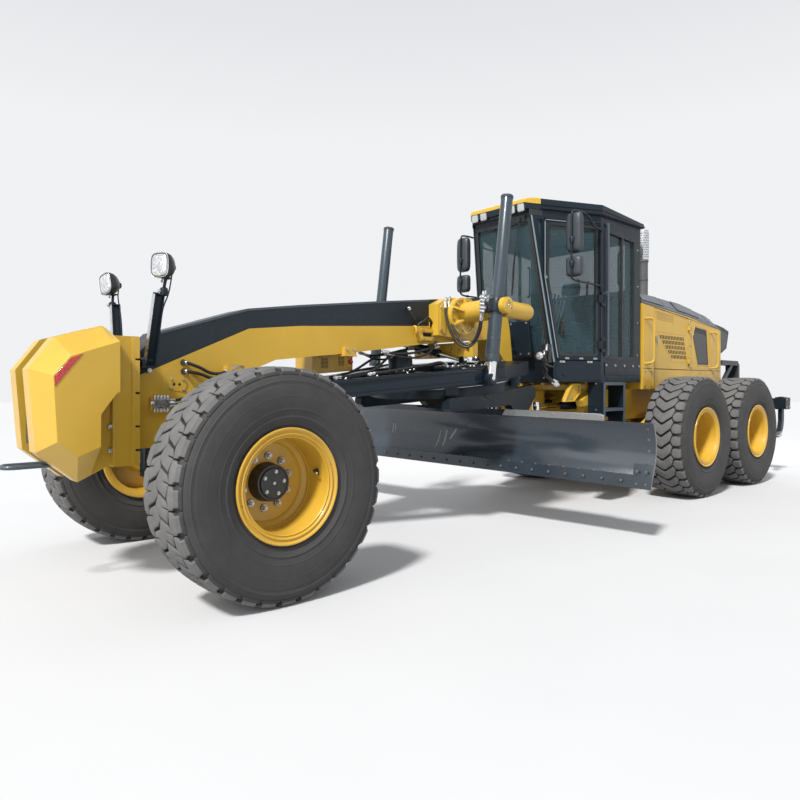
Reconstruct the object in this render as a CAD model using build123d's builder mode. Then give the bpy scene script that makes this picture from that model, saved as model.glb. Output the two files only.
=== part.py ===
from build123d import *
import math
import os

os.makedirs("parts", exist_ok=True)

# Motor grader, millimetres.  +Z up, the front axle end faces -Y, the machine's
# own left side is +X.  Lengths along the machine are stations: distance behind
# the front axle.  STA0 puts the origin under the middle of the machine.
STA0 = -4020.0

# ---------------------------------------------------------------- main sizes
TYRE_R = 745.0            # 20.5-25 tyre, free radius
TYRE_HALF_W = 262.0
RIM_SEAT_R = 317.5        # 25 inch bead seat
RIM_FLANGE_R = 365.0
RIM_HALF_W = 236.0
WHEEL_X = 1172.5          # half track, all axles
FRONT_STA, MID_STA, REAR_STA = 0.0, 5995.0, 7645.0

KINGPIN_X = 860.0
TIE_STA, TIE_Z = 250.0, 616.0

HINGE_STA = 4350.0        # articulation pin
HINGE_Z = 1150.0

BALL_STA, BALL_Z = 550.0, 1270.0       # drawbar ball
DRAW_TILT, DRAW_ROLL, BLADE_YAW = 6.0, 1.82, 5.8
CIRCLE_Y = 2200.0                       # circle centre, along the drawbar
RING_R, RING_BORE, RING_TOP, RING_H = 760.0, 640.0, -80.0, 100.0
BLADE_HALF_L = 2135.0

LIFT_X = 860.0
LIFT_TOP = (2790.0, 3190.0)             # (station, z)
LIFT_PIN = (2550.0, 1430.0)

DOOR_T = 50.0             # cab wall and door thickness
HOOD_X = 770.0


# ------------------------------------------------------------------- helpers
def v(p):
    """Point given as (x, station, z)."""
    return Vector(p[0], p[1] + STA0, p[2])


def side(outline, x0, x1, mode=Mode.ADD):
    """(station, z) outline carried across from x0 to x1."""
    with BuildSketch(Plane.YZ.offset(x0)) as sk:
        with BuildLine():
            Polyline(*[(s + STA0, z) for s, z in outline], close=True)
        make_face()
    extrude(sk.sketch, amount=x1 - x0, dir=(1, 0, 0), mode=mode)


def plan(outline, z0, z1, mode=Mode.ADD):
    """(x, station) outline carried up from z0 to z1."""
    with BuildSketch(Plane.XY.offset(z0)) as sk:
        with BuildLine():
            Polyline(*[(x, s + STA0) for x, s in outline], close=True)
        make_face()
    extrude(sk.sketch, amount=z1 - z0, dir=(0, 0, 1), mode=mode)


def cross(outline, s0, s1, mode=Mode.ADD):
    """(x, z) outline carried back from station s0 to s1."""
    with BuildSketch(Plane.XZ.offset(-(s0 + STA0))) as sk:
        with BuildLine():
            Polyline(*outline, close=True)
        make_face()
    extrude(sk.sketch, amount=s1 - s0, dir=(0, 1, 0), mode=mode)


def block(x0, x1, s0, s1, z0, z1, mode=Mode.ADD):
    plan([(x0, s0), (x1, s0), (x1, s1), (x0, s1)], z0, z1, mode)


def bar(p0, p1, r, mode=Mode.ADD):
    """Round bar between two (x, station, z) points."""
    a, b = v(p0), v(p1)
    with BuildSketch(Plane(origin=a, z_dir=b - a)) as sk:
        Circle(r)
    extrude(sk.sketch, amount=(b - a).length, dir=(b - a).normalized(), mode=mode)


def in_frame(frame, outline, u0, u1, mode=Mode.ADD):
    """Outline in a frame's (y, z), carried along its x from u0 to u1."""
    pl = Plane(
        origin=frame.from_local_coords(Vector(u0, 0, 0)),
        x_dir=frame.y_dir,
        z_dir=frame.x_dir,
    )
    with BuildSketch(pl) as sk:
        with BuildLine():
            Polyline(*outline, close=True)
        make_face()
    extrude(sk.sketch, amount=u1 - u0, dir=frame.x_dir, mode=mode)


def on_frame(frame, outline, h0, h1, mode=Mode.ADD):
    """Outline in a frame's (x, y), carried along its z from h0 to h1."""
    with BuildSketch(frame.offset(h0)) as sk:
        with BuildLine():
            Polyline(*outline, close=True)
        make_face()
    extrude(sk.sketch, amount=h1 - h0, dir=frame.z_dir, mode=mode)


def frame_bar(frame, p0, p1, r, mode=Mode.ADD):
    a = frame.from_local_coords(Vector(*p0))
    b = frame.from_local_coords(Vector(*p1))
    with BuildSketch(Plane(origin=a, z_dir=b - a)) as sk:
        Circle(r)
    extrude(sk.sketch, amount=(b - a).length, dir=(b - a).normalized(), mode=mode)


def tube_loop(points, r, bend, closed=False):
    """Bent round bar through (x, station, z) points."""
    with BuildLine() as path:
        FilletPolyline(*[v(p) for p in points], radius=bend, close=closed)
    with BuildSketch(Plane(origin=path.line @ 0, z_dir=path.line % 0)) as sk:
        Circle(r)
    sweep(sk.sketch, path=path.line)


def save(part, label):
    part.label = label
    export_step(part, f"parts/{label}.step")


# Frames of the drawbar, the circle and the blade.  The drawbar slopes up to
# the rear and leans a little, and the circle is turned on it.
t, r_, y_ = (math.radians(a) for a in (DRAW_TILT, DRAW_ROLL, BLADE_YAW))
dy = Vector(0, math.cos(t), math.sin(t))
dz0 = Vector(0, -math.sin(t), math.cos(t))
dx = Vector(1, 0, 0) * math.cos(r_) - dz0 * math.sin(r_)
dz = Vector(1, 0, 0) * math.sin(r_) + dz0 * math.cos(r_)
DRAW = Plane(origin=v((0, BALL_STA, BALL_Z)), x_dir=dx, z_dir=dz)
cx = dx * math.cos(y_) + dy * math.sin(y_)
CIRC = Plane(origin=DRAW.from_local_coords(Vector(0, CIRCLE_Y, 0)), x_dir=cx, z_dir=dz)
# Blade frame: x along the blade, z up, origin on the tip pivot.
bz = (Vector(0, 0, 1) - cx * cx.Z).normalized()
by = bz.cross(cx)
BLADE_LOW = v((-23, 2961, 516))                     # middle of the cutting edge
BLADE = Plane(origin=BLADE_LOW + by * 240 + bz * 150, x_dir=cx, z_dir=bz)

# ------------------------------------------------------------ wheels (6 off)
# name, side (+1 left), station
WHEELS = [
    ("front_left", 1, FRONT_STA),
    ("front_right", -1, FRONT_STA),
    ("middle_left", 1, MID_STA),
    ("middle_right", -1, MID_STA),
    ("rear_left", 1, REAR_STA),
    ("rear_right", -1, REAR_STA),
]
for name, s, sta in WHEELS:
    hub = Plane(origin=v((s * WHEEL_X, sta, TYRE_R)), x_dir=(s, 0, 0), z_dir=(0, -s, 0))
    spin = Axis(hub.origin, (1, 0, 0))
    with BuildPart() as tyre:
        with BuildSketch(hub):
            with BuildLine():
                Line((-212, RIM_SEAT_R), (212, RIM_SEAT_R))
                Line((212, RIM_SEAT_R), (212, 368))
                ThreePointArc((212, 368), (TYRE_HALF_W, 545), (238, 688))
                Line((238, 688), (212, 735))
                ThreePointArc((212, 735), (0, TYRE_R), (-212, 735))
                Line((-212, 735), (-238, 688))
                ThreePointArc((-238, 688), (-TYRE_HALF_W, 545), (-212, 368))
                Line((-212, 368), (-212, RIM_SEAT_R))
            make_face()
        revolve(axis=spin)
    save(tyre.part, f"tyre_{name}")
    with BuildPart() as rim:
        with BuildSketch(hub):
            # barrel with its two flanges, then the dished disc and the hub
            with BuildLine():
                Polyline(
                    (-RIM_HALF_W, RIM_FLANGE_R), (-212, RIM_FLANGE_R),
                    (-212, RIM_SEAT_R), (212, RIM_SEAT_R),
                    (212, RIM_FLANGE_R), (RIM_HALF_W, RIM_FLANGE_R),
                    (RIM_HALF_W, 338), (222, 300), (120, 292), (-40, 292),
                    (-60, 160), (-60, 110), (15, 95), (15, 0), (-46, 0),
                    (-46, 56), (-150, 56), (-150, 120), (-95, 150),
                    (-75, 292), (-222, 300), (-RIM_HALF_W, 338), close=True,
                )
            make_face()
        revolve(axis=spin)
    save(rim.part, f"rim_{name}")

# ------------------------------------------------------- front axle, steering
with BuildPart() as front_axle:
    side([(-95, 690), (95, 690), (95, 850), (-95, 850)], -700, 700)
    bar((0, -240, 800), (0, 260, 800), 120)
    block(-200, 200, -90, 90, 850, 920)
    for s in (1, -1):
        for z0, z1 in ((855, 905), (585, 635)):
            block(min(s * 690, s * 860), max(s * 690, s * 860), -75, 75, z0, z1)
            bar((s * 860, 0, z0), (s * 860, 0, z1), 75)
            bar((s * 860, 0, z0 - 5), (s * 860, 0, z1 + 5), 39, Mode.SUBTRACT)
        plan([(s * 690, -95), (s * 765, -38), (s * 765, 38), (s * 690, 95)], 585, 905)
save(front_axle.part, "front_axle")

for name, s in (("left", 1), ("right", -1)):
    k = s * KINGPIN_X
    with BuildPart() as knuckle:
        bar((k, 0, 640), (k, 0, 850), 75)
        bar((k, 0, 588), (k, 0, 902), 38)
        bar((k, 0, TYRE_R), (s * 1124, 0, TYRE_R), 55)
        block(k - 32, k + 32, 40, TIE_STA + 36, 642, 672)
        bar((k, TIE_STA, 594), (k, TIE_STA, 650), 18)
    save(knuckle.part, f"knuckle_{name}")

with BuildPart() as tie_rod:
    bar((-KINGPIN_X, TIE_STA, TIE_Z), (KINGPIN_X, TIE_STA, TIE_Z), 22)
    for s in (1, -1):
        bar((s * KINGPIN_X, TIE_STA, 600), (s * KINGPIN_X, TIE_STA, 634), 38)
        bar((s * KINGPIN_X, TIE_STA, 590), (s * KINGPIN_X, TIE_STA, 640), 18.6, Mode.SUBTRACT)
save(tie_rod.part, "tie_rod")

# ----------------------------------------------------------------- gooseneck
NECK = 170.0
with BuildPart() as gooseneck:
    side(
        [(-510, 920), (-510, 1560), (-308, 1761), (397, 1982), (889, 2052),
         (1772, 2161), (3178, 2319), (3480, 2340), (3640, 2250), (3705, 2000),
         (3775, 1480), (3960, 1370), (4120, 1350), (4170, 1310), (4170, 985), (4000, 960),
         (3950, 1240), (3500, 1770), (3400, 1885), (2329, 1781), (1319, 1651),
         (969, 1616), (650, 1580), (400, 1480), (400, 1000), (300, 920)],
        -NECK, NECK)
    # bolted flange box at the nose
    block(-300, 300, -690, -510, 820, 1705)
    # core between the two nose weights, and the tow ring under it
    side([(-1120, 1450), (-985, 1630), (-700, 1715), (-690, 1715), (-690, 880),
          (-890, 800), (-1090, 970)], -98, 98)
    tube_loop([(-76, -850, 838), (-76, -1290, 838), (76, -1290, 838),
               (76, -850, 838)], 15, 70)
    block(-94, 94, -900, -800, 815, 900)
    # drawbar ball socket
    block(-100, 100, 400, 556, 1180, 1360)
    with Locations(v((0, BALL_STA, BALL_Z))):
        Sphere(68, mode=Mode.SUBTRACT)
    bar((0, 540, BALL_Z), (0, 640, BALL_Z), 60, Mode.SUBTRACT)
    # articulation tongue and its boss
    block(-150, 150, 4170, HINGE_STA, 985, 1315)
    bar((0, HINGE_STA, 985), (0, HINGE_STA, 1315), 150)
    bar((0, HINGE_STA, 900), (0, HINGE_STA, 1400), 52, Mode.SUBTRACT)
    # lugs for the articulation cylinder rods
    for s in (1, -1):
        block(min(s * 160, s * 345), max(s * 160, s * 345), 3975, 4075, 1030, 1072)
save(gooseneck.part, "gooseneck")

# Nose weights: inner outline (half way in), outer outline, both (station, z).
W_IN = [(-1185, 1472), (-1035, 1680), (-740, 1771), (-690, 1735), (-690, 830), (-899, 732), (-1146, 942)]
W_OUT = [(-1090, 1430), (-992, 1551), (-735, 1641), (-690, 1656), (-690, 1025), (-952, 917), (-1068, 1017)]
with BuildPart() as front_weight:
    for s in (1, -1):
        side(W_IN, s * 100, s * 250) if s > 0 else side(W_IN, -250, -100)
        with BuildSketch(Plane.YZ.offset(s * 250)) as a:
            with BuildLine():
                Polyline(*[(p + STA0, z) for p, z in W_IN], close=True)
            make_face()
        with BuildSketch(Plane.YZ.offset(s * 450)) as b:
            with BuildLine():
                Polyline(*[(p + STA0, z) for p, z in W_OUT], close=True)
            make_face()
        loft([a.sketch, b.sketch], ruled=True)
        x0, x1 = sorted((s * 255, s * 460))
        side([(-680, 1325), (-710, 1319), (-810, 1182), (-815, 700), (-680, 700)], x0, x1, Mode.SUBTRACT)
save(front_weight.part, "front_weight")

# Saddle over the gooseneck with its two side arms and cylinder yokes.
def lift_axis(z):
    f = (z - LIFT_PIN[1]) / (LIFT_TOP[1] - LIFT_PIN[1])
    return LIFT_PIN[0] + f * (LIFT_TOP[0] - LIFT_PIN[0])


YOKE_Z = 2120.0
with BuildPart() as lift_saddle:
    for s in (1, -1):
        x0, x1 = sorted((s * NECK, s * 300))
        side([(2420, 1870), (2420, 2180), (2560, 2250), (2900, 2270), (3000, 2200),
              (3000, 1900), (2900, 1840)], x0, x1)
        bar((s * 290, 2720, 2070), (s * 360, 2720, 2070), 190)
        bar((s * 300, 2760, 2105), (s * 760, 2760, 2120), 105)
        # yoke around the lift cylinder
        yo = lift_axis(YOKE_Z)
        bar((s * LIFT_X, lift_axis(2060), 2060), (s * LIFT_X, lift_axis(2180), 2180), 86)
        bar((s * LIFT_X, lift_axis(2040), 2040), (s * LIFT_X, lift_axis(2200), 2200), 58, Mode.SUBTRACT)
        bar((s * 935, yo, YOKE_Z), (s * 990, yo, YOKE_Z), 78)
        bar((s * 925, yo, YOKE_Z), (s * 945, yo, YOKE_Z), 48)
        # round ended lock barrel behind the yoke
        bar((s * LIFT_X, 2735, 2110), (s * LIFT_X, 3095, 2095), 82)
        bar((s * LIFT_X, 3095, 2095), (s * LIFT_X, 3120, 2094), 70)
        bar((s * LIFT_X, lift_axis(1990), 1990), (s * LIFT_X, lift_axis(2240), 2240), 58, Mode.SUBTRACT)
        # hanger of the holed link bar under the neck
        side([(2780, 1665), (2780, 1900), (2870, 1900), (2870, 1665)], *sorted((s * 172, s * 215)))
    block(-430, 430, 2790, 2860, 1665, 1815)
    for k in range(-3, 4):
        bar((k * 118, 2780, 1735), (k * 118, 2870, 1735), 26, Mode.SUBTRACT)
    # bracket of the centre shift cylinder, right side
    block(-640, -280, 2600, 2700, 1925, 2030)
    for s0, s1 in ((2580, 2600), (2700, 2720)):
        block(-600, -500, s0, s1, 1815, 2000)
    bar((-550, 2590, 1860), (-550, 2710, 1860), 20)
save(lift_saddle.part, "lift_saddle")

# Vented box hung on the right side of the neck.
with BuildPart() as side_box:
    side([(1250, 1475), (1250, 1680), (1720, 1745), (1720, 1515)], -460, -NECK)
save(side_box.part, "side_box")

with BuildPart() as headlights:
    for s in (1, -1):
        block(min(s * 170, s * 330), max(s * 170, s * 330), -490, -400, 1490, 1550)
        bar((s * 310, -445, 1500), (s * 430, -425, 1990), 24)
        bar((s * 425, -425, 1975), (s * 500, -415, 2085), 20)
        block(min(s * 470, s * 586), max(s * 470, s * 586), -440, -390, 2060, 2100)
        bar((s * 528, -470, 2168), (s * 528, -350, 2168), 80)
save(headlights.part, "headlights")

# -------------------------------------------------- lift cylinders, both sides
T_ROD = 44.0
with BuildPart() as lift_barrels:
    for s in (1, -1):
        low = (s * LIFT_X, lift_axis(1600), 1600)
        bar(low, (s * LIFT_X, *LIFT_TOP), 58)
        bar((s * LIFT_X, lift_axis(1590), 1590), (s * LIFT_X, lift_axis(3140), 3140), T_ROD + 1, Mode.SUBTRACT)
save(lift_barrels.part, "lift_barrels")

with BuildPart() as lift_rods:
    for s in (1, -1):
        bar((s * LIFT_X, *LIFT_PIN), (s * LIFT_X, lift_axis(2680), 2680), T_ROD)
        bar((s * LIFT_X - 30, *LIFT_PIN), (s * LIFT_X + 30, *LIFT_PIN), 62)
save(lift_rods.part, "lift_rods")

# ------------------------------------------------------------------- drawbar
with BuildPart() as drawbar:
    # A frame: outer outline less the middle, in drawbar x and y
    A_OUT = [(95, 120), (800, 1850), (800, 2300), (560, 3000)]
    A_IN = [(40, 560), (610, 1950), (610, 2250), (430, 2800)]
    on_frame(DRAW, A_OUT + [(-x, y) for x, y in reversed(A_OUT)], -70, 70)
    on_frame(DRAW, A_IN + [(-x, y) for x, y in reversed(A_IN)], -80, 80, Mode.SUBTRACT)
    # cross member over the circle, carrying the turn gear box
    on_frame(DRAW, [(-560, 1560), (560, 1560), (640, 1760), (-640, 1760)], -70, 60)
    frame_bar(DRAW, (0, 1660, 0), (0, 1660, 205), 120)
    frame_bar(DRAW, (0, 1660, 205), (0, 1660, 265), 80)
    # ball and neck
    frame_bar(DRAW, (0, 10, 0), (0, 140, 0), 38)
    with Locations(v((0, BALL_STA, BALL_Z))):
        Sphere(65)
    # circle guides
    for a in (25, 155, 218, 322):
        c, s_ = math.cos(math.radians(a)), math.sin(math.radians(a))
        g = Plane(origin=DRAW.from_local_coords(Vector(0, CIRCLE_Y, 0)),
                  x_dir=DRAW.x_dir * c + DRAW.y_dir * s_, z_dir=DRAW.z_dir)
        on_frame(g, [(700, -60), (840, -60), (840, 60), (700, 60)], -72, -60)
        on_frame(g, [(775, -60), (840, -60), (840, 60), (775, 60)], -145, -60)
    # lift cylinder lugs beside the rod eyes
    for s in (1, -1):
        x0, x1 = sorted((s * 774, s * (LIFT_X - 52)))
        side([(2470, 1375), (2470, 1460), (2520, 1480), (2580, 1480), (2640, 1460), (2640, 1375)], x0, x1)
        bar((s * 795, *LIFT_PIN), (s * 811, *LIFT_PIN), 34)
    # pad under the centre shift rod eye
    on_frame(DRAW, [(370, 2040), (470, 2040), (640, 2260), (430, 2260)], -70, 70)
    on_frame(DRAW, [(350, 2020), (640, 2020), (640, 2160), (350, 2160)], -70, 60)
save(drawbar.part, "drawbar")

# -------------------------------------------------------------------- circle
ARM = [  # blade frame (y, z): longitudinal arm, then the drop leg to the pivot
    (-1110, 560), (-1080, 600), (-500, 645), (330, 720), (420, 690), (420, 600), (300, 480),
    (215, 330), (95, 0), (70, -60), (0, -90), (-40, -40), (-45, 60), (20, 330), (20, 440),
    (-80, 520), (-300, 505), (-1060, 470), (-1110, 500)]
with BuildPart() as circle:
    with BuildSketch(CIRC.offset(RING_TOP - RING_H)):
        Circle(RING_R)
        Circle(RING_BORE, mode=Mode.SUBTRACT)
    extrude(amount=RING_H)
    for s in (1, -1):
        u0, u1 = sorted((s * 530, s * 620))
        in_frame(BLADE, ARM, u0, u1)
    in_frame(BLADE, [(240, 590), (240, 690), (340, 705), (340, 605)], -540, 540)
    for s in (1, -1):
        u0, u1 = sorted((s * 60, s * 82))
        in_frame(BLADE, [(330, 600), (330, 690), (500, 650), (555, 600), (500, 545), (420, 540)], u0, u1)
    frame_bar(BLADE, (-540, 0, 0), (-400, 0, 0), 28)
    frame_bar(BLADE, (400, 0, 0), (540, 0, 0), 28)
    frame_bar(BLADE, (-70, 500, 600), (70, 500, 600), 22)
save(circle.part, "circle")

# ------------------------------------------------ blade carrier and tip cylinder
HUB = [(70 * math.cos(a), 70 * math.sin(a)) for a in [math.radians(d) for d in range(-70, 71, 20)]]
with BuildPart() as blade_carrier:
    for s in (1, -1):
        u0, u1 = sorted((s * 400, s * 512))
        in_frame(BLADE, [(-112, -62), (10, -72), (70, -20), (70, 40), (30, 120), (30, 370),
                         (-20, 400), (-104, 352), (-104, 317), (-58, 317), (-58, -27), (-112, -27)], u0, u1)
    frame_bar(BLADE, (-520, 0, 0), (520, 0, 0), 29, Mode.SUBTRACT)
    frame_bar(BLADE, (-405, 0, 250), (405, 0, 250), 38)
    # lugs for the tip cylinder rod
    for s in (1, -1):
        u0, u1 = sorted((s * 40, s * 60))
        in_frame(BLADE, [(-40, 230), (40, 230), (40, 440), (0, 465), (-40, 440)], u0, u1)
save(blade_carrier.part, "blade_carrier")

TIP_D, TIP_E = (0, 500, 600), (0, 0, 420)      # barrel eye, rod eye (blade frame)
tl = math.hypot(TIP_D[1] - TIP_E[1], TIP_D[2] - TIP_E[2])


def tip_at(d):
    f = d / tl
    return (0, TIP_D[1] + f * (TIP_E[1] - TIP_D[1]), TIP_D[2] + f * (TIP_E[2] - TIP_D[2]))


with BuildPart() as tip_barrel:
    frame_bar(BLADE, tip_at(30), tip_at(440), 48)
    frame_bar(BLADE, (-50, 500, 600), (50, 500, 600), 45)
    frame_bar(BLADE, tip_at(60), tip_at(460), 26, Mode.SUBTRACT)
    frame_bar(BLADE, (-70, 500, 600), (70, 500, 600), 22.5, Mode.SUBTRACT)
save(tip_barrel.part, "tip_barrel")

with BuildPart() as tip_rod:
    frame_bar(BLADE, tip_at(110), tip_at(tl), 25)
    frame_bar(BLADE, (-32, *TIP_E[1:]), (32, *TIP_E[1:]), 38)
save(tip_rod.part, "tip_rod")

# ----------------------------------------------------------------- moldboard
# Blade frame (y, z): bottom of the face, belly, top; then the back skin.
F_LOW, F_MID, F_TOP, SKIN = (-232, -96), (-130, 134), (-200, 420), 26.0
with BuildPart() as moldboard:
    skin_pl = Plane(origin=BLADE.from_local_coords(Vector(-BLADE_HALF_L, 0, 0)),
                    x_dir=BLADE.y_dir, z_dir=BLADE.x_dir)
    with BuildSketch(skin_pl) as sk:
        with BuildLine():
            ThreePointArc(F_LOW, F_MID, F_TOP)
            Line(F_TOP, (F_TOP[0] + SKIN, F_TOP[1]))
            ThreePointArc((F_TOP[0] + SKIN, F_TOP[1]), (F_MID[0] + SKIN, F_MID[1]), (F_LOW[0] + SKIN + 4, F_LOW[1]))
            Line((F_LOW[0] + SKIN + 4, F_LOW[1]), F_LOW)
        make_face()
    extrude(sk.sketch, amount=2 * BLADE_HALF_L, dir=BLADE.x_dir)
    # raised middle of the top edge
    in_frame(BLADE, [(-200, 415), (-174, 415), (-166, 478), (-192, 478)], -1900, 1450)
    # cutting edge, end bits
    in_frame(BLADE, [(-250, -150), (-228, -150), (-196, -40), (-216, -40)], -BLADE_HALF_L, BLADE_HALF_L)
    for s in (1, -1):
        u0, u1 = sorted((s * (BLADE_HALF_L - 160), s * (BLADE_HALF_L + 12)))
        in_frame(BLADE, [(-258, -150), (-232, -150), (-206, -50), (-180, 60), (-200, 60), (-226, -50)], u0, u1)
    # slide rails on the back
    in_frame(BLADE, [(-150, -21), (-65, -21), (-65, 29), (-150, 29)], -1500, 1500)
    in_frame(BLADE, [(-128, 261), (-65, 261), (-65, 311), (-128, 311)], -1500, 1500)
save(moldboard.part, "moldboard")

# ------------------------------------------------------ centre shift cylinder
SHIFT_A, SHIFT_B = (-550, 2650, 1860), (420, 2650, 1625)
sl = math.dist(SHIFT_A, SHIFT_B)


def shift_at(d):
    return tuple(a + (b - a) * d / sl for a, b in zip(SHIFT_A, SHIFT_B))


with BuildPart() as shift_barrel:
    bar(shift_at(40), shift_at(660), 42)
    bar((-550, 2608, 1860), (-550, 2692, 1860), 44)
    bar(shift_at(60), shift_at(680), 26, Mode.SUBTRACT)
    bar((-550, 2590, 1860), (-550, 2710, 1860), 20.6, Mode.SUBTRACT)
save(shift_barrel.part, "shift_barrel")

with BuildPart() as shift_rod:
    bar(shift_at(85), SHIFT_B, 25)
    bar((SHIFT_B[0], 2625, SHIFT_B[2]), (SHIFT_B[0], 2675, SHIFT_B[2]), 38)
save(shift_rod.part, "shift_rod")

# ---------------------------------------------------------------- rear frame
RAIL = (470.0, 560.0)
with BuildPart() as rear_frame:
    for s in (1, -1):
        x0, x1 = sorted((s * RAIL[0], s * RAIL[1]))
        block(x0, x1, 4600, 8180, 950, 1330)
        # cab posts and the slanted beams below the cab front
        for s0 in (4640, 5380):
            block(x0, x1, s0, s0 + 120, 1325, 1415)
        a, b = sorted((s * 545, s * 640))
        side([(4480, 1130), (4440, 1200), (4860, 1415), (5060, 1415), (4700, 1180)], a, b)
        # walls down to the axle
        side([(5250, 960), (5250, 1330), (5640, 1330), (5640, 960)], *sorted((s * 555, s * 600)))
    # fork of the articulation joint: two plates round the tongue, and the pin
    FORK = [(113, 4237), (160, 4350), (560, 4640), (560, 4760), (-560, 4760), (-560, 4640),
            (-160, 4350), (-113, 4237), (0, 4190)]
    for z0, z1 in ((1325, 1385), (915, 975)):
        plan(FORK, z0, z1)
    bar((0, HINGE_STA, 900), (0, HINGE_STA, 1400), 50)
    # cross members
    block(-480, 480, 5330, 5400, 1010, 1270)
    block(-480, 480, 8090, 8180, 950, 1330)
    block(-560, 560, 6700, 6940, 930, 955)
    # lugs for the articulation cylinders
    for s in (1, -1):
        a, b = sorted((s * 330, s * 430))
        for z0, z1 in ((1195, 1220), (1060, 1085)):
            block(a, b, 5200, 5340, z0, z1)
        bar((s * 380, 5250, 1070), (s * 380, 5250, 1210), 18)
    # rear plate that carries the ripper
    block(-460, 460, 8180, 8215, 690, 1480)
    for s in (1, -1):
        for x0 in (355, 430):
            a, b = sorted((s * x0, s * (x0 + 18)))
            block(a, b, 8215, 8345, 740, 860)
        bar((s * 358, 8300, 800), (s * 446, 8300, 800), 20)
    for x0 in (-70, 52):
        block(x0, x0 + 18, 8215, 8350, 1335, 1465)
    bar((-60, 8300, 1400), (60, 8300, 1400), 18)
    # tow clevis under the ripper cylinder, and two tie-down eyes
    for z0, z1 in ((700, 727), (788, 815)):
        block(-60, 60, 8215, 8335, z0, z1)
    bar((0, 8285, 690), (0, 8285, 825), 20, Mode.SUBTRACT)
    for s in (1, -1):
        a, b = sorted((s * RAIL[1], s * 585))
        block(a, b, 8010, 8130, 850, 1000)
        bar((a, 8070, 900), (b, 8070, 900), 25, Mode.SUBTRACT)
save(rear_frame.part, "rear_frame")

with BuildPart() as tandem_axle:
    CASE = [(5740, 745), (5800, 900), (5995, 990), (6400, 1030), (6820, 1060), (7240, 1030),
            (7645, 990), (7840, 900), (7900, 745), (7840, 590), (7645, 500), (6820, 470),
            (5995, 500), (5800, 590)]
    side(CASE, 640, 850)
    side(CASE, -850, -640)
    bar((-645, 6820, 760), (645, 6820, 760), 170)
    bar((0, 6520, 760), (0, 7080, 760), 168)
    for s in (1, -1):
        for sta in (MID_STA, REAR_STA):
            bar((s * 845, sta, TYRE_R), (s * 1124, sta, TYRE_R), 55)
        x0, x1 = sorted((s * RAIL[0], s * RAIL[1]))
        block(x0, x1, 6700, 6940, 860, 930)
save(tandem_axle.part, "tandem_axle")

# ----------------------------------------------------------------------- cab
# Plan of half the cab, (x, station): front corner, widest point, rear corner.
CAB = [(420, 3750), (770, 4620), (770, 5525)]
CAB_IN = [(373.6, 3768.7), (720, 4629.8), (720, 5475)]
CAB_Z0, FLOOR_Z, CEIL_Z = 1415.0, 1500.0, 3330.0


def full(half):
    return half + [(-x, s) for x, s in reversed(half)]


def front_line(off, z0, z1):
    """Side profile behind the sloping front screen, off mm inside it."""
    return [(3755 + off, z1), (3765 + off, 3270), (4030 + off, 1645), (4030 + off, z0)]


# Door plane: x along the wall from the front corner, y up, z outward.
def door_plane(s):
    return Plane(origin=v((s * 420, 3750, 0)), x_dir=(s * 0.37323, 0.92774, 0), z_dir=(s * 0.92774, -s * 0.37323, 0)) \
        if s > 0 else Plane(origin=v((-420, 3750, 0)), x_dir=(0.37323, -0.92774, 0), z_dir=(-0.92774, -0.37323, 0))


def on_door(s, outline, d0, d1, mode=Mode.ADD):
    """Outline (distance back from the front corner, z) carried inward d0..d1."""
    pl = door_plane(s)
    with BuildSketch(pl.offset(-d1)) as sk:
        with BuildLine():
            Polyline(*[(s * a, z) for a, z in outline], close=True)
        make_face()
    extrude(sk.sketch, amount=d1 - d0, dir=pl.z_dir, mode=mode)


DOOR_PIN, HINGES = (785, 4617), (1800, 2330)
DOOR = [(178, 3235), (925, 3235), (925, 1665), (350, 1665), (178, 2577)]
DOOR_HOLE = [(169, 3244), (933, 3244), (933, 1656), (343, 1656), (169, 2579)]
DOOR_PANE = [(222, 3190), (880, 3190), (880, 1725), (383, 1725), (222, 2583)]
QUARTER = [(86, 3225), (152, 3225), (152, 2800)]
SIDE_WIN = [(4785, 3185), (5385, 3150), (5385, 1700), (4750, 1700), (4750, 1800)]
SCREEN = [(-385, 3225), (385, 3225), (478, 1720), (-478, 1720)]
REAR_WIN = [(-600, 3180), (600, 3180), (600, 2560), (-600, 2560)]

with BuildPart() as cab_shell:
    plan(full([(390, 3675.4)] + CAB[1:]), CAB_Z0, CEIL_Z)
    side(front_line(0, CAB_Z0, CEIL_Z) + [(5525, CAB_Z0), (5525, CEIL_Z)], -800, 800, Mode.INTERSECT)
    with BuildPart(mode=Mode.PRIVATE) as room:
        plan(full([(343.6, 3694.1)] + CAB_IN[1:]), FLOOR_Z, CEIL_Z + 1)
        side(front_line(50, FLOOR_Z, CEIL_Z + 1) + [(5475, FLOOR_Z), (5475, CEIL_Z + 1)], -800, 800, Mode.INTERSECT)
    add(room.part, mode=Mode.SUBTRACT)
    cross(SCREEN, 3650, 4140, Mode.SUBTRACT)
    cross(REAR_WIN, 5460, 5540, Mode.SUBTRACT)
    side(SIDE_WIN, 700, 800, Mode.SUBTRACT)
    side(SIDE_WIN, -800, -700, Mode.SUBTRACT)
    for s in (1, -1):
        on_door(s, DOOR_HOLE, -20, 70, Mode.SUBTRACT)
        on_door(s, QUARTER, -20, 70, Mode.SUBTRACT)
        for z in HINGES:
            for z0 in (z - 36, z + 96):
                block(*sorted((s * 768, s * 792)), 4640, 4690, z0, z0 + 30)
                block(*sorted((s * 776, s * 792)), 4617, 4650, z0, z0 + 30)
                bar((s * DOOR_PIN[0], DOOR_PIN[1], z0), (s * DOOR_PIN[0], DOOR_PIN[1], z0 + 30), 10)
save(cab_shell.part, "cab_shell")

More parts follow.
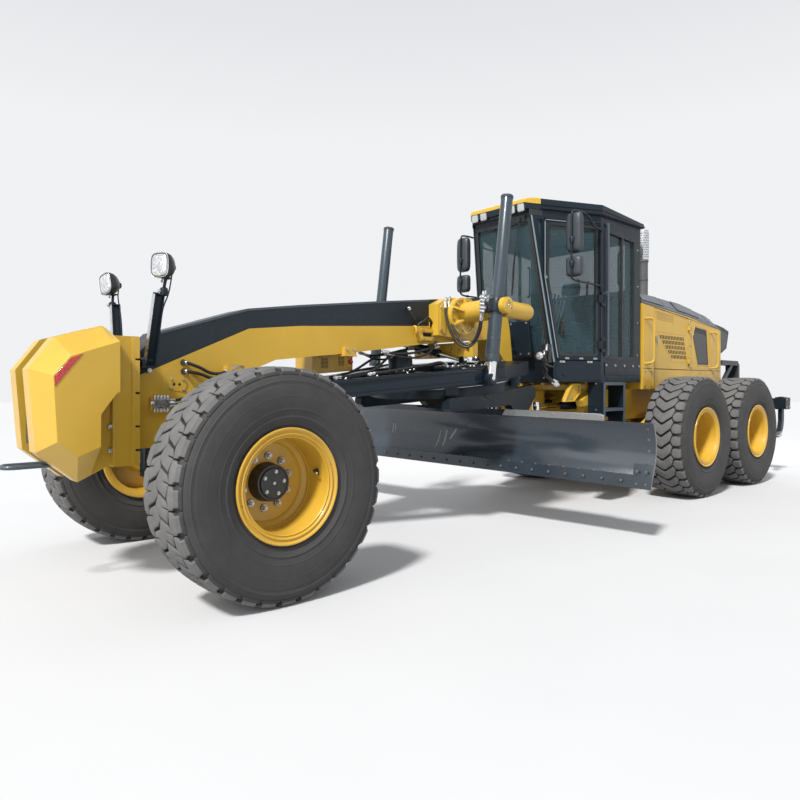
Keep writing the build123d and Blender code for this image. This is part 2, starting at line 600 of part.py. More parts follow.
with BuildPart() as cab_roof:
    side([(3690, CEIL_Z), (3683, 3400), (3700, 3440), (3780, 3455), (4620, 3450), (5570, 3385), (5570, CEIL_Z)], -800, 800)
    plan(full([(395, 3683), (800, 4600), (800, 5570)]), CEIL_Z, 3460, Mode.INTERSECT)
save(cab_roof.part, "cab_roof")

GLASS_D = (22.0, 28.0)
with BuildPart() as cab_glass:
    side([(3755 + 22, 3300), (3765 + 22, 3270), (4030 + 22, 1645), (4030 + 28, 1645), (3765 + 28, 3270), (3755 + 28, 3300)], -500, 500)
    cross(SCREEN, 3650, 4140, Mode.INTERSECT)
    cross(REAR_WIN, 5497, 5503)
    side(SIDE_WIN, 742, 748)
    side(SIDE_WIN, -748, -742)
    for s in (1, -1):
        on_door(s, QUARTER, *GLASS_D)
save(cab_glass.part, "cab_glass")

# Doors, their glass, and the mirrors that swing with them.
for name, s in (("left", 1), ("right", -1)):
    with BuildPart() as door:
        on_door(s, DOOR, 0, DOOR_T)
        on_door(s, DOOR_PANE, -5, DOOR_T + 5, Mode.SUBTRACT)
        for z in HINGES:
            on_door(s, [(890, z), (920, z), (920, z + 90), (890, z + 90)], -21, 0)
            on_door(s, [(890, z), (938, z), (938, z + 90), (890, z + 90)], -21, -10)
            bar((s * DOOR_PIN[0], DOOR_PIN[1], z), (s * DOOR_PIN[0], DOOR_PIN[1], z + 90), 10)
    save(door.part, f"cab_door_{name}")
    with BuildPart() as pane:
        on_door(s, DOOR_PANE, *GLASS_D)
    save(pane.part, f"door_glass_{name}")
    with BuildPart() as mirror:
        # stalk up the door's hinge side, two arms, two mirror heads
        bar((s * 790, 4590, 2480), (s * 790, 4590, 3215), 16)
        for z in (3170, 2520):
            bar((s * 790, 4590, z), (s * 812, 4040, z), 11)
            bar((s * 745, 4590, z), (s * 790, 4590, z), 14)
        on_door(s, DOOR, 0, DOOR_T, Mode.SUBTRACT)
        bar((s * 812, 4040, 2500), (s * 812, 4040, 3190), 11)
        block(min(s * 712, s * 912), max(s * 712, s * 912), 3965, 4035, 2820, 3260)
        block(min(s * 712, s * 912), max(s * 712, s * 912), 3965, 4035, 2560, 2780)
    save(mirror.part, f"mirror_{name}")

with BuildPart() as driver_seat:
    block(-200, 200, 4700, 5000, FLOOR_Z, 1840)
    block(-255, 255, 4560, 5080, 1840, 1960)
    side([(4990, 1940), (5080, 1940), (5190, 2520), (5110, 2530)], -245, 245)
    side([(5105, 2520), (5185, 2515), (5215, 2700), (5145, 2705)], -140, 140)
    for s in (1, -1):
        block(min(s * 265, s * 345), max(s * 265, s * 345), 4640, 5040, 2090, 2150)
        block(min(s * 255, s * 300), max(s * 255, s * 300), 4960, 5040, 1900, 2110)
save(driver_seat.part, "driver_seat")

with BuildPart() as control_console:
    side([(4180, FLOOR_Z), (4330, FLOOR_Z), (4480, 2080), (4400, 2110)], -90, 90)
    bar((0, 4425, 2080), (0, 4450, 2190), 30)
    wheel_pl = Plane(origin=v((0, 4450, 2185)), z_dir=(0, 0.22, 0.97))
    with Locations(wheel_pl):
        Torus(185, 15)
        Cylinder(40, 26)
    for a in (90, 210, 330):
        c, s_ = math.cos(math.radians(a)), math.sin(math.radians(a))
        frame_bar(wheel_pl, (20 * c, 20 * s_, 0), (180 * c, 180 * s_, 0), 11)
    for s in (1, -1):
        block(min(s * 60, s * 330), max(s * 60, s * 330), 4340, 4420, 2010, 2060)
        block(min(s * 250, s * 330), max(s * 250, s * 330), 4300, 4420, 2055, 2090)
save(control_console.part, "control_console")

# -------------------------------------------------------------- engine house
HOOD_TOP = [(5600, 2415), (6884, 2326), (7820, 2221), (7950, 2190)]   # side edge
E_DOOR = [(5905, 1595), (5905, 2375), (6885, 2300), (6885, 1595)]
E_HOLE = [(5897, 1587), (5897, 2383.6), (6893, 2307.4), (6893, 1587)]
with BuildPart() as engine_hood:
    body = [(5600, 1330), (7965, 1330), (7950, 2190), (7820, 2221), (6884, 2326), (5600, 2415)]
    side(body, -HOOD_X, HOOD_X)
    side([(5630, 1300), (8000, 1300), (8000, 2500), (5630, 2500)], -740, 740, Mode.SUBTRACT)
    for s in (1, -1):
        side(E_HOLE, *sorted((s * 730, s * 780)), Mode.SUBTRACT)
        for z in (1680, 2140):
            for z0 in (z - 32, z + 76):
                block(*sorted((s * 768, s * 792)), 6905, 6935, z0, z0 + 26)
                block(*sorted((s * 779, s * 792)), 6889, 6915, z0, z0 + 26)
                bar((s * 785, 6889, z0), (s * 785, 6889, z0 + 26), 9)
        # feet on the frame rails
        for s0 in (5630, 7700):
            block(*sorted((s * 460, s * 745)), s0, s0 + 140, 1330, 1362)
        # grab rails
        for s0, s1, z0, z1 in ((5640, 5760, 1665, 2235), (7570, 7690, 1640, 2160)):
            tube_loop([(s * 756, s0, z1 - 12), (s * 836, s1, z1), (s * 836, s1, z0),
                       (s * 756, s0, z0 - 12)], 14, 55)
    block(-745, 745, 7880, 7930, 2120, 2180)
save(engine_hood.part, "engine_hood")

for name, s in (("left", 1), ("right", -1)):
    with BuildPart() as edoor:
        side(E_DOOR, *sorted((s * 740, s * HOOD_X)))
        block(*sorted((s * 770, s * 782)), 5930, 5960, 1940, 2010)
        for z in (1680, 2140):
            block(*sorted((s * 768, s * 792)), 6852, 6878, z, z + 70)
            block(*sorted((s * 779, s * 792)), 6852, 6889, z, z + 70)
            bar((s * 785, 6889, z), (s * 785, 6889, z + 70), 9)
    save(edoor.part, f"engine_door_{name}")

# Cover: station, side edge z, top z, half width of the flat top
COVER = [(5600, 2415, 2575, 600), (6200, 2374, 2565, 600), (6884, 2326, 2533, 600), (7820, 2221, 2425, 590),
         (7965, 2187, 2388, 580)]
with BuildPart() as hood_cover:
    for (s0, e0, t0, w0), (s1, e1, t1, w1) in zip(COVER, COVER[1:]):
        faces = []
        for sta, e, tz, w in ((s0, e0, t0, w0), (s1, e1, t1, w1)):
            with BuildSketch(Plane.XZ.offset(-(sta + STA0))) as sk:
                with BuildLine():
                    Polyline((-HOOD_X, e), (HOOD_X, e), (HOOD_X, e + 20), (w, tz), (-w, tz), (-HOOD_X, e + 20), close=True)
                make_face()
            faces.append(sk.sketch)
        loft(faces, ruled=True)
    bar((300, 6500, 2200), (300, 6500, 2700), 74, Mode.SUBTRACT)
save(hood_cover.part, "hood_cover")

with BuildPart() as exhaust_stack:
    bar((300, 6500, 2150), (300, 6500, 3130), 62)
    bar((300, 6500, 3120), (300, 6500, 3540), 72)
    bar((300, 6500, 3200), (300, 6500, 3545), 64, Mode.SUBTRACT)
save(exhaust_stack.part, "exhaust_stack")

with BuildPart() as engine_block:
    block(-520, 520, 5800, 7000, 1330, 1500)
    block(-360, 420, 5820, 6960, 1500, 2150)
save(engine_block.part, "engine_block")

with BuildPart() as radiator_guard:
    side([(7966, 1400), (7966, 2330), (8250, 2300), (8460, 2275), (8680, 2225), (8600, 1968), (8405, 1883),
          (8120, 1860), (8060, 1400)], -600, 600)
    for s in (1, -1):
        block(*sorted((s * 640, s * 740)), 7800, 8000, 1500, 2000)
        block(*sorted((s * 590, s * 740)), 7967, 8000, 1400, 2000)
        # rear bracket: a corner frame with a diagonal strut
        a, b = sorted((s * 600, s * 790))
        side([(7968, 1752), (8560, 1752), (8620, 1700), (8620, 1400), (8560, 1400), (8560, 1690), (7968, 1690)], a, b)
        a, b = sorted((s * 740, s * 780))
        side([(7990, 1420), (8050, 1400), (8420, 1700), (8340, 1715)], a, b)
        a, b = sorted((s * 600, s * 790))
        side([(7968, 1400), (8620, 1400), (8620, 1440), (7968, 1440)], a, b)
save(radiator_guard.part, "radiator_guard")

# ------------------------------------------------------------ boarding steps
with BuildPart() as boarding_steps:
    for s in (1, -1):
        for s0 in (4560, 5000):
            block(*sorted((s * 640, s * 850)), s0, s0 + 16, 470, 1412)
        for z in (480, 780, 1080, 1380):
            block(*sorted((s * 660, s * 850)), 4576, 5000, z, z + 28)
        block(*sorted((s * 560, s * 645)), 4940, 5016, 1000, 1060)
        block(*sorted((s * 640, s * 660)), 4570, 5010, 1000, 1060)
save(boarding_steps.part, "boarding_steps")

# ---------------------------------------------------- articulation cylinders
for name, s in (("left", 1), ("right", -1)):
    A, B = (s * 380, 5250, 1140), (s * 300, 4020, 1140)
    al = math.dist(A, B)

    def art(d):
        return tuple(a + (b - a) * d / al for a, b in zip(A, B))

    with BuildPart() as abarrel:
        bar(art(40), art(760), 52)
        bar((A[0], A[1], 1093), (A[0], A[1], 1187), 44)
        bar(art(300), art(780), 31, Mode.SUBTRACT)
        bar((A[0], A[1], 1080), (A[0], A[1], 1200), 18.6, Mode.SUBTRACT)
    save(abarrel.part, f"articulation_barrel_{name}")
    with BuildPart() as arod:
        bar(art(520), B, 30)
        bar((B[0], B[1], 1095), (B[0], B[1], 1185), 46)
    save(arod.part, f"articulation_rod_{name}")

# -------------------------------------------------------------------- ripper
R_PIV, R_PIN = (8300.0, 800.0), (9050.0, 1000.0)      # link pins (station, z)
with BuildPart() as ripper_links:
    for s in (1, -1):
        a, b = sorted((s * 378, s * 424))
        side([(8290, 745), (9055, 950), (9045, 1052), (8290, 852)], a, b)
        bar((a, *R_PIV), (b, *R_PIV), 54)
        bar((a, *R_PIN), (b, *R_PIN), 54)
        bar((a - 5, *R_PIV), (b + 5, *R_PIV), 20.6, Mode.SUBTRACT)
        bar((a - 5, *R_PIN), (b + 5, *R_PIN), 20.6, Mode.SUBTRACT)
    bar((-380, 8720, 911), (380, 8720, 911), 40)
save(ripper_links.part, "ripper_links")

with BuildPart() as ripper_beam:
    block(-1270, 1270, 9150, 9340, 1020, 1180)
    for s in (1, -1):
        for x0 in (352, 430):
            a, b = sorted((s * x0, s * (x0 + 20)))
            side([(9000, 940), (9000, 1060), (9060, 1090), (9160, 1170), (9160, 1025), (9100, 940)], a, b)
        bar((s * 355, *R_PIN), (s * 448, *R_PIN), 20)
    for x0 in (-62, 42):
        side([(8990, 1000), (8990, 1110), (9160, 1170), (9160, 1030), (9090, 1000)], x0, x0 + 20)
    # shanks with forward pointing tips
    for x in (-1180, -590, 0, 590, 1180):
        side([(9190, 1205), (9190, 830), (9120, 640), (9060, 590), (9090, 575), (9180, 600),
              (9260, 720), (9290, 850), (9290, 1205)], x - 30, x + 30)
save(ripper_beam.part, "ripper_beam")

RA, RB = (0, 8300, 1400), (0, 9050, 1060)
rl = math.dist(RA, RB)


def rip(d):
    return tuple(a + (b - a) * d / rl for a, b in zip(RA, RB))


with BuildPart() as ripper_barrel:
    bar(rip(40), rip(660), 45)
    bar((-36, *RA[1:]), (36, *RA[1:]), 42)
    bar(rip(70), rip(680), 28, Mode.SUBTRACT)
    bar((-50, *RA[1:]), (50, *RA[1:]), 18.6, Mode.SUBTRACT)
save(ripper_barrel.part, "ripper_barrel")

with BuildPart() as ripper_rod:
    bar(rip(100), RB, 27)
    bar((-30, *RB[1:]), (30, *RB[1:]), 40)
save(ripper_rod.part, "ripper_rod")
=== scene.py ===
import math
import random

import bmesh
import bpy
from mathutils import Matrix, Vector


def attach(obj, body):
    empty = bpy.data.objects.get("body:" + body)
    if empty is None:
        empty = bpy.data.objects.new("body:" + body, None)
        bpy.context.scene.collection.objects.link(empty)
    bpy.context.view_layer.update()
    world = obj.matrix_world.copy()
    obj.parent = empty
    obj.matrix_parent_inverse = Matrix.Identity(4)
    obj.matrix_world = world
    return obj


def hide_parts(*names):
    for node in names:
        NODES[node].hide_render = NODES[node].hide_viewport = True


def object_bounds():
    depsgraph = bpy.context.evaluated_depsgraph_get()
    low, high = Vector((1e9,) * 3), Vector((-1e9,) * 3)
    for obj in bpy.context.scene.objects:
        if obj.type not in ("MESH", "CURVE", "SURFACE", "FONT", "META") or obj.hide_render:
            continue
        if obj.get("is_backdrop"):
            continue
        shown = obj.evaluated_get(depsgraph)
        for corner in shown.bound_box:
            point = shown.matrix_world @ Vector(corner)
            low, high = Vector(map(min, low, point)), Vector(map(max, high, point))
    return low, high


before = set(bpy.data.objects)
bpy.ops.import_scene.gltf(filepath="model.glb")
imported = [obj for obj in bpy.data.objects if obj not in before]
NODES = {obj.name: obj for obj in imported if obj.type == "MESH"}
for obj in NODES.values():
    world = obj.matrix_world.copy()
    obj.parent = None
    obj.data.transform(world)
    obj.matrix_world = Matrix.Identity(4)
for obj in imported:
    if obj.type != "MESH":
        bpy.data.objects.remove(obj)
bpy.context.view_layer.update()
SCENE = bpy.context.scene
STA0 = -4.020          # row y of the front axle; sizes below are (x, station, z)
rnd = random.Random(7)


def S(x, s, z):
    return Vector((x, s + STA0, z))


# ------------------------------------------------------------------ camera
cam = bpy.data.cameras.new("camera")
cam.lens, cam.sensor_width = 29.41, 36.0
cam.shift_x, cam.shift_y = 0.0069, -0.009
cam.clip_end = 200
cam_ob = bpy.data.objects.new("camera", cam)
cam_ob.location = S(4.833, -2.192, 1.358)
cam_ob.rotation_euler = (math.radians(90 - 0.512), 0, math.radians(48.33))
SCENE.collection.objects.link(cam_ob)
SCENE.camera = cam_ob


# --------------------------------------------------------------- materials
class Nodes:
    """Small helper round a material's node tree."""

    def __init__(self, name):
        self.mat = bpy.data.materials.new(name)
        self.mat.use_nodes = True
        self.t = self.mat.node_tree
        self.b = self.t.nodes["Principled BSDF"]
        self.co = self.t.nodes.new("ShaderNodeTexCoord").outputs["Object"]

    def new(self, kind, **k):
        n = self.t.nodes.new(kind)
        for a, b in k.items():
            setattr(n, a, b)
        return n

    def link(self, a, b):
        self.t.links.new(a, b)

    def noise(self, scale, detail=4.0, rough=0.55, co=None, stretch=None):
        n = self.new("ShaderNodeTexNoise")
        n.inputs["Scale"].default_value = scale
        n.inputs["Detail"].default_value = detail
        n.inputs["Roughness"].default_value = rough
        src = co or self.co
        if stretch:
            m = self.new("ShaderNodeMapping")
            m.inputs["Scale"].default_value = stretch
            self.link(src, m.inputs["Vector"])
            src = m.outputs["Vector"]
        self.link(src, n.inputs["Vector"])
        return n.outputs["Fac"]

    def ramp(self, fac, stops):
        r = self.new("ShaderNodeValToRGB")
        e = r.color_ramp.elements
        while len(e) < len(stops):
            e.new(0.5)
        for el, (p, c) in zip(e, stops):
            el.position = p
            el.color = c if len(c) == 4 else (*c, 1)
        self.link(fac, r.inputs["Fac"])
        return r.outputs["Color"]

    def span(self, fac, a, b, lo, hi):
        m = self.new("ShaderNodeMapRange")
        for i, x in zip(("From Min", "From Max", "To Min", "To Max"), (a, b, lo, hi)):
            m.inputs[i].default_value = x
        self.link(fac, m.inputs["Value"])
        return m.outputs["Result"]

    def mix(self, fac, a, b):
        m = self.new("ShaderNodeMix", data_type="RGBA")
        if isinstance(fac, float):
            m.inputs["Factor"].default_value = fac
        else:
            self.link(fac, m.inputs["Factor"])
        for s, x in ((m.inputs[6], a), (m.inputs[7], b)):
            if isinstance(x, tuple):
                s.default_value = (*x, 1) if len(x) == 3 else x
            else:
                self.link(x, s)
        return m.outputs[2]

    def math(self, op, a, b=0.0, clamp=False):
        m = self.new("ShaderNodeMath", operation=op, use_clamp=clamp)
        for s, x in zip(m.inputs, (a, b)):
            if isinstance(x, (int, float)):
                s.default_value = x
            else:
                self.link(x, s)
        return m.outputs[0]

    def bump(self, *layers):
        """(height, strength, distance) layers, one over the other."""
        prev = None
        for h, st, d in layers:
            n = self.new("ShaderNodeBump")
            n.inputs["Strength"].default_value = st
            n.inputs["Distance"].default_value = d
            self.link(h, n.inputs["Height"])
            if prev is not None:
                self.link(prev, n.inputs["Normal"])
            prev = n.outputs["Normal"]
        self.link(prev, self.b.inputs["Normal"])

    def up(self):
        g = self.new("ShaderNodeNewGeometry")
        x = self.new("ShaderNodeSeparateXYZ")
        self.link(g.outputs["Normal"], x.inputs[0])
        return x.outputs["Z"]


def paint(name, color, rough=0.36, coat=0.22, dust=0.07, dark=0.9, light=1.06, dust_col=(0.34, 0.28, 0.18), mask=None, color2=None, spec=0.45):
    m = Nodes(name)
    c = color
    base = m.mix(m.span(m.noise(1.7, 3), 0.3, 0.7, 0, 1), tuple(x * dark for x in c), tuple(min(1, x * light) for x in c))
    if mask:
        c2 = color2
        alt = m.mix(m.span(m.noise(1.7, 3), 0.3, 0.7, 0, 1), tuple(x * dark for x in c2), tuple(min(1, x * light) for x in c2))
        base = m.mix(mask(m), base, alt)
    fine = m.noise(24, 6, 0.65)
    d = m.math("MULTIPLY", m.span(m.up(), 0.2, 1.0, 0.25, 1.0), m.span(fine, 0.46, 0.72, 0, dust), True)
    base = m.mix(d, base, dust_col)
    m.link(base, m.b.inputs["Base Color"])
    m.link(m.math("ADD", m.span(m.noise(9, 5, 0.6), 0.3, 0.7, rough - 0.05, rough + 0.08), m.math("MULTIPLY", d, 0.9)), m.b.inputs["Roughness"])
    m.b.inputs["Coat Weight"].default_value = coat
    m.b.inputs["Coat Roughness"].default_value = 0.12
    m.b.inputs["Specular IOR Level"].default_value = spec
    m.bump((m.noise(260, 2), 0.05, 0.001), (m.noise(3.5, 2), 0.06, 0.004))
    return m.mat


YELLOW = (0.53, 0.325, 0.033)
NAVY = (0.0062, 0.0128, 0.0200)
M = {}
M["yellow"] = paint("paint_yellow", YELLOW)
M["yellow_rim"] = paint("paint_yellow_rim", (0.53, 0.31, 0.028), rough=0.4, coat=0.3, dust=0.14)
M["navy"] = paint("paint_navy", NAVY, rough=0.36, coat=0.06, dust=0.05, dust_col=(0.10, 0.11, 0.12), spec=0.27)
M["cover"] = paint("paint_cover", (0.060, 0.070, 0.082), rough=0.40, coat=0.15, dust=0.25, dust_col=(0.34, 0.34, 0.34), spec=0.45)
M["lift"] = paint("paint_lift", (0.030, 0.045, 0.058), rough=0.34, coat=0.2, dust=0.08, dust_col=(0.20, 0.21, 0.22), spec=0.42)
M["navy_light"] = paint("paint_navy_light", (0.050, 0.068, 0.088), rough=0.36, coat=0.2, dust=0.08, dust_col=(0.20, 0.21, 0.22), spec=0.4)


def neck_mask(m):
    """Dark above a sloping line along the neck."""
    sep = m.new("ShaderNodeSeparateXYZ")
    m.link(m.co, sep.inputs[0])
    y = m.math("DIVIDE", m.math("SUBTRACT", sep.outputs["Y"], STA0 - 1.0), 6.0)
    curve = m.new("ShaderNodeFloatCurve")
    c = curve.mapping.curves[0]
    line = [(-1.0, 2.98), (-0.514, 2.98), (-0.506, 1.422), (-0.444, 1.450), (0.407, 1.823), (0.889, 1.874), (2.556, 1.977), (3.05, 2.02), (3.30, 2.30), (5.0, 2.4)]
    pts = [((s + 1.0) / 6.0, z / 3.0) for s, z in line]
    c.points[0].location, c.points[1].location = pts[0], pts[-1]
    for p in pts[1:-1]:
        c.points.new(*p)
    for p in c.points:
        p.handle_type = "VECTOR"
    curve.mapping.update()
    m.link(y, curve.inputs["Value"])
    return m.math("GREATER_THAN", m.math("DIVIDE", sep.outputs["Z"], 3.0), curve.outputs["Value"])


M["neck"] = paint("paint_neck", YELLOW, mask=neck_mask, color2=NAVY, coat=0.08, spec=0.34)


def rubber(name, base, rough=0.82, grey=(0.105, 0.10, 0.095)):
    m = Nodes(name)
    n1, n2 = m.noise(6, 5, 0.6), m.noise(70, 6, 0.7)
    d = m.math("MULTIPLY", m.span(n1, 0.35, 0.7, 0.25, 1.0), m.span(n2, 0.35, 0.7, 0.3, 1.0), True)
    m.link(m.mix(d, base, grey), m.b.inputs["Base Color"])
    m.link(m.span(n2, 0.3, 0.7, rough - 0.12, rough + 0.08), m.b.inputs["Roughness"])
    m.bump((n2, 0.25, 0.0015), (m.noise(420, 2), 0.12, 0.0005))
    return m.mat


M["tyre"] = rubber("tyre_rubber", (0.026, 0.025, 0.0255), grey=(0.048, 0.046, 0.045))
M["tread"] = rubber("tyre_tread_dusty", (0.082, 0.080, 0.079), grey=(0.150, 0.147, 0.145))
M["hose"] = rubber("hose_rubber", (0.010, 0.010, 0.010), 0.42, (0.022, 0.022, 0.022))


def plastic(name, color, rough=0.5, bump=0.25):
    m = Nodes(name)
    n = m.noise(320, 2)
    m.link(m.mix(m.span(m.noise(5, 4), 0.3, 0.7, 0, 1), tuple(x * 0.85 for x in color), tuple(x * 1.15 for x in color)), m.b.inputs["Base Color"])
    m.link(m.span(m.noise(14, 4), 0.3, 0.7, rough - 0.08, rough + 0.1), m.b.inputs["Roughness"])
    m.bump((n, bump, 0.0006))
    return m.mat


M["black"] = plastic("black_plastic", (0.016, 0.017, 0.018))
M["dark"] = plastic("dark_trim", (0.030, 0.036, 0.044), 0.45)
M["hub_black"] = plastic("hub_black", (0.022, 0.022, 0.023), 0.42)
# near black: painted as the shade inside holes, slots, vents and louvre gaps, and also used for dark seam lines
M["void"] = plastic("deep_black", (0.004, 0.004, 0.005), 0.8)


def metal(name, color, rough=0.25, brush=None, spot=0.0):
    m = Nodes(name)
    m.b.inputs["Metallic"].default_value = 1.0
    n = m.noise(30, 6, 0.65, stretch=brush)
    m.link(m.mix(m.span(n, 0.3, 0.7, 0, 1), tuple(x * 0.8 for x in color), tuple(min(1, x * 1.1) for x in color)), m.b.inputs["Base Color"])
    m.link(m.span(n, 0.3, 0.7, max(0.03, rough - 0.07), rough + 0.12), m.b.inputs["Roughness"])
    m.bump((n, 0.08, 0.001))
    return m.mat


M["chrome"] = metal("rod_chrome", (0.82, 0.83, 0.85), 0.08)
M["zinc"] = metal("zinc_steel", (0.50, 0.49, 0.46), 0.34)
M["silver"] = metal("silver_trim", (0.70, 0.72, 0.74), 0.28)
M["worn"] = metal("worn_steel", (0.50, 0.51, 0.52), 0.36, (1, 1, 12))
M["exhaust"] = metal("exhaust_steel", (0.42, 0.42, 0.43), 0.34, (1, 1, 8))
M["cast"] = plastic("cast_iron", (0.075, 0.075, 0.08), 0.6, 0.5)


def blade_paint():
    m = Nodes("blade_paint")
    n = m.noise(1.6, 3, 0.5, stretch=(0.4, 0.4, 1.6))
    scratch = m.noise(60, 6, 0.7, stretch=(1.0, 1.0, 0.08))
    base = m.mix(m.span(n, 0.3, 0.72, 0, 1), (0.016, 0.024, 0.034), (0.030, 0.040, 0.052))
    base = m.mix(m.span(scratch, 0.66, 0.84, 0, 0.12), base, (0.20, 0.21, 0.22))
    m.link(base, m.b.inputs["Base Color"])
    m.link(m.span(scratch, 0.3, 0.75, 0.20, 0.30), m.b.inputs["Roughness"])
    m.b.inputs["Metallic"].default_value = 0.15
    m.b.inputs["Coat Weight"].default_value = 0.55
    m.b.inputs["Coat Roughness"].default_value = 0.12
    m.bump((m.noise(1.6, 2, 0.5), 0.05, 0.01), (scratch, 0.03, 0.001))
    return m.mat


M["blade"] = blade_paint()


def glass(name, tint=(0.035, 0.075, 0.090), alpha=0.42):
    m = Nodes(name)
    m.b.inputs["Roughness"].default_value = 0.02
    m.b.inputs["IOR"].default_value = 1.5
    m.link(m.mix(m.span(m.noise(0.8, 2), 0.3, 0.7, 0, 1), tuple(x * 0.92 for x in tint), tint), m.b.inputs["Base Color"])
    m.b.inputs["Alpha"].default_value = alpha
    m.b.inputs["Specular IOR Level"].default_value = 0.42
    m.mat.surface_render_method = "BLENDED"
    return m.mat


M["glass"] = glass("cab_glass_clear")


def emissive_lens(name, col, metallic=0.6, rough=0.12):
    m = Nodes(name)
    v = m.new("ShaderNodeTexVoronoi")
    v.inputs["Scale"].default_value = 60
    m.link(m.co, v.inputs["Vector"])
    m.link(m.mix(m.span(v.outputs["Distance"], 0, 0.6, 0, 1), tuple(min(1, c * 1.1) for c in col), tuple(c * 0.55 for c in col)), m.b.inputs["Base Color"])
    m.b.inputs["Metallic"].default_value = metallic
    m.b.inputs["Roughness"].default_value = rough
    m.b.inputs["Coat Weight"].default_value = 1.0
    m.bump((v.outputs["Distance"], 0.4, 0.004))
    return m.mat


M["lens"] = emissive_lens("lamp_lens", (0.85, 0.87, 0.90))
M["amber"] = emissive_lens("lamp_amber", (0.9, 0.32, 0.03), 0.0)
M["red"] = emissive_lens("reflector_red", (0.62, 0.02, 0.02), 0.0, 0.3)
M["white"] = plastic("white_lamp", (0.40, 0.42, 0.43), 0.3)
M["teal"] = plastic("trim_pale", (0.17, 0.22, 0.24), 0.35, 0.1)
M["glassdark"] = plastic("seen_glass", (0.10, 0.105, 0.11), 0.25, 0.05)
M["steel"] = plastic("dull_steel", (0.24, 0.25, 0.25), 0.38, 0.1)
M["mirror"] = metal("mirror_glass", (0.9, 0.92, 0.94), 0.04)


def cloth(name, col):
    m = Nodes(name)
    w = m.new("ShaderNodeTexWave", wave_type="BANDS", bands_direction="DIAGONAL")
    w.inputs["Scale"].default_value = 190
    w.inputs["Distortion"].default_value = 1.5
    m.link(m.co, w.inputs["Vector"])
    m.link(m.mix(m.span(m.noise(40, 4), 0.3, 0.7, 0, 1), tuple(c * 0.7 for c in col), tuple(c * 1.3 for c in col)), m.b.inputs["Base Color"])
    m.b.inputs["Roughness"].default_value = 0.9
    m.b.inputs["Sheen Weight"].default_value = 0.4
    m.bump((w.outputs["Fac"], 0.3, 0.001))
    return m.mat


M["cloth"] = cloth("seat_cloth", (0.045, 0.047, 0.052))


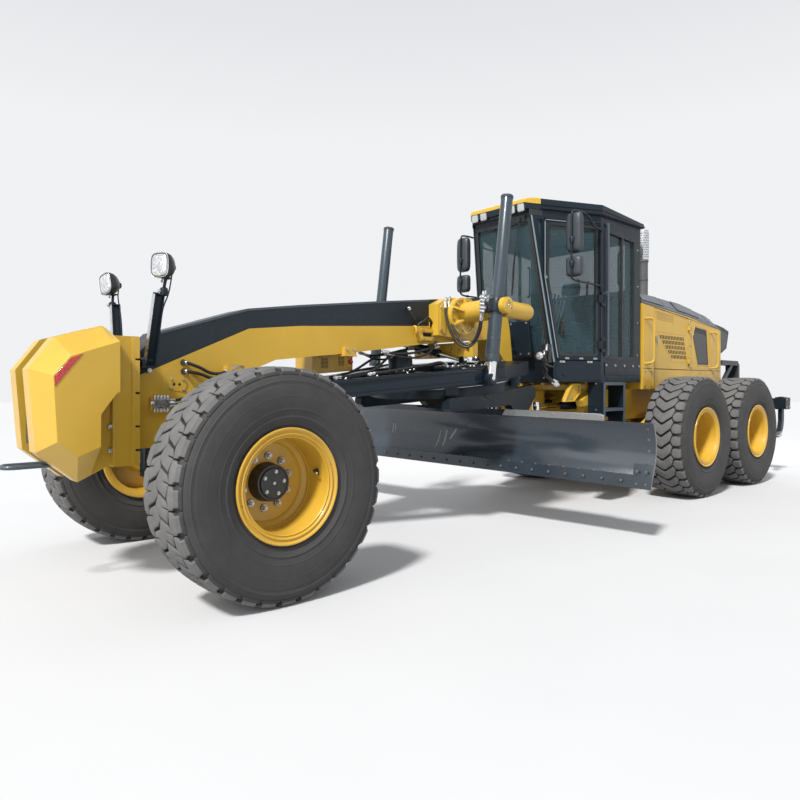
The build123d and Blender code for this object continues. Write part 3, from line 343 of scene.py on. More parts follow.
# ------------------------------------------------------------ mesh building
class Part:
    """Gathers shapes into one mesh object of one material on one body."""

    def __init__(self, name, mat, body):
        self.name, self.mat, self.body = name, mat, body
        self.v, self.f = [], []

    def add(self, verts, faces):
        k = len(self.v)
        self.v += [tuple(p) for p in verts]
        self.f += [tuple(i + k for i in f) for f in faces]

    def done(self, smooth=35.0, bevel=0.0, segs=2, replaces=()):
        me = bpy.data.meshes.new(self.name)
        me.from_pydata(self.v, [], self.f)
        bm = bmesh.new()
        bm.from_mesh(me)
        bmesh.ops.recalc_face_normals(bm, faces=bm.faces)
        bm.to_mesh(me)
        bm.free()
        o = bpy.data.objects.new(self.name, me)
        SCENE.collection.objects.link(o)
        me.materials.append(M[self.mat])
        finish_mesh(o, smooth, bevel, segs)
        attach(o, self.body)
        if replaces:
            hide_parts(*replaces)
        return o

    # shapes ---------------------------------------------------------------
    def box(self, x0, x1, s0, s1, z0, z1):
        self.frame_box(S(0, 0, 0), (Vector((1, 0, 0)), Vector((0, 1, 0)), Vector((0, 0, 1))), (x0, s0, z0), (x1, s1, z1))

    def frame_box(self, o, ax, lo, hi):
        c = [(a, b, d) for a in (lo[0], hi[0]) for b in (lo[1], hi[1]) for d in (lo[2], hi[2])]
        vs = [o + ax[0] * a + ax[1] * b + ax[2] * d for a, b, d in c]
        self.add(vs, [(0, 1, 3, 2), (4, 6, 7, 5), (0, 4, 5, 1), (2, 3, 7, 6), (0, 2, 6, 4), (1, 5, 7, 3)])

    def prism(self, o, ax, outline, h0, h1):
        """Outline in the first two axes, carried along the third."""
        n = len(outline)
        lo = [o + ax[0] * a + ax[1] * b + ax[2] * h0 for a, b in outline]
        hi = [o + ax[0] * a + ax[1] * b + ax[2] * h1 for a, b in outline]
        self.add(lo + hi, [tuple(range(n))[::-1], tuple(range(n, 2 * n))] + [(i, (i + 1) % n, n + (i + 1) % n, n + i) for i in range(n)])

    def side(self, outline, x0, x1):
        self.prism(S(0, 0, 0), (Vector((0, 1, 0)), Vector((0, 0, 1)), Vector((1, 0, 0))), outline, x0, x1)

    def cyl(self, a, b, r, r2=None, n=24):
        a, b = Vector(a), Vector(b)
        r2 = r if r2 is None else r2
        d = (b - a).normalized()
        u = d.orthogonal().normalized()
        w = d.cross(u)
        ring = [(math.cos(2 * math.pi * i / n), math.sin(2 * math.pi * i / n)) for i in range(n)]
        vs = [a + (u * c + w * s) * r for c, s in ring] + [b + (u * c + w * s) * r2 for c, s in ring]
        self.add(vs, [tuple(range(n))[::-1], tuple(range(n, 2 * n))] + [(i, (i + 1) % n, n + (i + 1) % n, n + i) for i in range(n)])

    def lathe(self, o, axis, profile, n=48, closed=False):
        """(distance along the axis, radius) profile turned round it."""
        o, d = Vector(o), Vector(axis).normalized()
        u = d.orthogonal().normalized()
        w = d.cross(u)
        vs, rings = [], []
        for t, r in profile:
            if r < 1e-6:
                rings.append([len(vs)])
                vs.append(o + d * t)
                continue
            rings.append(list(range(len(vs), len(vs) + n)))
            for i in range(n):
                a = 2 * math.pi * i / n
                vs.append(o + d * t + (u * math.cos(a) + w * math.sin(a)) * r)
        fs = []
        m = len(profile)
        for j in range(m if closed else m - 1):
            a, b = rings[j], rings[(j + 1) % m]
            if len(a) == 1 and len(b) == 1:
                continue
            for i in range(n):
                k = (i + 1) % n
                if len(a) == 1:
                    fs.append((a[0], b[k], b[i]))
                elif len(b) == 1:
                    fs.append((a[i], a[k], b[0]))
                else:
                    fs.append((a[i], a[k], b[k], b[i]))
        if not closed:
            for ring in (rings[0], rings[-1]):
                if len(ring) > 1:
                    fs.append(tuple(ring))
        self.add(vs, fs)

    def hexbolt(self, p, d, r=0.012, h=0.010, washer=True):
        p, d = Vector(p), Vector(d).normalized()
        if washer:
            self.cyl(p, p + d * 0.003, r * 1.45, n=16)
        self.cyl(p + d * 0.002, p + d * (0.002 + h * 0.75), r, n=6)
        self.cyl(p + d * (0.002 + h * 0.75), p + d * (0.002 + h), r, r * 0.82, n=6)

    def tube(self, pts, r, n=10, per=8, smooth=True, closed=False):
        """Round tube along a smooth line through the points."""
        pts = [Vector(p) for p in pts]
        if smooth and len(pts) > 2:
            line = []
            m = len(pts)
            for i in range(m - 1):
                p0, p1, p2, p3 = pts[max(i - 1, 0)], pts[i], pts[i + 1], pts[min(i + 2, m - 1)]
                for k in range(per):
                    t = k / per
                    line.append(0.5 * ((2 * p1) + (p2 - p0) * t + (2 * p0 - 5 * p1 + 4 * p2 - p3) * t * t + (3 * p1 - p0 - 3 * p2 + p3) * t ** 3))
            line.append(pts[-1])
        else:
            line = pts
        up = None
        vs, fs = [], []
        for i, p in enumerate(line):
            a, b = line[max(i - 1, 0)], line[min(i + 1, len(line) - 1)]
            d = (b - a).normalized()
            up = (up - d * up.dot(d)).normalized() if up is not None else d.orthogonal().normalized()
            w = d.cross(up)
            for k in range(n):
                t = 2 * math.pi * k / n
                vs.append(p + (up * math.cos(t) + w * math.sin(t)) * r)
        m = len(line)
        for j in range(m - 1):
            for k in range(n):
                fs.append((j * n + k, j * n + (k + 1) % n, (j + 1) * n + (k + 1) % n, (j + 1) * n + k))
        fs.append(tuple(range(n))[::-1])
        fs.append(tuple((m - 1) * n + k for k in range(n)))
        self.add(vs, fs)


def finish_mesh(o, smooth=35.0, bevel=0.0, segs=2):
    me = o.data
    if bevel:
        b = o.modifiers.new("edges", "BEVEL")
        b.width, b.segments, b.limit_method, b.angle_limit = bevel, segs, "ANGLE", math.radians(30)
        b.harden_normals = False
    me.polygons.foreach_set("use_smooth", [True] * len(me.polygons))
    me.set_sharp_from_angle(angle=math.radians(smooth))


# --------------------------------------------------------------- CAD nodes
CAD_MAT = {
    "yellow": ["front_weight", "lift_saddle", "side_box", "rear_frame", "tandem_axle", "engine_hood", "engine_door_left", "engine_door_right"],
    "neck": ["gooseneck"],
    "navy": ["cab_shell", "cab_roof", "boarding_steps", "drawbar", "circle", "headlights", "front_axle",
             "knuckle_left", "knuckle_right", "tie_rod", "blade_carrier", "tip_barrel", "shift_barrel", "ripper_links", "ripper_beam",
             "ripper_barrel", "articulation_barrel_left", "articulation_barrel_right", "cab_door_left", "cab_door_right"],
    "cover": ["hood_cover"],
    "lift": ["lift_barrels"],
    "chrome": ["lift_rods", "shift_rod", "tip_rod", "ripper_rod", "articulation_rod_left", "articulation_rod_right"],
    "black": ["mirror_left", "mirror_right", "control_console"],
    "dark": ["radiator_guard"],
    "glass": ["cab_glass", "door_glass_left", "door_glass_right"],
    "cloth": ["driver_seat"],
    "blade": ["moldboard"],
    "cast": ["engine_block"],
    "exhaust": ["exhaust_stack"],
}
WHEELS = [("front_left", 1, 0.0), ("front_right", -1, 0.0), ("middle_left", 1, 5.995), ("middle_right", -1, 5.995), ("rear_left", 1, 7.645), ("rear_right", -1, 7.645)]
CAD_MAT["yellow_rim"] = ["rim_" + w[0] for w in WHEELS]
CAD_MAT["tyre"] = ["tyre_" + w[0] for w in WHEELS]
for m, names in CAD_MAT.items():
    for n in names:
        o = NODES[n]
        o.data.materials.clear()
        o.data.materials.append(M[m])
        w = o.modifiers.new("weld", "WELD")
        w.merge_threshold = 0.00005
        if not n.startswith(("tyre", "rim")) and "glass" not in n:
            b = o.modifiers.new("edges", "BEVEL")
            b.width, b.segments, b.limit_method, b.angle_limit = 0.005, 2, "ANGLE", math.radians(32)

# ------------------------------------------------------------------- tyres
R0, WX = 0.745, 1.1725


def arc3(a, b, c, n):
    """Points on the circle through three (x, r) points."""
    (ax, ay), (bx, by), (cx, cy) = a, b, c
    d = 2 * (ax * (by - cy) + bx * (cy - ay) + cx * (ay - by))
    ux = ((ax ** 2 + ay ** 2) * (by - cy) + (bx ** 2 + by ** 2) * (cy - ay) + (cx ** 2 + cy ** 2) * (ay - by)) / d
    uy = ((ax ** 2 + ay ** 2) * (cx - bx) + (bx ** 2 + by ** 2) * (ax - cx) + (cx ** 2 + cy ** 2) * (bx - ax)) / d
    r = math.hypot(ax - ux, ay - uy)
    t0, t1, t2 = (math.atan2(p[1] - uy, p[0] - ux) for p in (a, b, c))
    while t1 - t0 > math.pi:
        t1 -= 2 * math.pi
    while t1 - t0 < -math.pi:
        t1 += 2 * math.pi
    while t2 - t1 > math.pi:
        t2 -= 2 * math.pi
    while t2 - t1 < -math.pi:
        t2 += 2 * math.pi
    return [(ux + r * math.cos(t0 + (t2 - t0) * i / n), uy + r * math.sin(t0 + (t2 - t0) * i / n)) for i in range(n + 1)]


HALF = [(x, r) for x, r in arc3((-0.212, 0.735), (0, 0.745), (0.212, 0.735), 24) if x >= -1e-9]
HALF += [(0.225, 0.7115), (0.238, 0.688)]
HALF += arc3((0.238, 0.688), (0.262, 0.545), (0.212, 0.368), 26)[1:]
LEN = [0.0]
for p, q in zip(HALF, HALF[1:]):
    LEN.append(LEN[-1] + math.dist(p, q))


def on_profile(u, h=0.0):
    """(x, r) at distance u round the outer skin from the crown, h inside it."""
    s, t = (1 if u >= 0 else -1), abs(u)
    i = 0
    while i < len(LEN) - 2 and LEN[i + 1] < t:
        i += 1
    f = (t - LEN[i]) / (LEN[i + 1] - LEN[i])
    (ax, ay), (bx, by) = HALF[i], HALF[i + 1]
    k = max(i - 1, 0)
    # normal from a wider chord, so that it turns smoothly
    (px, py), (qx, qy) = HALF[k], HALF[min(i + 2, len(HALF) - 1)]
    dx, dy = qx - px, qy - py
    if i == 0:
        dx, dy = 1, 0
    L = math.hypot(dx, dy)
    nx, ny = -dy / L, dx / L
    if ny < 0 and nx < 0:
        nx, ny = -nx, -ny
    x, r = ax + f * (bx - ax), ay + f * (by - ay)
    return s * (x - nx * h * -1 * -1), r - ny * h


def base_depth(u):
    t = abs(u)
    if t < 0.20:
        return 0.030
    if t < 0.275:
        return 0.030 * (1 - (t - 0.20) / 0.075) + 0.001
    return 0.0


def lug_sheet(outline, P, bev=0.006, deep=None):
    """A lug built flat in (u, v, height), then cut on lines so that it can bend round the tyre."""
    n = len(outline)
    area = sum(a[0] * b[1] - b[0] * a[1] for a, b in zip(outline, outline[1:] + outline[:1]))
    if area < 0:
        outline = outline[::-1]

    def inset(d):
        out = []
        for i in range(n):
            a, b, c = Vector(outline[i - 1]), Vector(outline[i]), Vector(outline[(i + 1) % n])
            e1, e2 = (b - a).normalized(), (c - b).normalized()
            n1, n2 = Vector((-e1.y, e1.x)), Vector((-e2.y, e2.x))
            m = (n1 + n2).normalized()
            out.append(b + m * (d / max(0.45, m.dot(n1))))
        return out
    bm = bmesh.new()
    rings = []
    for d, h in ((bev, 0.0), (bev * 0.35, -bev * 0.3), (0.0, -bev), (-0.004, -0.040)):
        rings.append([bm.verts.new((p[0], p[1], h)) for p in inset(d)])
    bm.faces.new(rings[0])
    for r0, r1 in zip(rings, rings[1:]):
        for i in range(n):
            bm.faces.new((r1[i], r1[(i + 1) % n], r0[(i + 1) % n], r0[i]))
    us = [-0.265, -0.2386, -0.2125, -0.18, -0.14, -0.09, -0.045, 0, 0.045, 0.09, 0.14, 0.18, 0.2125, 0.2386, 0.265]
    for u in us:
        bmesh.ops.bisect_plane(bm, geom=bm.verts[:] + bm.edges[:] + bm.faces[:], plane_co=(u, 0, 0), plane_no=(1, 0, 0))
    for k in range(-6, 7):
        bmesh.ops.bisect_plane(bm, geom=bm.verts[:] + bm.edges[:] + bm.faces[:], plane_co=(0, k * P / 4, 0), plane_no=(0, 1, 0))
    bm.verts.index_update()
    vs = [tuple(v.co) for v in bm.verts]
    fs = [tuple(v.index for v in f.verts) for f in bm.faces]
    bm.free()
    return vs, fs


def tyre(name, s, sta, style):
    part = Part("tyre_tread_" + name, "tyre", "wheel_" + name)
    o = S(s * WX, sta, R0)
    N = 32
    P = 2 * math.pi * R0 / N
    H = P / 2
    lugs = []
    if style == "block":
        sh = [(0.262, -(H - 0.004)), (0.247, -(H - 0.004)), (0.236, -(H - 0.022)), (0.208, -(H - 0.022)), (0.192, -(H - 0.006)), (0.150, -(H - 0.005)), (0.134, 0.0)]
        sh += [(u, -v) for u, v in reversed(sh[:-1])]
        tilt = 0.020
        mi = [(-0.026, 0.0), (0.030, -(H - 0.010 - tilt)), (0.042, -(H - 0.011 - tilt * 0.8)), (0.118, -(H - 0.009 + tilt * 0.6)),
              (0.144, -0.012), (0.144, 0.002), (0.078, 0.010), (0.078, 0.015), (0.143, 0.009), (0.143, 0.014),
              (0.118, (H - 0.009 - tilt * 0.6)), (0.042, (H - 0.011 + tilt * 0.8)), (0.030, (H - 0.010 + tilt))]
        lugs = [(sh, 0.0, 1), (mi, H, 1), ([(-a, b) for a, b in sh], H, 1), ([(-a, b) for a, b in mi], 0.0, 1)]
    else:
        def vc(u):
            return -0.045 + 0.10 * abs(u) / 0.13
        up = [(u, vc(u) + 0.058) for u in (0.110, 0.055, 0.012, -0.012, -0.055, -0.110)]
        dn = [(u, vc(u) - 0.058) for u in (-0.110, -0.055, -0.012, 0.012, 0.055, 0.110)]
        ch = [(0.136, 0.058)] + up + [(-0.136, 0.058)] + dn
        c = 0.055 + H
        sh = [(0.118, c), (0.140, c - 0.052), (0.185, c - 0.060), (0.215, c - 0.050), (0.262, c - 0.050), (0.262, c + 0.050), (0.215, c + 0.050), (0.185, c + 0.060), (0.140, c + 0.052)]
        lugs = [(ch, 0.0, 1), (sh, 0.0, 1), ([(-u, v) for u, v in sh], 0.0, 1)]
    flat = [(lug_sheet(q, P), off) for q, off, _ in lugs]
    top = []
    for k in range(N):
        for (vs, fs), off in flat:
            pts = []
            for u, v, hgt in vs:
                # a lug stands on the carcass: deeper than the carcass is not needed
                d = min(-hgt, base_depth(u) + 0.002) if abs(u) < 0.275 else 0.0
                x, r = on_profile(u, d)
                th = (v + off) / R0 + 2 * math.pi * k / N
                # angle grows from straight down on the front side of the tyre, upwards
                pts.append(o + Vector((s * x, -r * math.sin(th), -r * math.cos(th))))
            k0 = len(part.f)
            part.add(pts, fs)
            top += [k0 + i for i, f in enumerate(fs) if max(-vs[j][2] for j in f) < 0.012 and abs(sum(vs[j][0] for j in f) / len(f)) < 0.228]
    # carcass with the sidewall's rings
    prof = []
    us = [0, 0.05, 0.1, 0.15, 0.19, 0.215, 0.235, 0.255, 0.275]
    for u in us:
        prof.append(on_profile(u, base_depth(u)))
    side_pts = HALF[[i for i, l in enumerate(LEN) if l > 0.285][0]:]
    extra = []
    rings = [(0.652, 0.0035, 0.004), (0.632, -0.002, 0.004), (0.560, 0.002, 0.0035), (0.478, 0.0022, 0.0035), (0.428, 0.006, 0.008), (0.400, -0.004, 0.005), (0.384, 0.003, 0.004)]
    rs = sorted({round(0.66 - 0.004 * i, 4) for i in range(72)}, reverse=True)

    def x_at(r):
        for (ax, ay), (bx, by) in zip(HALF, HALF[1:]):
            if by <= r <= ay:
                return ax + (bx - ax) * (ay - r) / (ay - by)
        return HALF[-1][0]
    for r in rs:
        if r < 0.369:
            continue
        x = x_at(r) - 0.002
        for rc, amp, w in rings:
            q = abs(r - rc) / w
            if q < 1.2:
                x += amp * (1 if q < 0.7 else max(0, (1.2 - q) / 0.5)) * 1.1
        x = min(x, 0.2615)
        extra.append((x, r))
    prof += extra
    prof.append((0.212, 0.368))
    prof.append((0.208, 0.330))
    full = [(-x, r) for x, r in reversed(prof)] + prof[1:]
    seg = 112
    vs = []
    for x, r in full:
        for i in range(seg):
            a = 2 * math.pi * i / seg
            vs.append(o + Vector((s * x, -r * math.sin(a), -r * math.cos(a))))
    fs = []
    for j in range(len(full) - 1):
        for i in range(seg):
            fs.append((j * seg + i, j * seg + (i + 1) % seg, (j + 1) * seg + (i + 1) % seg, (j + 1) * seg + i))
    part.add(vs, fs)
    ob = part.done(smooth=50, replaces=("tyre_" + name,))
    ob.data.materials.append(M["tread"])
    for i in top:
        ob.data.polygons[i].material_index = 1
    return ob


for name, s, sta in WHEELS:
    tyre(name, s, sta, "block" if sta == 0 else "chevron")

# ------------------------------------------------------------ small helpers
AX, AY, AZ = Vector((1, 0, 0)), Vector((0, 1, 0)), Vector((0, 0, 1))


def inset_poly(pts, d):
    n = len(pts)
    area2 = sum(a[0] * b[1] - b[0] * a[1] for a, b in zip(pts, pts[1:] + pts[:1]))
    sgn = 1 if area2 > 0 else -1
    out = []
    for i in range(n):
        a, b, c = Vector(pts[i - 1]), Vector(pts[i]), Vector(pts[(i + 1) % n])
        e1, e2 = (b - a).normalized(), (c - b).normalized()
        n1, n2 = Vector((-e1.y, e1.x)) * sgn, Vector((-e2.y, e2.x)) * sgn
        m = (n1 + n2).normalized()
        q = b + m * (d / max(0.35, m.dot(n1)))
        out.append((q.x, q.y))
    return out


def strip(part, o, ax, outline, width, h0, h1):
    """A frame as wide as width inside the outline, from h0 to h1."""
    inner = inset_poly(outline, width)
    n = len(outline)
    rings = [(outline, h0), (outline, h1), (inner, h1), (inner, h0)]
    vs = [o + ax[0] * a + ax[1] * b + ax[2] * h for line, h in rings for a, b in line]
    fs = []
    for k in range(4):
        m = (k + 1) % 4
        for i in range(n):
            j = (i + 1) % n
            fs.append((k * n + i, k * n + j, m * n + j, m * n + i))
    part.add(vs, fs)


def rounded(outline, r, n=5):
    """The outline with its corners rounded to about r."""
    out = []
    m = len(outline)
    for i in range(m):
        a, b, c = Vector(outline[i - 1]), Vector(outline[i]), Vector(outline[(i + 1) % m])
        u, w = (a - b), (c - b)
        k = min(r, u.length * 0.45, w.length * 0.45)
        p, q = b + u.normalized() * k, b + w.normalized() * k
        for j in range(n + 1):
            t = j / n
            x = p * (1 - t) ** 2 + b * 2 * t * (1 - t) + q * t * t
            out.append((x.x, x.y))
    return out


def loft(part, rings, cap=True):
    """Rings of equally many points joined one after another."""
    n = len(rings[0])
    vs = [p for r in rings for p in r]
    fs = []
    for k in range(len(rings) - 1):
        for i in range(n):
            j = (i + 1) % n
            fs.append((k * n + i, k * n + j, (k + 1) * n + j, (k + 1) * n + i))
    if cap:
        fs.append(tuple(range(n))[::-1])
        m = (len(rings) - 1) * n
        fs.append(tuple(range(m, m + n)))
    part.add(vs, fs)


def squircle(o, u, w, a, b, p=3.4, n=32):
    out = []
    for i in range(n):
        t = 2 * math.pi * i / n
        c, s = math.cos(t), math.sin(t)
        out.append(o + u * (a * math.copysign(abs(c) ** (2 / p), c)) + w * (b * math.copysign(abs(s) ** (2 / p), s)))
    return out


def ringed(o, d, r, seq, n=24):
    """Profile helper: seq of (distance, radius factor), scaled by r; d is not used."""
    return [(t, r * k) for t, k in seq]


def hose(part, ends, pts, r=0.013, per=8):
    """A hose with a crimped sleeve and a hexagon nut at both ends."""
    part.tube(pts, r, n=10, per=per)
    for p, q in ((Vector(pts[0]), Vector(pts[1])), (Vector(pts[-1]), Vector(pts[-2]))):
        d = (q - p).normalized()
        ends.lathe(p, d, [(-0.004, r * 1.05), (0.0, r * 1.28), (0.012, r * 1.30), (0.014, r * 1.18), (0.026, r * 1.22), (0.029, r * 1.32), (0.038, r * 1.32), (0.043, r * 1.04)], 14)
        ends.cyl(p - d * 0.022, p - d * 0.002, r * 1.5, n=6)
        ends.cyl(p - d * 0.034, p - d * 0.020, r * 0.85, n=12)


def add_slot(o, mat, test):
    """A second material on the faces of a CAD node that pass the test."""
    o.data.materials.append(M[mat])
    k = len(o.data.materials) - 1
    for f in o.data.polygons:
        if test(f.center, f.normal):
            f.material_index = k


# ---------------------------------------------------------- rims and hubs
RIM_OUT = [(0.212, 0.3175), (0.2118, 0.352), (0.2155, 0.3600), (0.222, 0.3640), (0.229, 0.3650), (0.2345, 0.3625), (0.2362, 0.3570), (0.2345, 0.3515), (0.2290, 0.3470),
           (0.2235, 0.3420), (0.2205, 0.3375), (0.2200, 0.3335), (0.2225, 0.3305), (0.2275, 0.3285), (0.2300, 0.3250), (0.2285, 0.3210), (0.2240, 0.3185),
           (0.2185, 0.3165), (0.2160, 0.3135), (0.2165, 0.3100), (0.2200, 0.3065), (0.2210, 0.3035), (0.2185, 0.3005), (0.2120, 0.2985), (0.2000, 0.2970), (0.120, 0.292)]
RIM_FRONT = RIM_OUT + [(0.000, 0.2905), (-0.012, 0.2895), (-0.018, 0.2860), (-0.030, 0.2700), (-0.040, 0.2580), (-0.046, 0.2550), (-0.050, 0.2520), (-0.0565, 0.2000), (-0.0595, 0.1600), (-0.060, 0.1280), (-0.030, 0.120), (0.0, 0.112), (0.0, 0.0)]
RIM_REAR = RIM_OUT + [(-0.005, 0.2905), (-0.018, 0.2885), (-0.030, 0.2810), (-0.037, 0.2700), (-0.0400, 0.2550), (-0.0480, 0.2100), (-0.0550, 0.1620), (-0.0560, 0.1300), (-0.0540, 0.1220),
                      (-0.0400, 0.1140), (-0.0280, 0.1060), (-0.0250, 0.0980), (-0.0250, 0.0600), (-0.0240, 0.0)]
RIM_IN = [(-0.046, 0.0), (-0.046, 0.056), (-0.150, 0.056), (-0.150, 0.120), (-0.095, 0.150), (-0.075, 0.292), (-0.222, 0.300), (-0.230, 0.320), (-0.236, 0.338), (-0.2362, 0.357), (-0.229, 0.365), (-0.2155, 0.360), (-0.212, 0.352), (-0.212, 0.3175)]
for name, s, sta in WHEELS:
    o, d, body = S(s * WX, sta, R0), AX * s, "wheel_" + name
    p = Part("wheel_rim_" + name, "yellow_rim", body)
    p.lathe(o, d, (RIM_FRONT if sta == 0 else RIM_REAR) + RIM_IN, n=96, closed=True)
    # weld bead where the disc meets the barrel
    p.lathe(o, d, [(-0.004, 0.2925), (0.002, 0.2885), (0.008, 0.2880), (0.011, 0.2925)], n=96, closed=True)
    p.done(smooth=38, replaces=("rim_" + name,))
    b = Part("wheel_bolts_" + name, "zinc", body)
    k = Part("wheel_hub_" + name, "hub_black", body)
    if sta == 0:
        k.lathe(o, d, [(-0.060, 0.1285), (-0.012, 0.1225), (0.028, 0.1185), (0.036, 0.1150), (0.038, 0.1110), (0.0375, 0.1040), (0.0335, 0.1015), (0.0335, 0.0975), (0.0445, 0.0940), (0.0455, 0.0900), (0.0455, 0.0)], n=64)
        for i in range(10):
            a = 2 * math.pi * (i + 0.35) / 10
            q = AY * math.cos(a) + AZ * math.sin(a)
            c = o + q * 0.170 - d * 0.0585
            k.cyl(c, c + d * 0.004, 0.026, n=20)
            b.cyl(c + d * 0.003, c + d * 0.007, 0.0235, n=20)
            b.cyl(c + d * 0.006, c + d * 0.026, 0.0185, n=6)
            b.lathe(c, d, [(0.026, 0.0125), (0.036, 0.0125), (0.038, 0.010), (0.038, 0.0)], 12)
        for i in range(5):
            a = 2 * math.pi * (i + 0.1) / 5
            c = o + (AY * math.cos(a) + AZ * math.sin(a)) * 0.074 + d * 0.0455
            b.cyl(c, c + d * 0.0015, 0.0125, n=16)
            b.cyl(c + d * 0.001, c + d * 0.008, 0.0095, n=6)
        b.cyl(o + d * 0.0455, o + d * 0.0505, 0.011, n=6)
        # small rivets on the rim flange
        for a in (195, 20):
            a = math.radians(a)
            c = o + (AY * math.cos(a) + AZ * math.sin(a)) * 0.330 + d * 0.219
            k.cyl(c, c + d * 0.004, 0.006, n=10)
    else:
        k.lathe(o, d, [(-0.026, 0.030), (-0.0215, 0.028), (-0.0215, 0.0)], n=24)
        for i in range(10):
            a = 2 * math.pi * (i + 0.35) / 10
            q = AY * math.cos(a) + AZ * math.sin(a)
            c = o + q * 0.140 - d * 0.0562
            b.cyl(c, c + d * 0.002, 0.0175, n=16)
            b.cyl(c + d * 0.001, c + d * 0.011, 0.0125, n=6)
    # tyre valve on its stem, with the pressed pocket behind it drawn as a black plate of painted shade
    for a in ((12,) if sta == 0 else (75,)):
        a = math.radians(a)
        q, t = AY * math.cos(a) + AZ * math.sin(a), -AY * math.sin(a) + AZ * math.cos(a)
        c = o + q * 0.2885 + d * 0.105
        # black triangle on the barrel: painted shade of the pressed pocket
        k.prism(c, (d, t, -q), [(-0.040, 0.002), (0.026, 0.024), (0.026, -0.024)], 0.0, 0.004)
        b.tube([c - q * 0.002, c - q * 0.020 + d * 0.004, c - q * 0.030 + d * 0.020, c - q * 0.032 + d * 0.045], 0.0045, n=8, per=4)
        b.lathe(c - q * 0.032 + d * 0.040, d, [(0, 0.0065), (0.016, 0.0065), (0.018, 0.005), (0.018, 0.0)], 10)
    k.done(smooth=35, bevel=0.0)
    b.done(smooth=30)

# ----------------------------------------------------- nose weight, flange
p = Part("weight_reflectors", "red", "front_frame")
for s in (1, -1):
    p.prism(S(0, 0, 0), (AY, AZ, AX), [(-1.0855, 1.4235), (-0.990, 1.540), (-0.920, 1.568), (-1.0815, 1.362)], s * 0.4495, s * 0.4535)
p.done(bevel=0.001)

p = Part("nose_core_ribs", "dark", "front_frame")
for z0, z1 in ((0.985, 1.155), (1.175, 1.285), (1.305, 1.435)):
    for x in (-0.052, 0.018):
        p.box(x, x + 0.034, -1.128, -1.09, z0, z1)
p.box(-0.090, -0.070, -1.124, -1.085, 0.98, 1.448)
p.box(0.070, 0.090, -1.124, -1.085, 0.98, 1.448)
p.done(bevel=0.003)
p = Part("nose_core_bolts", "zinc", "front_frame")
sl = Vector((0, -0.8, 0.6))
for t in (0.08, 0.30, 0.52, 0.74, 0.95):
    for x in (-0.045, 0.045):
        c = S(x, -1.120 + 0.135 * t, 1.450 + 0.180 * t)
        p.hexbolt(c, sl, 0.013, 0.016)
for t in (0.15, 0.4, 0.65, 0.9):
    p.hexbolt(S(0.0, -0.985 + 0.285 * t, 1.630 + 0.085 * t), Vector((0, -0.286, 0.958)), 0.013, 0.016)
for z in (1.165, 1.295):
    p.hexbolt(S(0, -1.112, z), -AY, 0.012, 0.014)
# front bolts of the nose flange, in the recess behind each weight
for s in (1, -1):
    for z in (1.092, 0.932):
        p.hexbolt(S(s * 0.283, -0.690, z), -AY, 0.016, 0.022)
p.done(smooth=30)
add_slot(NODES["gooseneck"], "dark", lambda c, n: c.y < STA0 - 0.6905 and abs(c.x) < 0.0985 and c.z > 0.86)
add_slot(NODES["gooseneck"], "navy_light", lambda c, n: c.y < STA0 - 0.70 and abs(c.x) < 0.12 and c.z <= 0.86)

p = Part("nose_flange_lips", "yellow", "front_frame")
# black plates at the bottom of the flange's slots, painted as the shade inside the slots
q = Part("nose_flange_slots", "void", "front_frame")
for s in (1, -1):
    out = [(-0.562, 0.835), (-0.562, 1.690)]
    for z in (1.547, 1.316, 1.087, 0.924):
        out += [(-0.5085, z + 0.007), (-0.540, z + 0.007), (-0.540, z - 0.007), (-0.5085, z - 0.007)]
        q.prism(S(0, 0, 0), (AY, AZ, AX), [(-0.5405, z - 0.0068), (-0.5405, z + 0.0068), (-0.5095, z + 0.0068), (-0.5095, z - 0.0068)], s * 0.2990, s * 0.3012)
    out.insert(2, (-0.5085, 1.690))
    out.append((-0.5085, 0.835))
    p.prism(S(0, 0, 0), (AY, AZ, AX), out, s * 0.2995, s * 0.3075)
    p.prism(S(0, 0, 0), (AY, AZ, AX), [(-0.6895, 0.835), (-0.672, 0.835), (-0.672, 1.538), (-0.660, 1.538), (-0.660, 1.555), (-0.672, 1.555), (-0.672, 1.690), (-0.6895, 1.690)], s * 0.2995, s * 0.3050)
    q.prism(S(0, 0, 0), (AY, AZ, AX), [(-0.672, 1.5385), (-0.6415, 1.5385), (-0.6415, 1.5545), (-0.672, 1.5545)], s * 0.2990, s * 0.3012)
p.done(bevel=0.0015)
q.done()

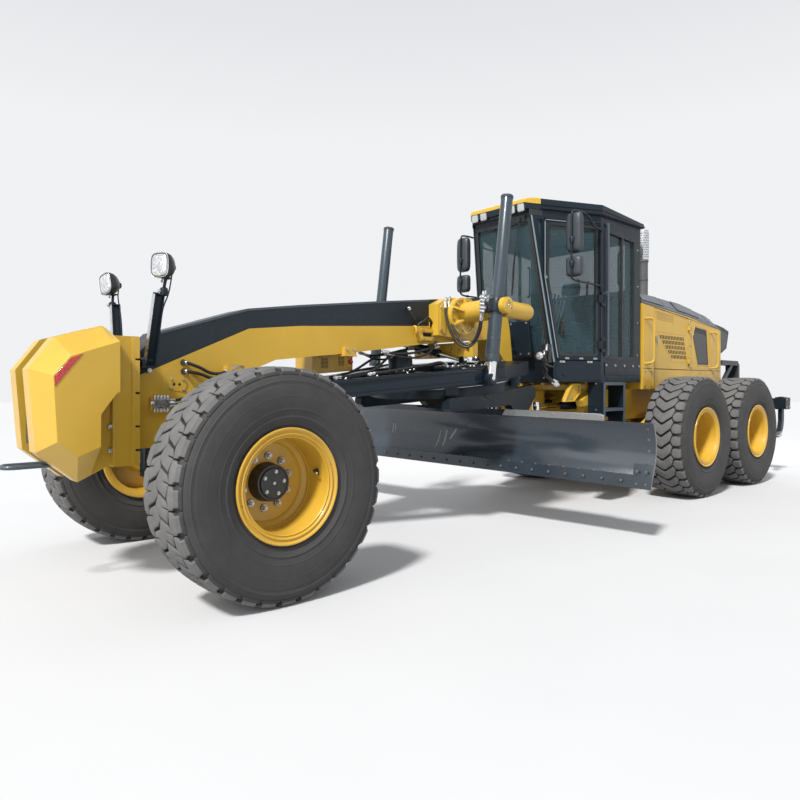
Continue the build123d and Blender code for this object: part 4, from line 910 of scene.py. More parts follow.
# -------------------------------------------------------------- head lamps
hl, hs = Part("headlight_shells", "black", "front_frame"), Part("headlight_posts", "navy", "front_frame")
hg, ht = Part("headlight_lenses", "lens", "front_frame"), Part("headlight_trim", "silver", "front_frame")
for s in (1, -1):
    c = S(s * 0.528, -0.41, 2.168)
    ya, ro = (math.radians(24), 0.0) if s > 0 else (math.radians(13), math.radians(14))
    bk = Vector((-math.sin(ya), math.cos(ya), 0))
    u = Vector((math.cos(ya), math.sin(ya), 0)) * math.cos(ro) + AZ * math.sin(ro)
    vz = bk.cross(u) * -1
    # shell from the bezel back to its round dome
    rings = []
    for t, a, b, e in ((-0.066, 0.068, 0.074, 3.6), (-0.068, 0.073, 0.079, 3.6), (-0.062, 0.0775, 0.0835, 3.4), (-0.046, 0.0785, 0.0845, 3.2), (-0.018, 0.075, 0.081, 3.0), (0.010, 0.064, 0.069, 2.6), (0.032, 0.047, 0.051, 2.2), (0.047, 0.026, 0.028, 2.0), (0.052, 0.008, 0.008, 2.0)):
        rings.append(squircle(c + bk * t, u, vz, a, b, e, 36))
    loft(hl, rings)
    for t0, t1, r in ((0.040, 0.062, 0.030),):
        hl.cyl(c + bk * t0, c + bk * t1, r, r * 0.8, n=20)
    rings = []
    for t, k in ((-0.0655, 0.99), (-0.0705, 0.94), (-0.0745, 0.75), (-0.0765, 0.45), (-0.0770, 0.08)):
        rings.append(squircle(c + bk * t, u, vz, 0.068 * k, 0.074 * k, 3.6, 36))
    loft(hg, rings)
    r0 = squircle(c - bk * 0.0665, u, vz, 0.0755, 0.0815, 3.6, 36)
    ht.tube(r0 + [r0[0]], 0.0028, n=8, smooth=False)
    # pivot, arm and channel post
    a, b = S(s * 0.310, -0.445, 1.500), S(s * 0.432, -0.425, 1.990)
    d = (b - a).normalized()
    w = AY - d * d.y
    w.normalize()
    n = d.cross(w)
    L = (b - a).length
    o = a
    for lo, hi in (((-0.006, -0.034, 0.0), (0.006, 0.034, L)), ((-0.022, -0.034, 0.0), (0.022, -0.026, L)), ((-0.022, 0.026, 0.0), (0.022, 0.034, L))):
        hs.frame_box(o, (n, w, d), lo, hi)
    ht.frame_box(o, (n, w, d), (-0.0225, -0.0365, 0.02), (0.0225, -0.0345, L))
    hs.frame_box(b, (n, w, d), (-0.022, -0.034, -0.002), (0.022, 0.034, 0.010))
    hs.tube([b + Vector((s * 0.005, 0, 0.0)), b + Vector((s * 0.040, 0.002, 0.004)), S(s * 0.506, -0.420, 2.000)], 0.017, n=12, per=4)
    hs.lathe(S(s * 0.506, -0.420, 1.970), AZ, [(0, 0.012), (0.006, 0.024), (0.030, 0.029), (0.054, 0.024), (0.060, 0.014)], 20)
    hs.tube([S(s * 0.506, -0.420, 2.025), S(s * 0.512, -0.416, 2.060), S(s * 0.520, -0.412, 2.090)], 0.011, n=10, per=4)
    ht.hexbolt(S(s * 0.506, -0.450, 2.002), -AY, 0.011, 0.012)
    ht.hexbolt(S(s * 0.518, -0.435, 2.066), -AY, 0.008, 0.010)
    hs.frame_box(S(s * 0.522, -0.410, 2.088), (AX, AY, AZ), (-0.034, -0.022, -0.006), (0.034, 0.022, 0.006))
    # foot plate, gussets and its bolts on the neck
    hs.box(s * 0.165, s * 0.330, -0.492, -0.398, 1.490, 1.506)
    hs.box(s * 0.165, s * 0.330, -0.492, -0.398, 1.536, 1.550)
    hs.prism(S(0, 0, 0), (AY, AZ, AX), [(-0.492, 1.50), (-0.398, 1.50), (-0.398, 1.545), (-0.445, 1.64), (-0.492, 1.545)], s * 0.300, s * 0.312)
    hs.box(s * 0.171, s * 0.186, -0.51, -0.38, 1.46, 1.60)
    for y, z in ((-0.495, 1.475), (-0.395, 1.475), (-0.495, 1.585), (-0.395, 1.585)):
        ht.hexbolt(S(s * 0.186, y, z), AX * s, 0.011, 0.011)
    for y in (-0.475, -0.415):
        ht.hexbolt(S(s * 0.26, y, 1.550), AZ, 0.010, 0.010)
    # lamp cable down the post
    hl.tube([c + bk * 0.055, S(s * 0.515, -0.375, 2.08), S(s * 0.475, -0.378, 1.99), a + d * 0.40 + w * 0.040, a + d * 0.2 + w * 0.041, a + d * 0.03 + w * 0.042], 0.005, n=8, per=6)
hs.done(bevel=0.002, replaces=("headlights",))
hl.done(smooth=40)
hg.done(smooth=40)
ht.done(smooth=35)

# ------------------------------------------------------ neck: plates, hoses
np_, nb, nv = Part("neck_plates", "yellow", "front_frame"), Part("neck_bolts", "zinc", "front_frame"), Part("neck_holes", "void", "front_frame")
nh, nf, nz = Part("neck_hoses", "hose", "front_frame"), Part("neck_fittings", "zinc", "front_frame"), Part("neck_valve_blocks", "silver", "front_frame")
for s in (1, -1):
    face = (AY, AZ, AX * s)
    o = S(0, 0, 0)
    out = rounded([(-0.246, 1.428), (-0.130, 1.424), (-0.108, 1.384), (-0.130, 1.322), (-0.247, 1.333)], 0.012)
    np_.prism(o, face, out, 0.1695, 0.1755)
    for y, z in ((-0.232, 1.414), (-0.138, 1.410), (-0.138, 1.336), (-0.233, 1.346)):
        nb.hexbolt(S(s * 0.1755, y, z), AX * s, 0.0075, 0.008)
    # two black discs painted as the shade inside the plate's holes
    for y in (-0.213, -0.170):
        nv.cyl(S(s * 0.1750, y, 1.377), S(s * 0.1762, y, 1.377), 0.0105, n=20)
    # raised doubler welded along the nose of the neck
    np_.prism(o, face, [(-0.30, 1.492), (-0.165, 1.492), (0.02, 1.29), (0.02, 1.262), (-0.31, 1.262)], 0.1690, 0.1720)
    # two hoses with bulkhead fittings
    for k, pts in enumerate(([(0.172, -0.140, 1.540), (0.205, -0.127, 1.537), (0.218, -0.034, 1.504), (0.216, 0.052, 1.466), (0.214, 0.139, 1.461), (0.206, 0.215, 1.492)],
                             [(0.172, -0.138, 1.474), (0.205, -0.127, 1.473), (0.214, -0.034, 1.457), (0.212, 0.064, 1.425), (0.210, 0.150, 1.418), (0.205, 0.225, 1.440)])):
        pp = [S(s * a, b, c) for a, b, c in pts]
        hose(nh, nf, pp, 0.0125)
        nh.cyl(pp[0] - AX * s * 0.012, pp[0] + AX * s * 0.008, 0.024, n=6)
        nf.tube([pp[-1], pp[-1] + Vector((0, 0.05, 0.022)), pp[-1] + Vector((-s * 0.012, 0.10, 0.030)), pp[-1] + Vector((-s * 0.05, 0.15, 0.030))], 0.009, n=8, per=4)
        nf.cyl(pp[-1] + Vector((0, 0.012, 0.005)), pp[-1] + Vector((0, 0.034, 0.014)), 0.017, n=6)
    np_.box(s * 0.169, s * 0.232, 0.185, 0.225, 1.405, 1.520)
    # bank of finned couplings
    np_.box(s * 0.169, s * 0.200, -0.395, -0.260, 1.190, 1.286)
    nz.box(s * 0.199, s * 0.246, -0.385, -0.270, 1.207, 1.270)
    for i in range(5):
        y = -0.374 + i * 0.0235
        for z0, sg in ((1.270, 1), (1.207, -1)):
            nz.lathe(S(s * 0.223, y, z0), AZ * sg, [(0, 0.0085), (0.006, 0.0085), (0.006, 0.0105), (0.011, 0.0105), (0.011, 0.0075), (0.016, 0.0075), (0.016, 0.0105), (0.022, 0.0105), (0.026, 0.009), (0.030, 0.006), (0.031, 0.0)], 12)
    nz.cyl(S(s * 0.223, -0.270, 1.245), S(s * 0.223, -0.235, 1.245), 0.015, n=6)
    nz.cyl(S(s * 0.223, -0.405, 1.245), S(s * 0.223, -0.385, 1.245), 0.013, n=6)
    for k, (z, z1) in enumerate(((1.262, 1.292), (1.240, 1.262), (1.218, 1.235))):
        hose(nh if k != 1 else nf, nf, [S(s * 0.223, -0.268, z), S(s * 0.224, -0.20, z + 0.004), S(s * 0.222, -0.136, z1 - 0.012), S(s * 0.215, -0.04, z1 - 0.02), S(s * 0.195, 0.06, z1 - 0.06)], 0.0095)
    # bracket under the neck
    np_.prism(o, face, [(1.330, 1.640), (1.460, 1.640), (1.460, 1.7150), (1.335, 1.7150)], 0.1695, 0.2150)
    np_.prism(o, face, [(1.322, 1.632), (1.468, 1.632), (1.468, 1.6400), (1.322, 1.6400)], 0.1500, 0.2220)
    for y in (1.355, 1.435):
        nb.hexbolt(S(s * 0.2150, y, 1.690), AX * s, 0.009, 0.009)
# plates at the top of the neck, by the hoses to the saddle
np_.prism(S(0, 0, 0), (AY, AZ, AX), rounded([(2.198, 1.952), (2.466, 1.948), (2.452, 1.815), (2.254, 1.805)], 0.015), 0.1695, 0.2050)
np_.prism(S(0, 0, 0), (AY, AZ, AX), rounded([(2.262, 1.935), (2.440, 1.932), (2.430, 1.900), (2.275, 1.897)], 0.008), 0.2050, 0.2280)
np_.prism(S(0, 0, 0), (AY, AZ, AX), rounded([(2.270, 1.850), (2.432, 1.854), (2.430, 1.820), (2.282, 1.816)], 0.008), 0.2050, 0.2240)
np_.tube([S(0.190, 2.195, 1.948), S(0.222, 2.190, 1.940), S(0.222, 2.200, 1.885), S(0.190, 2.240, 1.850)], 0.012, n=8, per=5)
for y, z in ((2.290, 1.916), (2.425, 1.914), (2.300, 1.834), (2.415, 1.836)):
    nb.hexbolt(S(0.228 if z > 1.88 else 0.224, y, z), AX, 0.0075, 0.008)
# black rounded plate between the two bars, painted as the shade in the recess
nv.prism(S(0, 0, 0), (AY, AZ, AX), rounded([(2.300, 1.893), (2.420, 1.890), (2.415, 1.858), (2.305, 1.858)], 0.006), 0.2040, 0.2062)
nh.tube([S(0.185, 2.212, 1.970), S(0.212, 2.190, 2.010), S(0.214, 2.150, 2.060), S(0.205, 2.128, 2.095)], 0.009, n=8)
nf.lathe(S(0.204, 2.126, 2.098), Vector((-0.1, -0.4, 0.9)), [(0, 0.010), (0.004, 0.019), (0.030, 0.021), (0.036, 0.016), (0.036, 0.0)], 14)
for y0, y1 in ((2.240, 2.420), (2.255, 2.440)):
    nh.tube([S(0.195, y0, 1.965), S(0.222, y0 + 0.035, 2.000), S(0.226, (y0 + y1) / 2, 2.015 + (y0 - 2.24) * 2), S(0.220, y1 - 0.03, 2.004), S(0.192, y1, 1.960)], 0.0085, n=8)
# raised edge along the top plate of the neck
for s in (1, -1):
    np_prof = [(-0.308, 1.761), (0.397, 1.982), (0.889, 2.052), (1.772, 2.161), (2.42, 2.2340)]
np_.done(bevel=0.002)
nb.done()
nv.done()
nh.done(smooth=45)
nf.done(smooth=35)
nz.done(smooth=35, bevel=0.001)

ne = Part("neck_top_edges", "navy_light", "front_frame")
for s in (1, -1):
    for (y0, z0), (y1, z1) in zip(np_prof, np_prof[1:]):
        ne.prism(S(0, 0, 0), (AY, AZ, AX), [(y0, z0 - 0.0005), (y1, z1 - 0.0005), (y1, z1 - 0.018), (y0, z0 - 0.018)], s * 0.1695, s * 0.1735)
ne.done()

# --------------------------------------------------------- vented side box
vb, vs_, vr = Part("side_box_vents", "void", "front_frame"), Part("side_box_bolts", "zinc", "front_frame"), Part("side_box_lamp", "red", "front_frame")
for xf, dr in ((-0.170, 1), (-0.460, -1)):
    # vent slits: thin black boxes painted as the shade inside the slits
    for g0, g1 in ((1.345, 1.425), (1.545, 1.615)):
        for i in range(9):
            z = 1.535 + (g0 - 1.345) * 0.14 + i * 0.0125
            vb.box(xf - 0.001 * dr, xf + 0.0012 * dr, g0, (g0 + g1) / 2 - 0.003, z, z + 0.0055)
            vb.box(xf - 0.001 * dr, xf + 0.0012 * dr, (g0 + g1) / 2 + 0.003, g1, z, z + 0.0055)
    for y, z in ((1.268, 1.500), (1.268, 1.660), (1.702, 1.545), (1.702, 1.722), (1.480, 1.515), (1.640, 1.54)):
        vs_.hexbolt(S(xf, y, z), AX * dr, 0.0075, 0.008)
vr.lathe(S(-0.172, 1.690, 1.600), AX, [(0, 0.026), (0.012, 0.026), (0.020, 0.020), (0.023, 0.0)], 24)
vb.done()
vs_.done()
vr.done(smooth=40)

# --------------------------------------------------------------------- cab
def DP(s, a, z, out=0.0):
    """Point on the door wall: a back from its front corner, out of it."""
    return S(s * (0.420 + a * 0.37323 + out * 0.92774), 3.750 + a * 0.92774 - out * 0.37323, z)


def door_ax(s):
    return Vector((s * 0.37323, 0.92774, 0)), AZ, Vector((s * 0.92774, -0.37323, 0))


def FP(x, a, out=0.0):
    """Point on the front screen: a down from its top edge."""
    return S(x, 3.765 + 0.161 * a - 0.987 * out, 3.270 - 0.987 * a - 0.161 * out)


FAX = (AX, Vector((0, -0.161, 0.987)), Vector((0, -0.987, -0.161)))   # x, up the screen, outward

# roof visor and its dark underside
rf = Part("roof_visor", "yellow", "rear_frame")
rings = []
for sta, hw, zt, zb in ((3.683, 0.398, 3.432, 3.398), (3.690, 0.402, 3.442, 3.394), (3.706, 0.411, 3.4485, 3.392), (3.78, 0.444, 3.4595, 3.392), (3.86, 0.479, 3.4610, 3.392)):
    rings.append([S(-hw, sta, zb), S(-hw, sta, zt - 0.012), S(-hw + 0.014, sta, zt), S(0, sta, zt + 0.0005), S(hw - 0.014, sta, zt), S(hw, sta, zt - 0.012), S(hw, sta, zb), S(0, sta, zb)])
loft(rf, rings)
rf.done(smooth=30, bevel=0.0015)
rt = Part("roof_trim", "navy", "rear_frame")
edge = [(0.4815, 3.865), (0.8015, 4.601), (0.8015, 5.5715)]
for s in (1, -1):
    for (x0, y0), (x1, y1) in zip(edge, edge[1:]):
        a, b = S(s * x0, y0, 0), S(s * x1, y1, 0)
        d = (b - a).normalized()
        n = Vector((d.y, -d.x, 0)) * s
        L = (b - a).length
        zr0, zr1 = 3.386, 3.386 if y1 < 5 else 3.350
        # rain gutter and drip edge along the side of the roof
        rt.prism(a, (d, AZ, n), [(0, 3.338), (L, 3.338), (L, 3.350), (0, 3.350)], -0.004, 0.010)
        rt.prism(a, (d, AZ, n), [(0, zr0 - 0.004), (L, zr1 - 0.004), (L, zr1 + 0.005), (0, zr0 + 0.005)], -0.004, 0.006)
# raised panels of the roof skin
for x0, x1 in ((-0.62, -0.22), (-0.19, 0.19), (0.22, 0.62)):
    w0 = min(abs(x0), abs(x1)) > 0.2
    y0 = 4.55 if w0 else 3.98
    zz = [(y0, 3.4525), (4.60, 3.4505), (5.52, 3.3885)] if y0 < 4.6 else [(y0, 3.45), (5.52, 3.3885)]
    up = [(y, z + 0.010) for y, z in zz]
    rt.side([(zz[0][0], zz[0][1] - 0.004)] + up + [(zz[-1][0], zz[-1][1] - 0.004)], x0, x1)
rt.done(bevel=0.002)
rb = Part("roof_bolts", "zinc", "rear_frame")
for s in (1, -1):
    for y in (4.45, 4.62, 5.10, 5.50):
        rb.hexbolt(S(s * 0.66, y, 3.452 if y < 4.7 else 3.452 - (y - 4.62) * 0.0684), AZ, 0.011, 0.016)
rb.hexbolt(S(0.62, 4.50, 3.452), AZ, 0.010, 0.02)
rb.done()

# front lamps under the visor, with their bezels and lenses
wl, wb = Part("cab_work_lenses", "white", "rear_frame"), Part("cab_work_lamps", "black", "rear_frame")
wz = Part("cab_lamp_bezels", "steel", "rear_frame")
for x in (-0.335, -0.205, 0.205, 0.335):
    c = S(x, 3.700, 3.352)
    n = Vector((0, -0.985, -0.17))
    u, w = AX, n.cross(AX).normalized()
    rings = []
    for t, k in ((-0.034, 0.80), (-0.020, 0.94), (0.006, 1.0), (0.012, 1.0), (0.014, 0.95)):
        rings.append(squircle(c + n * t, u, w, 0.050 * k, 0.046 * k, 6.0, 28))
    loft(wb, rings)
    rings = []
    for t, k in ((0.010, 0.86), (0.0160, 0.84), (0.0175, 0.6), (0.018, 0.1)):
        rings.append(squircle(c + n * t, u, w, 0.050 * k, 0.046 * k, 6.0, 28))
    loft(wl, rings)
    q = squircle(c + n * 0.0145, u, w, 0.046, 0.042, 6.0, 28)
    wz.tube(q + [q[0]], 0.0022, n=6, smooth=False)
    wb.box(x - 0.014, x + 0.014, 3.712, 3.745, 3.385, 3.400)
wb.done(smooth=40)
wl.done(smooth=40)
wz.done()
# black header between visor and screen
fh = Part("cab_header", "black", "rear_frame")
fh.box(-0.388, 0.388, 3.7225, 3.7580, 3.300, 3.3935)
for s in (1, -1):
    d, up, n = door_ax(s)
    fh.prism(DP(s, 0.0, 0.0), (d, up, n), [(-0.018, 3.262), (0.150, 3.262), (0.150, 3.330), (-0.018, 3.330)], -0.004, 0.004)
for k in range(9):
    x = -0.36 + k * 0.09
    fh.box(x - 0.030, x + 0.030, 3.7195, 3.7240, 3.318, 3.3235)
    fh.box(x - 0.030, x + 0.030, 3.7195, 3.7240, 3.335, 3.3405)
fh.done(bevel=0.002)

# rubber seals and bright trims round the glass
sl, tr = Part("cab_seals", "black", "rear_frame"), Part("cab_trims", "teal", "rear_frame")
scr = [(-0.385, 0.0456), (0.385, 0.0456), (0.478, 1.570), (-0.478, 1.570)]
strip(sl, FP(0, 0, 0), (FAX[0], -FAX[1], FAX[2]), scr, -0.016, -0.001, 0.0045)
strip(sl, FP(0, 0, 0), (FAX[0], -FAX[1], FAX[2]), scr, 0.020, -0.030, 0.0025)
SW = [(4.785, 3.185), (5.385, 3.150), (5.385, 1.700), (4.750, 1.700), (4.750, 1.800)]
for s in (1, -1):
    strip(sl, S(s * 0.770, 0, 0), (AY, AZ, AX * s), rounded(SW, 0.03, 3), -0.016, -0.002, 0.0045)
    strip(sl, S(s * 0.770, 0, 0), (AY, AZ, AX * s), rounded(SW, 0.03, 3), 0.018, -0.032, 0.0020)
    # divider of the side window
    sl.box(s * 0.7380, s * 0.7740, 5.085, 5.108, 1.715, 3.168)
    d, up, n = door_ax(s)
    # bright line of the A pillar and door front edge
    for pts, w in (([(0.003, 3.262), (0.020, 3.262), (0.317, 1.640), (0.297, 1.640)], 0),):
        tr.prism(DP(s, 0, 0), (d, up, n), pts, -0.001, 0.0035)
rw = [(-0.600, 3.180), (0.600, 3.180), (0.600, 2.560), (-0.600, 2.560)]
strip(sl, S(0, 5.525, 0), (AX, AZ, AY), rounded(rw, 0.04, 4), -0.016, -0.002, 0.0045)
strip(sl, S(0, 5.525, 0), (AX, AZ, AY), rounded(rw, 0.04, 4), 0.018, -0.032, 0.0020)
sl.done(bevel=0.0)
tr.done(bevel=0.001)

for side_name, s in (("left", 1), ("right", -1)):
    body = "cab_door_" + side_name
    d, up, n = door_ax(s)
    o = DP(s, 0, 0)
    ax = (d, up, n)
    seal, trim, navy, blk = Part("door_seal_" + side_name, "black", body), Part("door_trim_" + side_name, "teal", body), Part("door_edge_" + side_name, "navy", body), Part("door_handle_" + side_name, "black", body)
    DP_OUT = [(0.222, 3.190), (0.880, 3.190), (0.880, 1.725), (0.383, 1.725), (0.222, 2.583)]
    DR = [(0.178, 3.235), (0.925, 3.235), (0.925, 1.665), (0.350, 1.665), (0.178, 2.577)]
    strip(seal, o, ax, rounded(DP_OUT, 0.03, 3), -0.014, -0.002, 0.0040)
    strip(seal, o, ax, rounded(DP_OUT, 0.03, 3), 0.016, -0.034, 0.0018)
    # pressed edge of the door, inside its outline
    strip(navy, o, ax, inset_poly(DR, 0.004), 0.010, -0.001, 0.0040)
    # bright front edge of the door with its rounded top
    for pts in ([(0.1785, 3.215), (0.1915, 3.200), (0.1915, 2.585), (0.1785, 2.585)], [(0.1785, 2.583), (0.1915, 2.583), (0.360, 1.690), (0.347, 1.690)], [(0.186, 3.222), (0.196, 3.2325), (0.520, 3.2325), (0.520, 3.222)]):
        trim.prism(o, ax, pts, 0.0035, 0.0085)
    trim.cyl(DP(s, 0.196, 2.585, 0.000), DP(s, 0.196, 2.585, 0.014), 0.017, n=20)
    # handle with its escutcheon and lock
    blk.prism(o, ax, rounded([(0.385, 2.120), (0.430, 2.120), (0.430, 1.950), (0.385, 1.950)], 0.012), 0.0005, 0.012)
    blk.tube([DP(s, 0.398, 2.100, 0.010), DP(s, 0.400, 2.092, 0.040), DP(s, 0.404, 2.035, 0.044), DP(s, 0.408, 1.978, 0.040), DP(s, 0.410, 1.970, 0.010)], 0.009, n=10)
    blk.cyl(DP(s, 0.418, 2.135, 0.000), DP(s, 0.418, 2.135, 0.010), 0.012, n=18)
    # inner pull tube and cranked stay
    blk.tube([DP(s, 0.80, 2.56, -0.045), DP(s, 0.80, 2.54, -0.070), DP(s, 0.80, 2.20, -0.075), DP(s, 0.86, 2.08, -0.075), DP(s, 0.86, 1.90, -0.070), DP(s, 0.86, 1.88, -0.045)], 0.014, n=10)
    # clips along the sill
    for a in (0.450, 0.640, 0.830):
        trim.prism(o, ax, rounded([(a, 1.672), (a + 0.052, 1.672), (a + 0.052, 1.694), (a, 1.694)], 0.006), 0.0005, 0.010)
    seal.done()
    trim.done(bevel=0.001)
    navy.done()
    blk.done(smooth=40, bevel=0.001)

    # rounded mirror heads on bent tubes
    mb, mg, mt = Part("mirror_shells_" + side_name, "dark", body), Part("mirror_faces_" + side_name, "mirror", body), Part("mirror_tubes_" + side_name, "navy", body)
    for z0, z1, hw in ((2.822, 3.258, 0.099), (2.562, 2.782, 0.099)):
        c = S(s * 0.812, 4.000, (z0 + z1) / 2)
        h = (z1 - z0) / 2
        rings = []
        for t, ku, kz in ((0.0330, 0.955, 0.975), (0.0345, 0.985, 0.99), (0.0300, 1.0, 1.0), (0.010, 0.995, 0.997), (-0.012, 0.94, 0.965), (-0.024, 0.84, 0.91), (-0.0315, 0.66, 0.80), (-0.0345, 0.35, 0.55), (-0.0348, 0.05, 0.1)):
            rings.append(squircle(c + AY * t, AX, AZ, hw * ku, h * kz, 5.0 if t > -0.02 else 3.6, 40))
        loft(mb, rings)
        # ribs and the tube socket pressed in the back
        for k in (-0.5, 0.5):
            mb.tube([c + AX * hw * k + AZ * h * 0.72 - AY * 0.026, c + AX * hw * k * 1.1 - AY * 0.031, c + AX * hw * k - AZ * h * 0.72 - AY * 0.026], 0.006, n=8)
        rings = []
        for t, k in ((0.0335, 0.93), (0.0352, 0.925), (0.0356, 0.6), (0.0356, 0.05)):
            rings.append(squircle(c + AY * t, AX, AZ, hw * k, h * (1 - (1 - k) * 0.45), 5.0, 40))
        loft(mg, rings)
        mt.lathe(S(s * 0.812, 3.9615, z0 + 0.10), AZ, [(0.0, 0.012), (0.0, 0.024), (0.050, 0.030), (0.060, 0.024), (0.060, 0.012)], 20)
    R = 0.011
    arm_top = [S(s * 0.790, 4.590, 3.165), S(s * 0.800, 4.50, 3.170), S(s * 0.806, 4.38, 3.185), S(s * 0.812, 4.30, 3.250), S(s * 0.812, 4.20, 3.2830), S(s * 0.812, 4.05, 3.2850), S(s * 0.812, 3.975, 3.268), S(s * 0.812, 3.955, 3.20)]
    mt.tube(arm_top, R, n=12, per=6)
    mt.tube([S(s * 0.812, 3.955, 3.21), S(s * 0.812, 3.952, 2.86), S(s * 0.812, 3.952, 2.62), S(s * 0.812, 3.958, 2.545), S(s * 0.812, 4.02, 2.523), S(s * 0.810, 4.10, 2.520)], R, n=12, per=6)
    mt.tube([S(s * 0.810, 4.09, 2.520), S(s * 0.790, 4.590, 2.520)], 0.010, n=12, smooth=False)
    mt.cyl(S(s * 0.790, 4.590, 2.480), S(s * 0.790, 4.590, 3.215), 0.0158, n=20)
    mt.lathe(S(s * 0.790, 4.590, 3.215), AZ, [(0, 0.0158), (0.006, 0.013), (0.009, 0.006), (0.009, 0.0)], 16)
    for z in (3.170, 2.520):
        mt.lathe(S(s * 0.790, 4.590, z - 0.028), AZ, [(0, 0.0165), (0.003, 0.0225), (0.053, 0.0225), (0.056, 0.0165)], 20)
        mt.cyl(S(s * 0.7745, 4.590, z), S(s * 0.790, 4.590, z), 0.014, n=16)
        mt.lathe(S(s * 0.812, 4.36 if z > 3 else 4.07, z + (0.03 if z > 3 else 0.0)), Vector((0, 1, 0)), [(0, 0.011), (0.002, 0.016), (0.028, 0.016), (0.030, 0.011)], 14)
    mt.done(smooth=45, replaces=("mirror_" + side_name,))
    mb.done(smooth=40)
    mg.done(smooth=40)

# tall tube in front of the side window, skirt bolts, front plates, lamps
ct, cb, cn = Part("cab_side_tubes", "navy_light", "rear_frame"), Part("cab_bolts", "zinc", "rear_frame"), Part("cab_panels", "navy", "rear_frame")
for s in (1, -1):
    cn.box(s * 0.7695, s * 0.7770, 4.700, 5.520, 1.500, 1.650)
    cn.prism(S(0, 0, 0), (AY, AZ, AX), [(4.700, 1.4995), (5.520, 1.4995), (5.520, 1.420), (4.760, 1.420)], s * 0.7695, s * 0.7735)
    for y in (4.726, 4.924, 5.136, 5.338, 5.49):
        cb.hexbolt(S(s * 0.777, y, 1.612), AX * s, 0.011, 0.010)
    for z in (1.75, 2.15, 2.60, 3.05):
        cb.hexbolt(S(s * 0.770, 5.46, z), AX * s, 0.0075, 0.007)
    d, up, n = door_ax(s)
    cn.prism(DP(s, 0, 0), (d, up, n), [(0.335, 1.632), (0.935, 1.632), (0.935, 1.440), (0.400, 1.420), (0.325, 1.500)], -0.002, 0.0055)
    for a in (0.408, 0.778):
        cb.prism(DP(s, 0, 0), (d, up, n), rounded([(a - 0.035, 1.632), (a + 0.035, 1.632), (a + 0.035, 1.655), (a - 0.035, 1.655)], 0.005), -0.001, 0.014)
        cb.hexbolt(DP(s, a, 1.643, 0.014), n, 0.008, 0.008)
    # grab tube of the rear pillar
    ct.tube([S(s * 0.772, 4.735, 3.250), S(s * 0.7920, 4.735, 3.235), S(s * 0.7965, 4.735, 3.19), S(s * 0.7965, 4.735, 2.40), S(s * 0.7965, 4.735, 1.78), S(s * 0.7920, 4.735, 1.735), S(s * 0.772, 4.735, 1.720)], 0.0125, n=12, per=6)
    for z in (3.250, 1.720, 2.45):
        ct.lathe(S(s * 0.7695, 4.735, z), AX * s, [(0, 0.026), (0.005, 0.026), (0.008, 0.016)] + ([(0.026, 0.013)] if z == 2.45 else []), 18)
# front plate under the screen, with its bolts
o = S(0, 4.0295, 0)
for s in (1, -1):
    fx = (AX * s, AZ, -AY)
    cn.prism(S(0, 4.0310, 0), fx, rounded([(0.030, 1.625), (0.455, 1.625), (0.430, 1.440), (0.030, 1.440)], 0.012), -0.002, 0.005)
    for x, z in ((0.060, 1.600), (0.420, 1.600), (0.060, 1.462), (0.405, 1.462)):
        cb.hexbolt(S(s * x, 4.026, z), -AY, 0.009, 0.008)
cn.done(bevel=0.0015)
ct.done(smooth=45)

# dark plate standing in front of the cab, left of the levers
fp = Part("cab_front_plate", "navy", "rear_frame")
pl = [(-0.042, 1.920), (0.014, 2.113), (0.277, 2.111), (0.320, 1.709), (0.159, 1.715)]
fp.prism(S(0, 3.905, 0), (AX, AZ, -AY), pl, 0.0, 0.008)
strip(fp, S(0, 3.905, 0), (AX, AZ, -AY), pl, 0.014, -0.030, 0.0)
for x, z in ((0.05, 1.76), (0.25, 1.76), (0.05, 2.06), (0.25, 2.06)):
    fp.box(x - 0.014, x + 0.014, 3.905, 4.02, z - 0.004, z + 0.004)
fp.done(bevel=0.0015)
for x, z in ((-0.010, 1.925), (0.035, 2.090), (0.250, 2.090), (0.290, 1.735), (0.175, 1.735)):
    cb.hexbolt(S(x, 3.897, z), -AY, 0.0095, 0.009)
cb.done()

# round work lamp on a bracket below the front corner, both sides
lm, lb = Part("cab_round_lenses", "lens", "rear_frame"), Part("cab_round_lamps", "black", "rear_frame")
for s in (1, -1):
    c = S(s * 0.560, 3.735, 1.697)
    f = Vector((s * 0.28, -0.96, -0.05)).normalized()
    lb.lathe(c - f * 0.045, f, [(0.0, 0.010), (0.004, 0.030), (0.020, 0.044), (0.050, 0.0485), (0.058, 0.0485), (0.060, 0.044), (0.054, 0.043)], 32)
    lm.lathe(c - f * 0.045, f, [(0.054, 0.0435), (0.0590, 0.040), (0.0615, 0.025), (0.062, 0.0)], 32)
    u = f.cross(AZ).normalized()
    lm.frame_box(c + f * 0.0155, (u, AZ, f), (-0.041, -0.003, -0.002), (0.041, 0.003, 0.0025))
    for k in (1, -1):
        lb.tube([c + u * 0.052 * k + AZ * 0.004, c + u * 0.054 * k - AZ * 0.022, c + u * 0.036 * k - AZ * 0.040 + AY * 0.016, c - AZ * 0.042 + AY * 0.036], 0.005, n=8)
        lb.cyl(c + u * 0.046 * k, c + u * 0.060 * k, 0.009, n=14)
    lb.box(s * 0.510, s * 0.615, 3.768, 3.806, 1.612, 1.624)
    lb.tube([c - AZ * 0.042 + AY * 0.030, S(s * 0.560, 3.782, 1.640), S(s * 0.560, 3.788, 1.618)], 0.007, n=10, per=3)
    lb.prism(S(0, 0, 0), (AY, AZ, AX), [(3.772, 1.612), (3.800, 1.612), (3.870, 1.560), (3.870, 1.520)], s * 0.560, s * 0.568)
    lb.prism(S(0, 0, 0), (AY, AZ, AX), [(3.772, 1.618), (3.950, 1.590), (3.950, 1.570), (3.772, 1.598)], s * 0.545, s * 0.595)
    lb.tube([c - f * 0.045, c - f * 0.075 - AZ * 0.01, S(s * 0.57, 3.84, 1.63), S(s * 0.56, 3.93, 1.58)], 0.005, n=8)
lm.done(smooth=40)
lb.done(smooth=40, bevel=0.0)

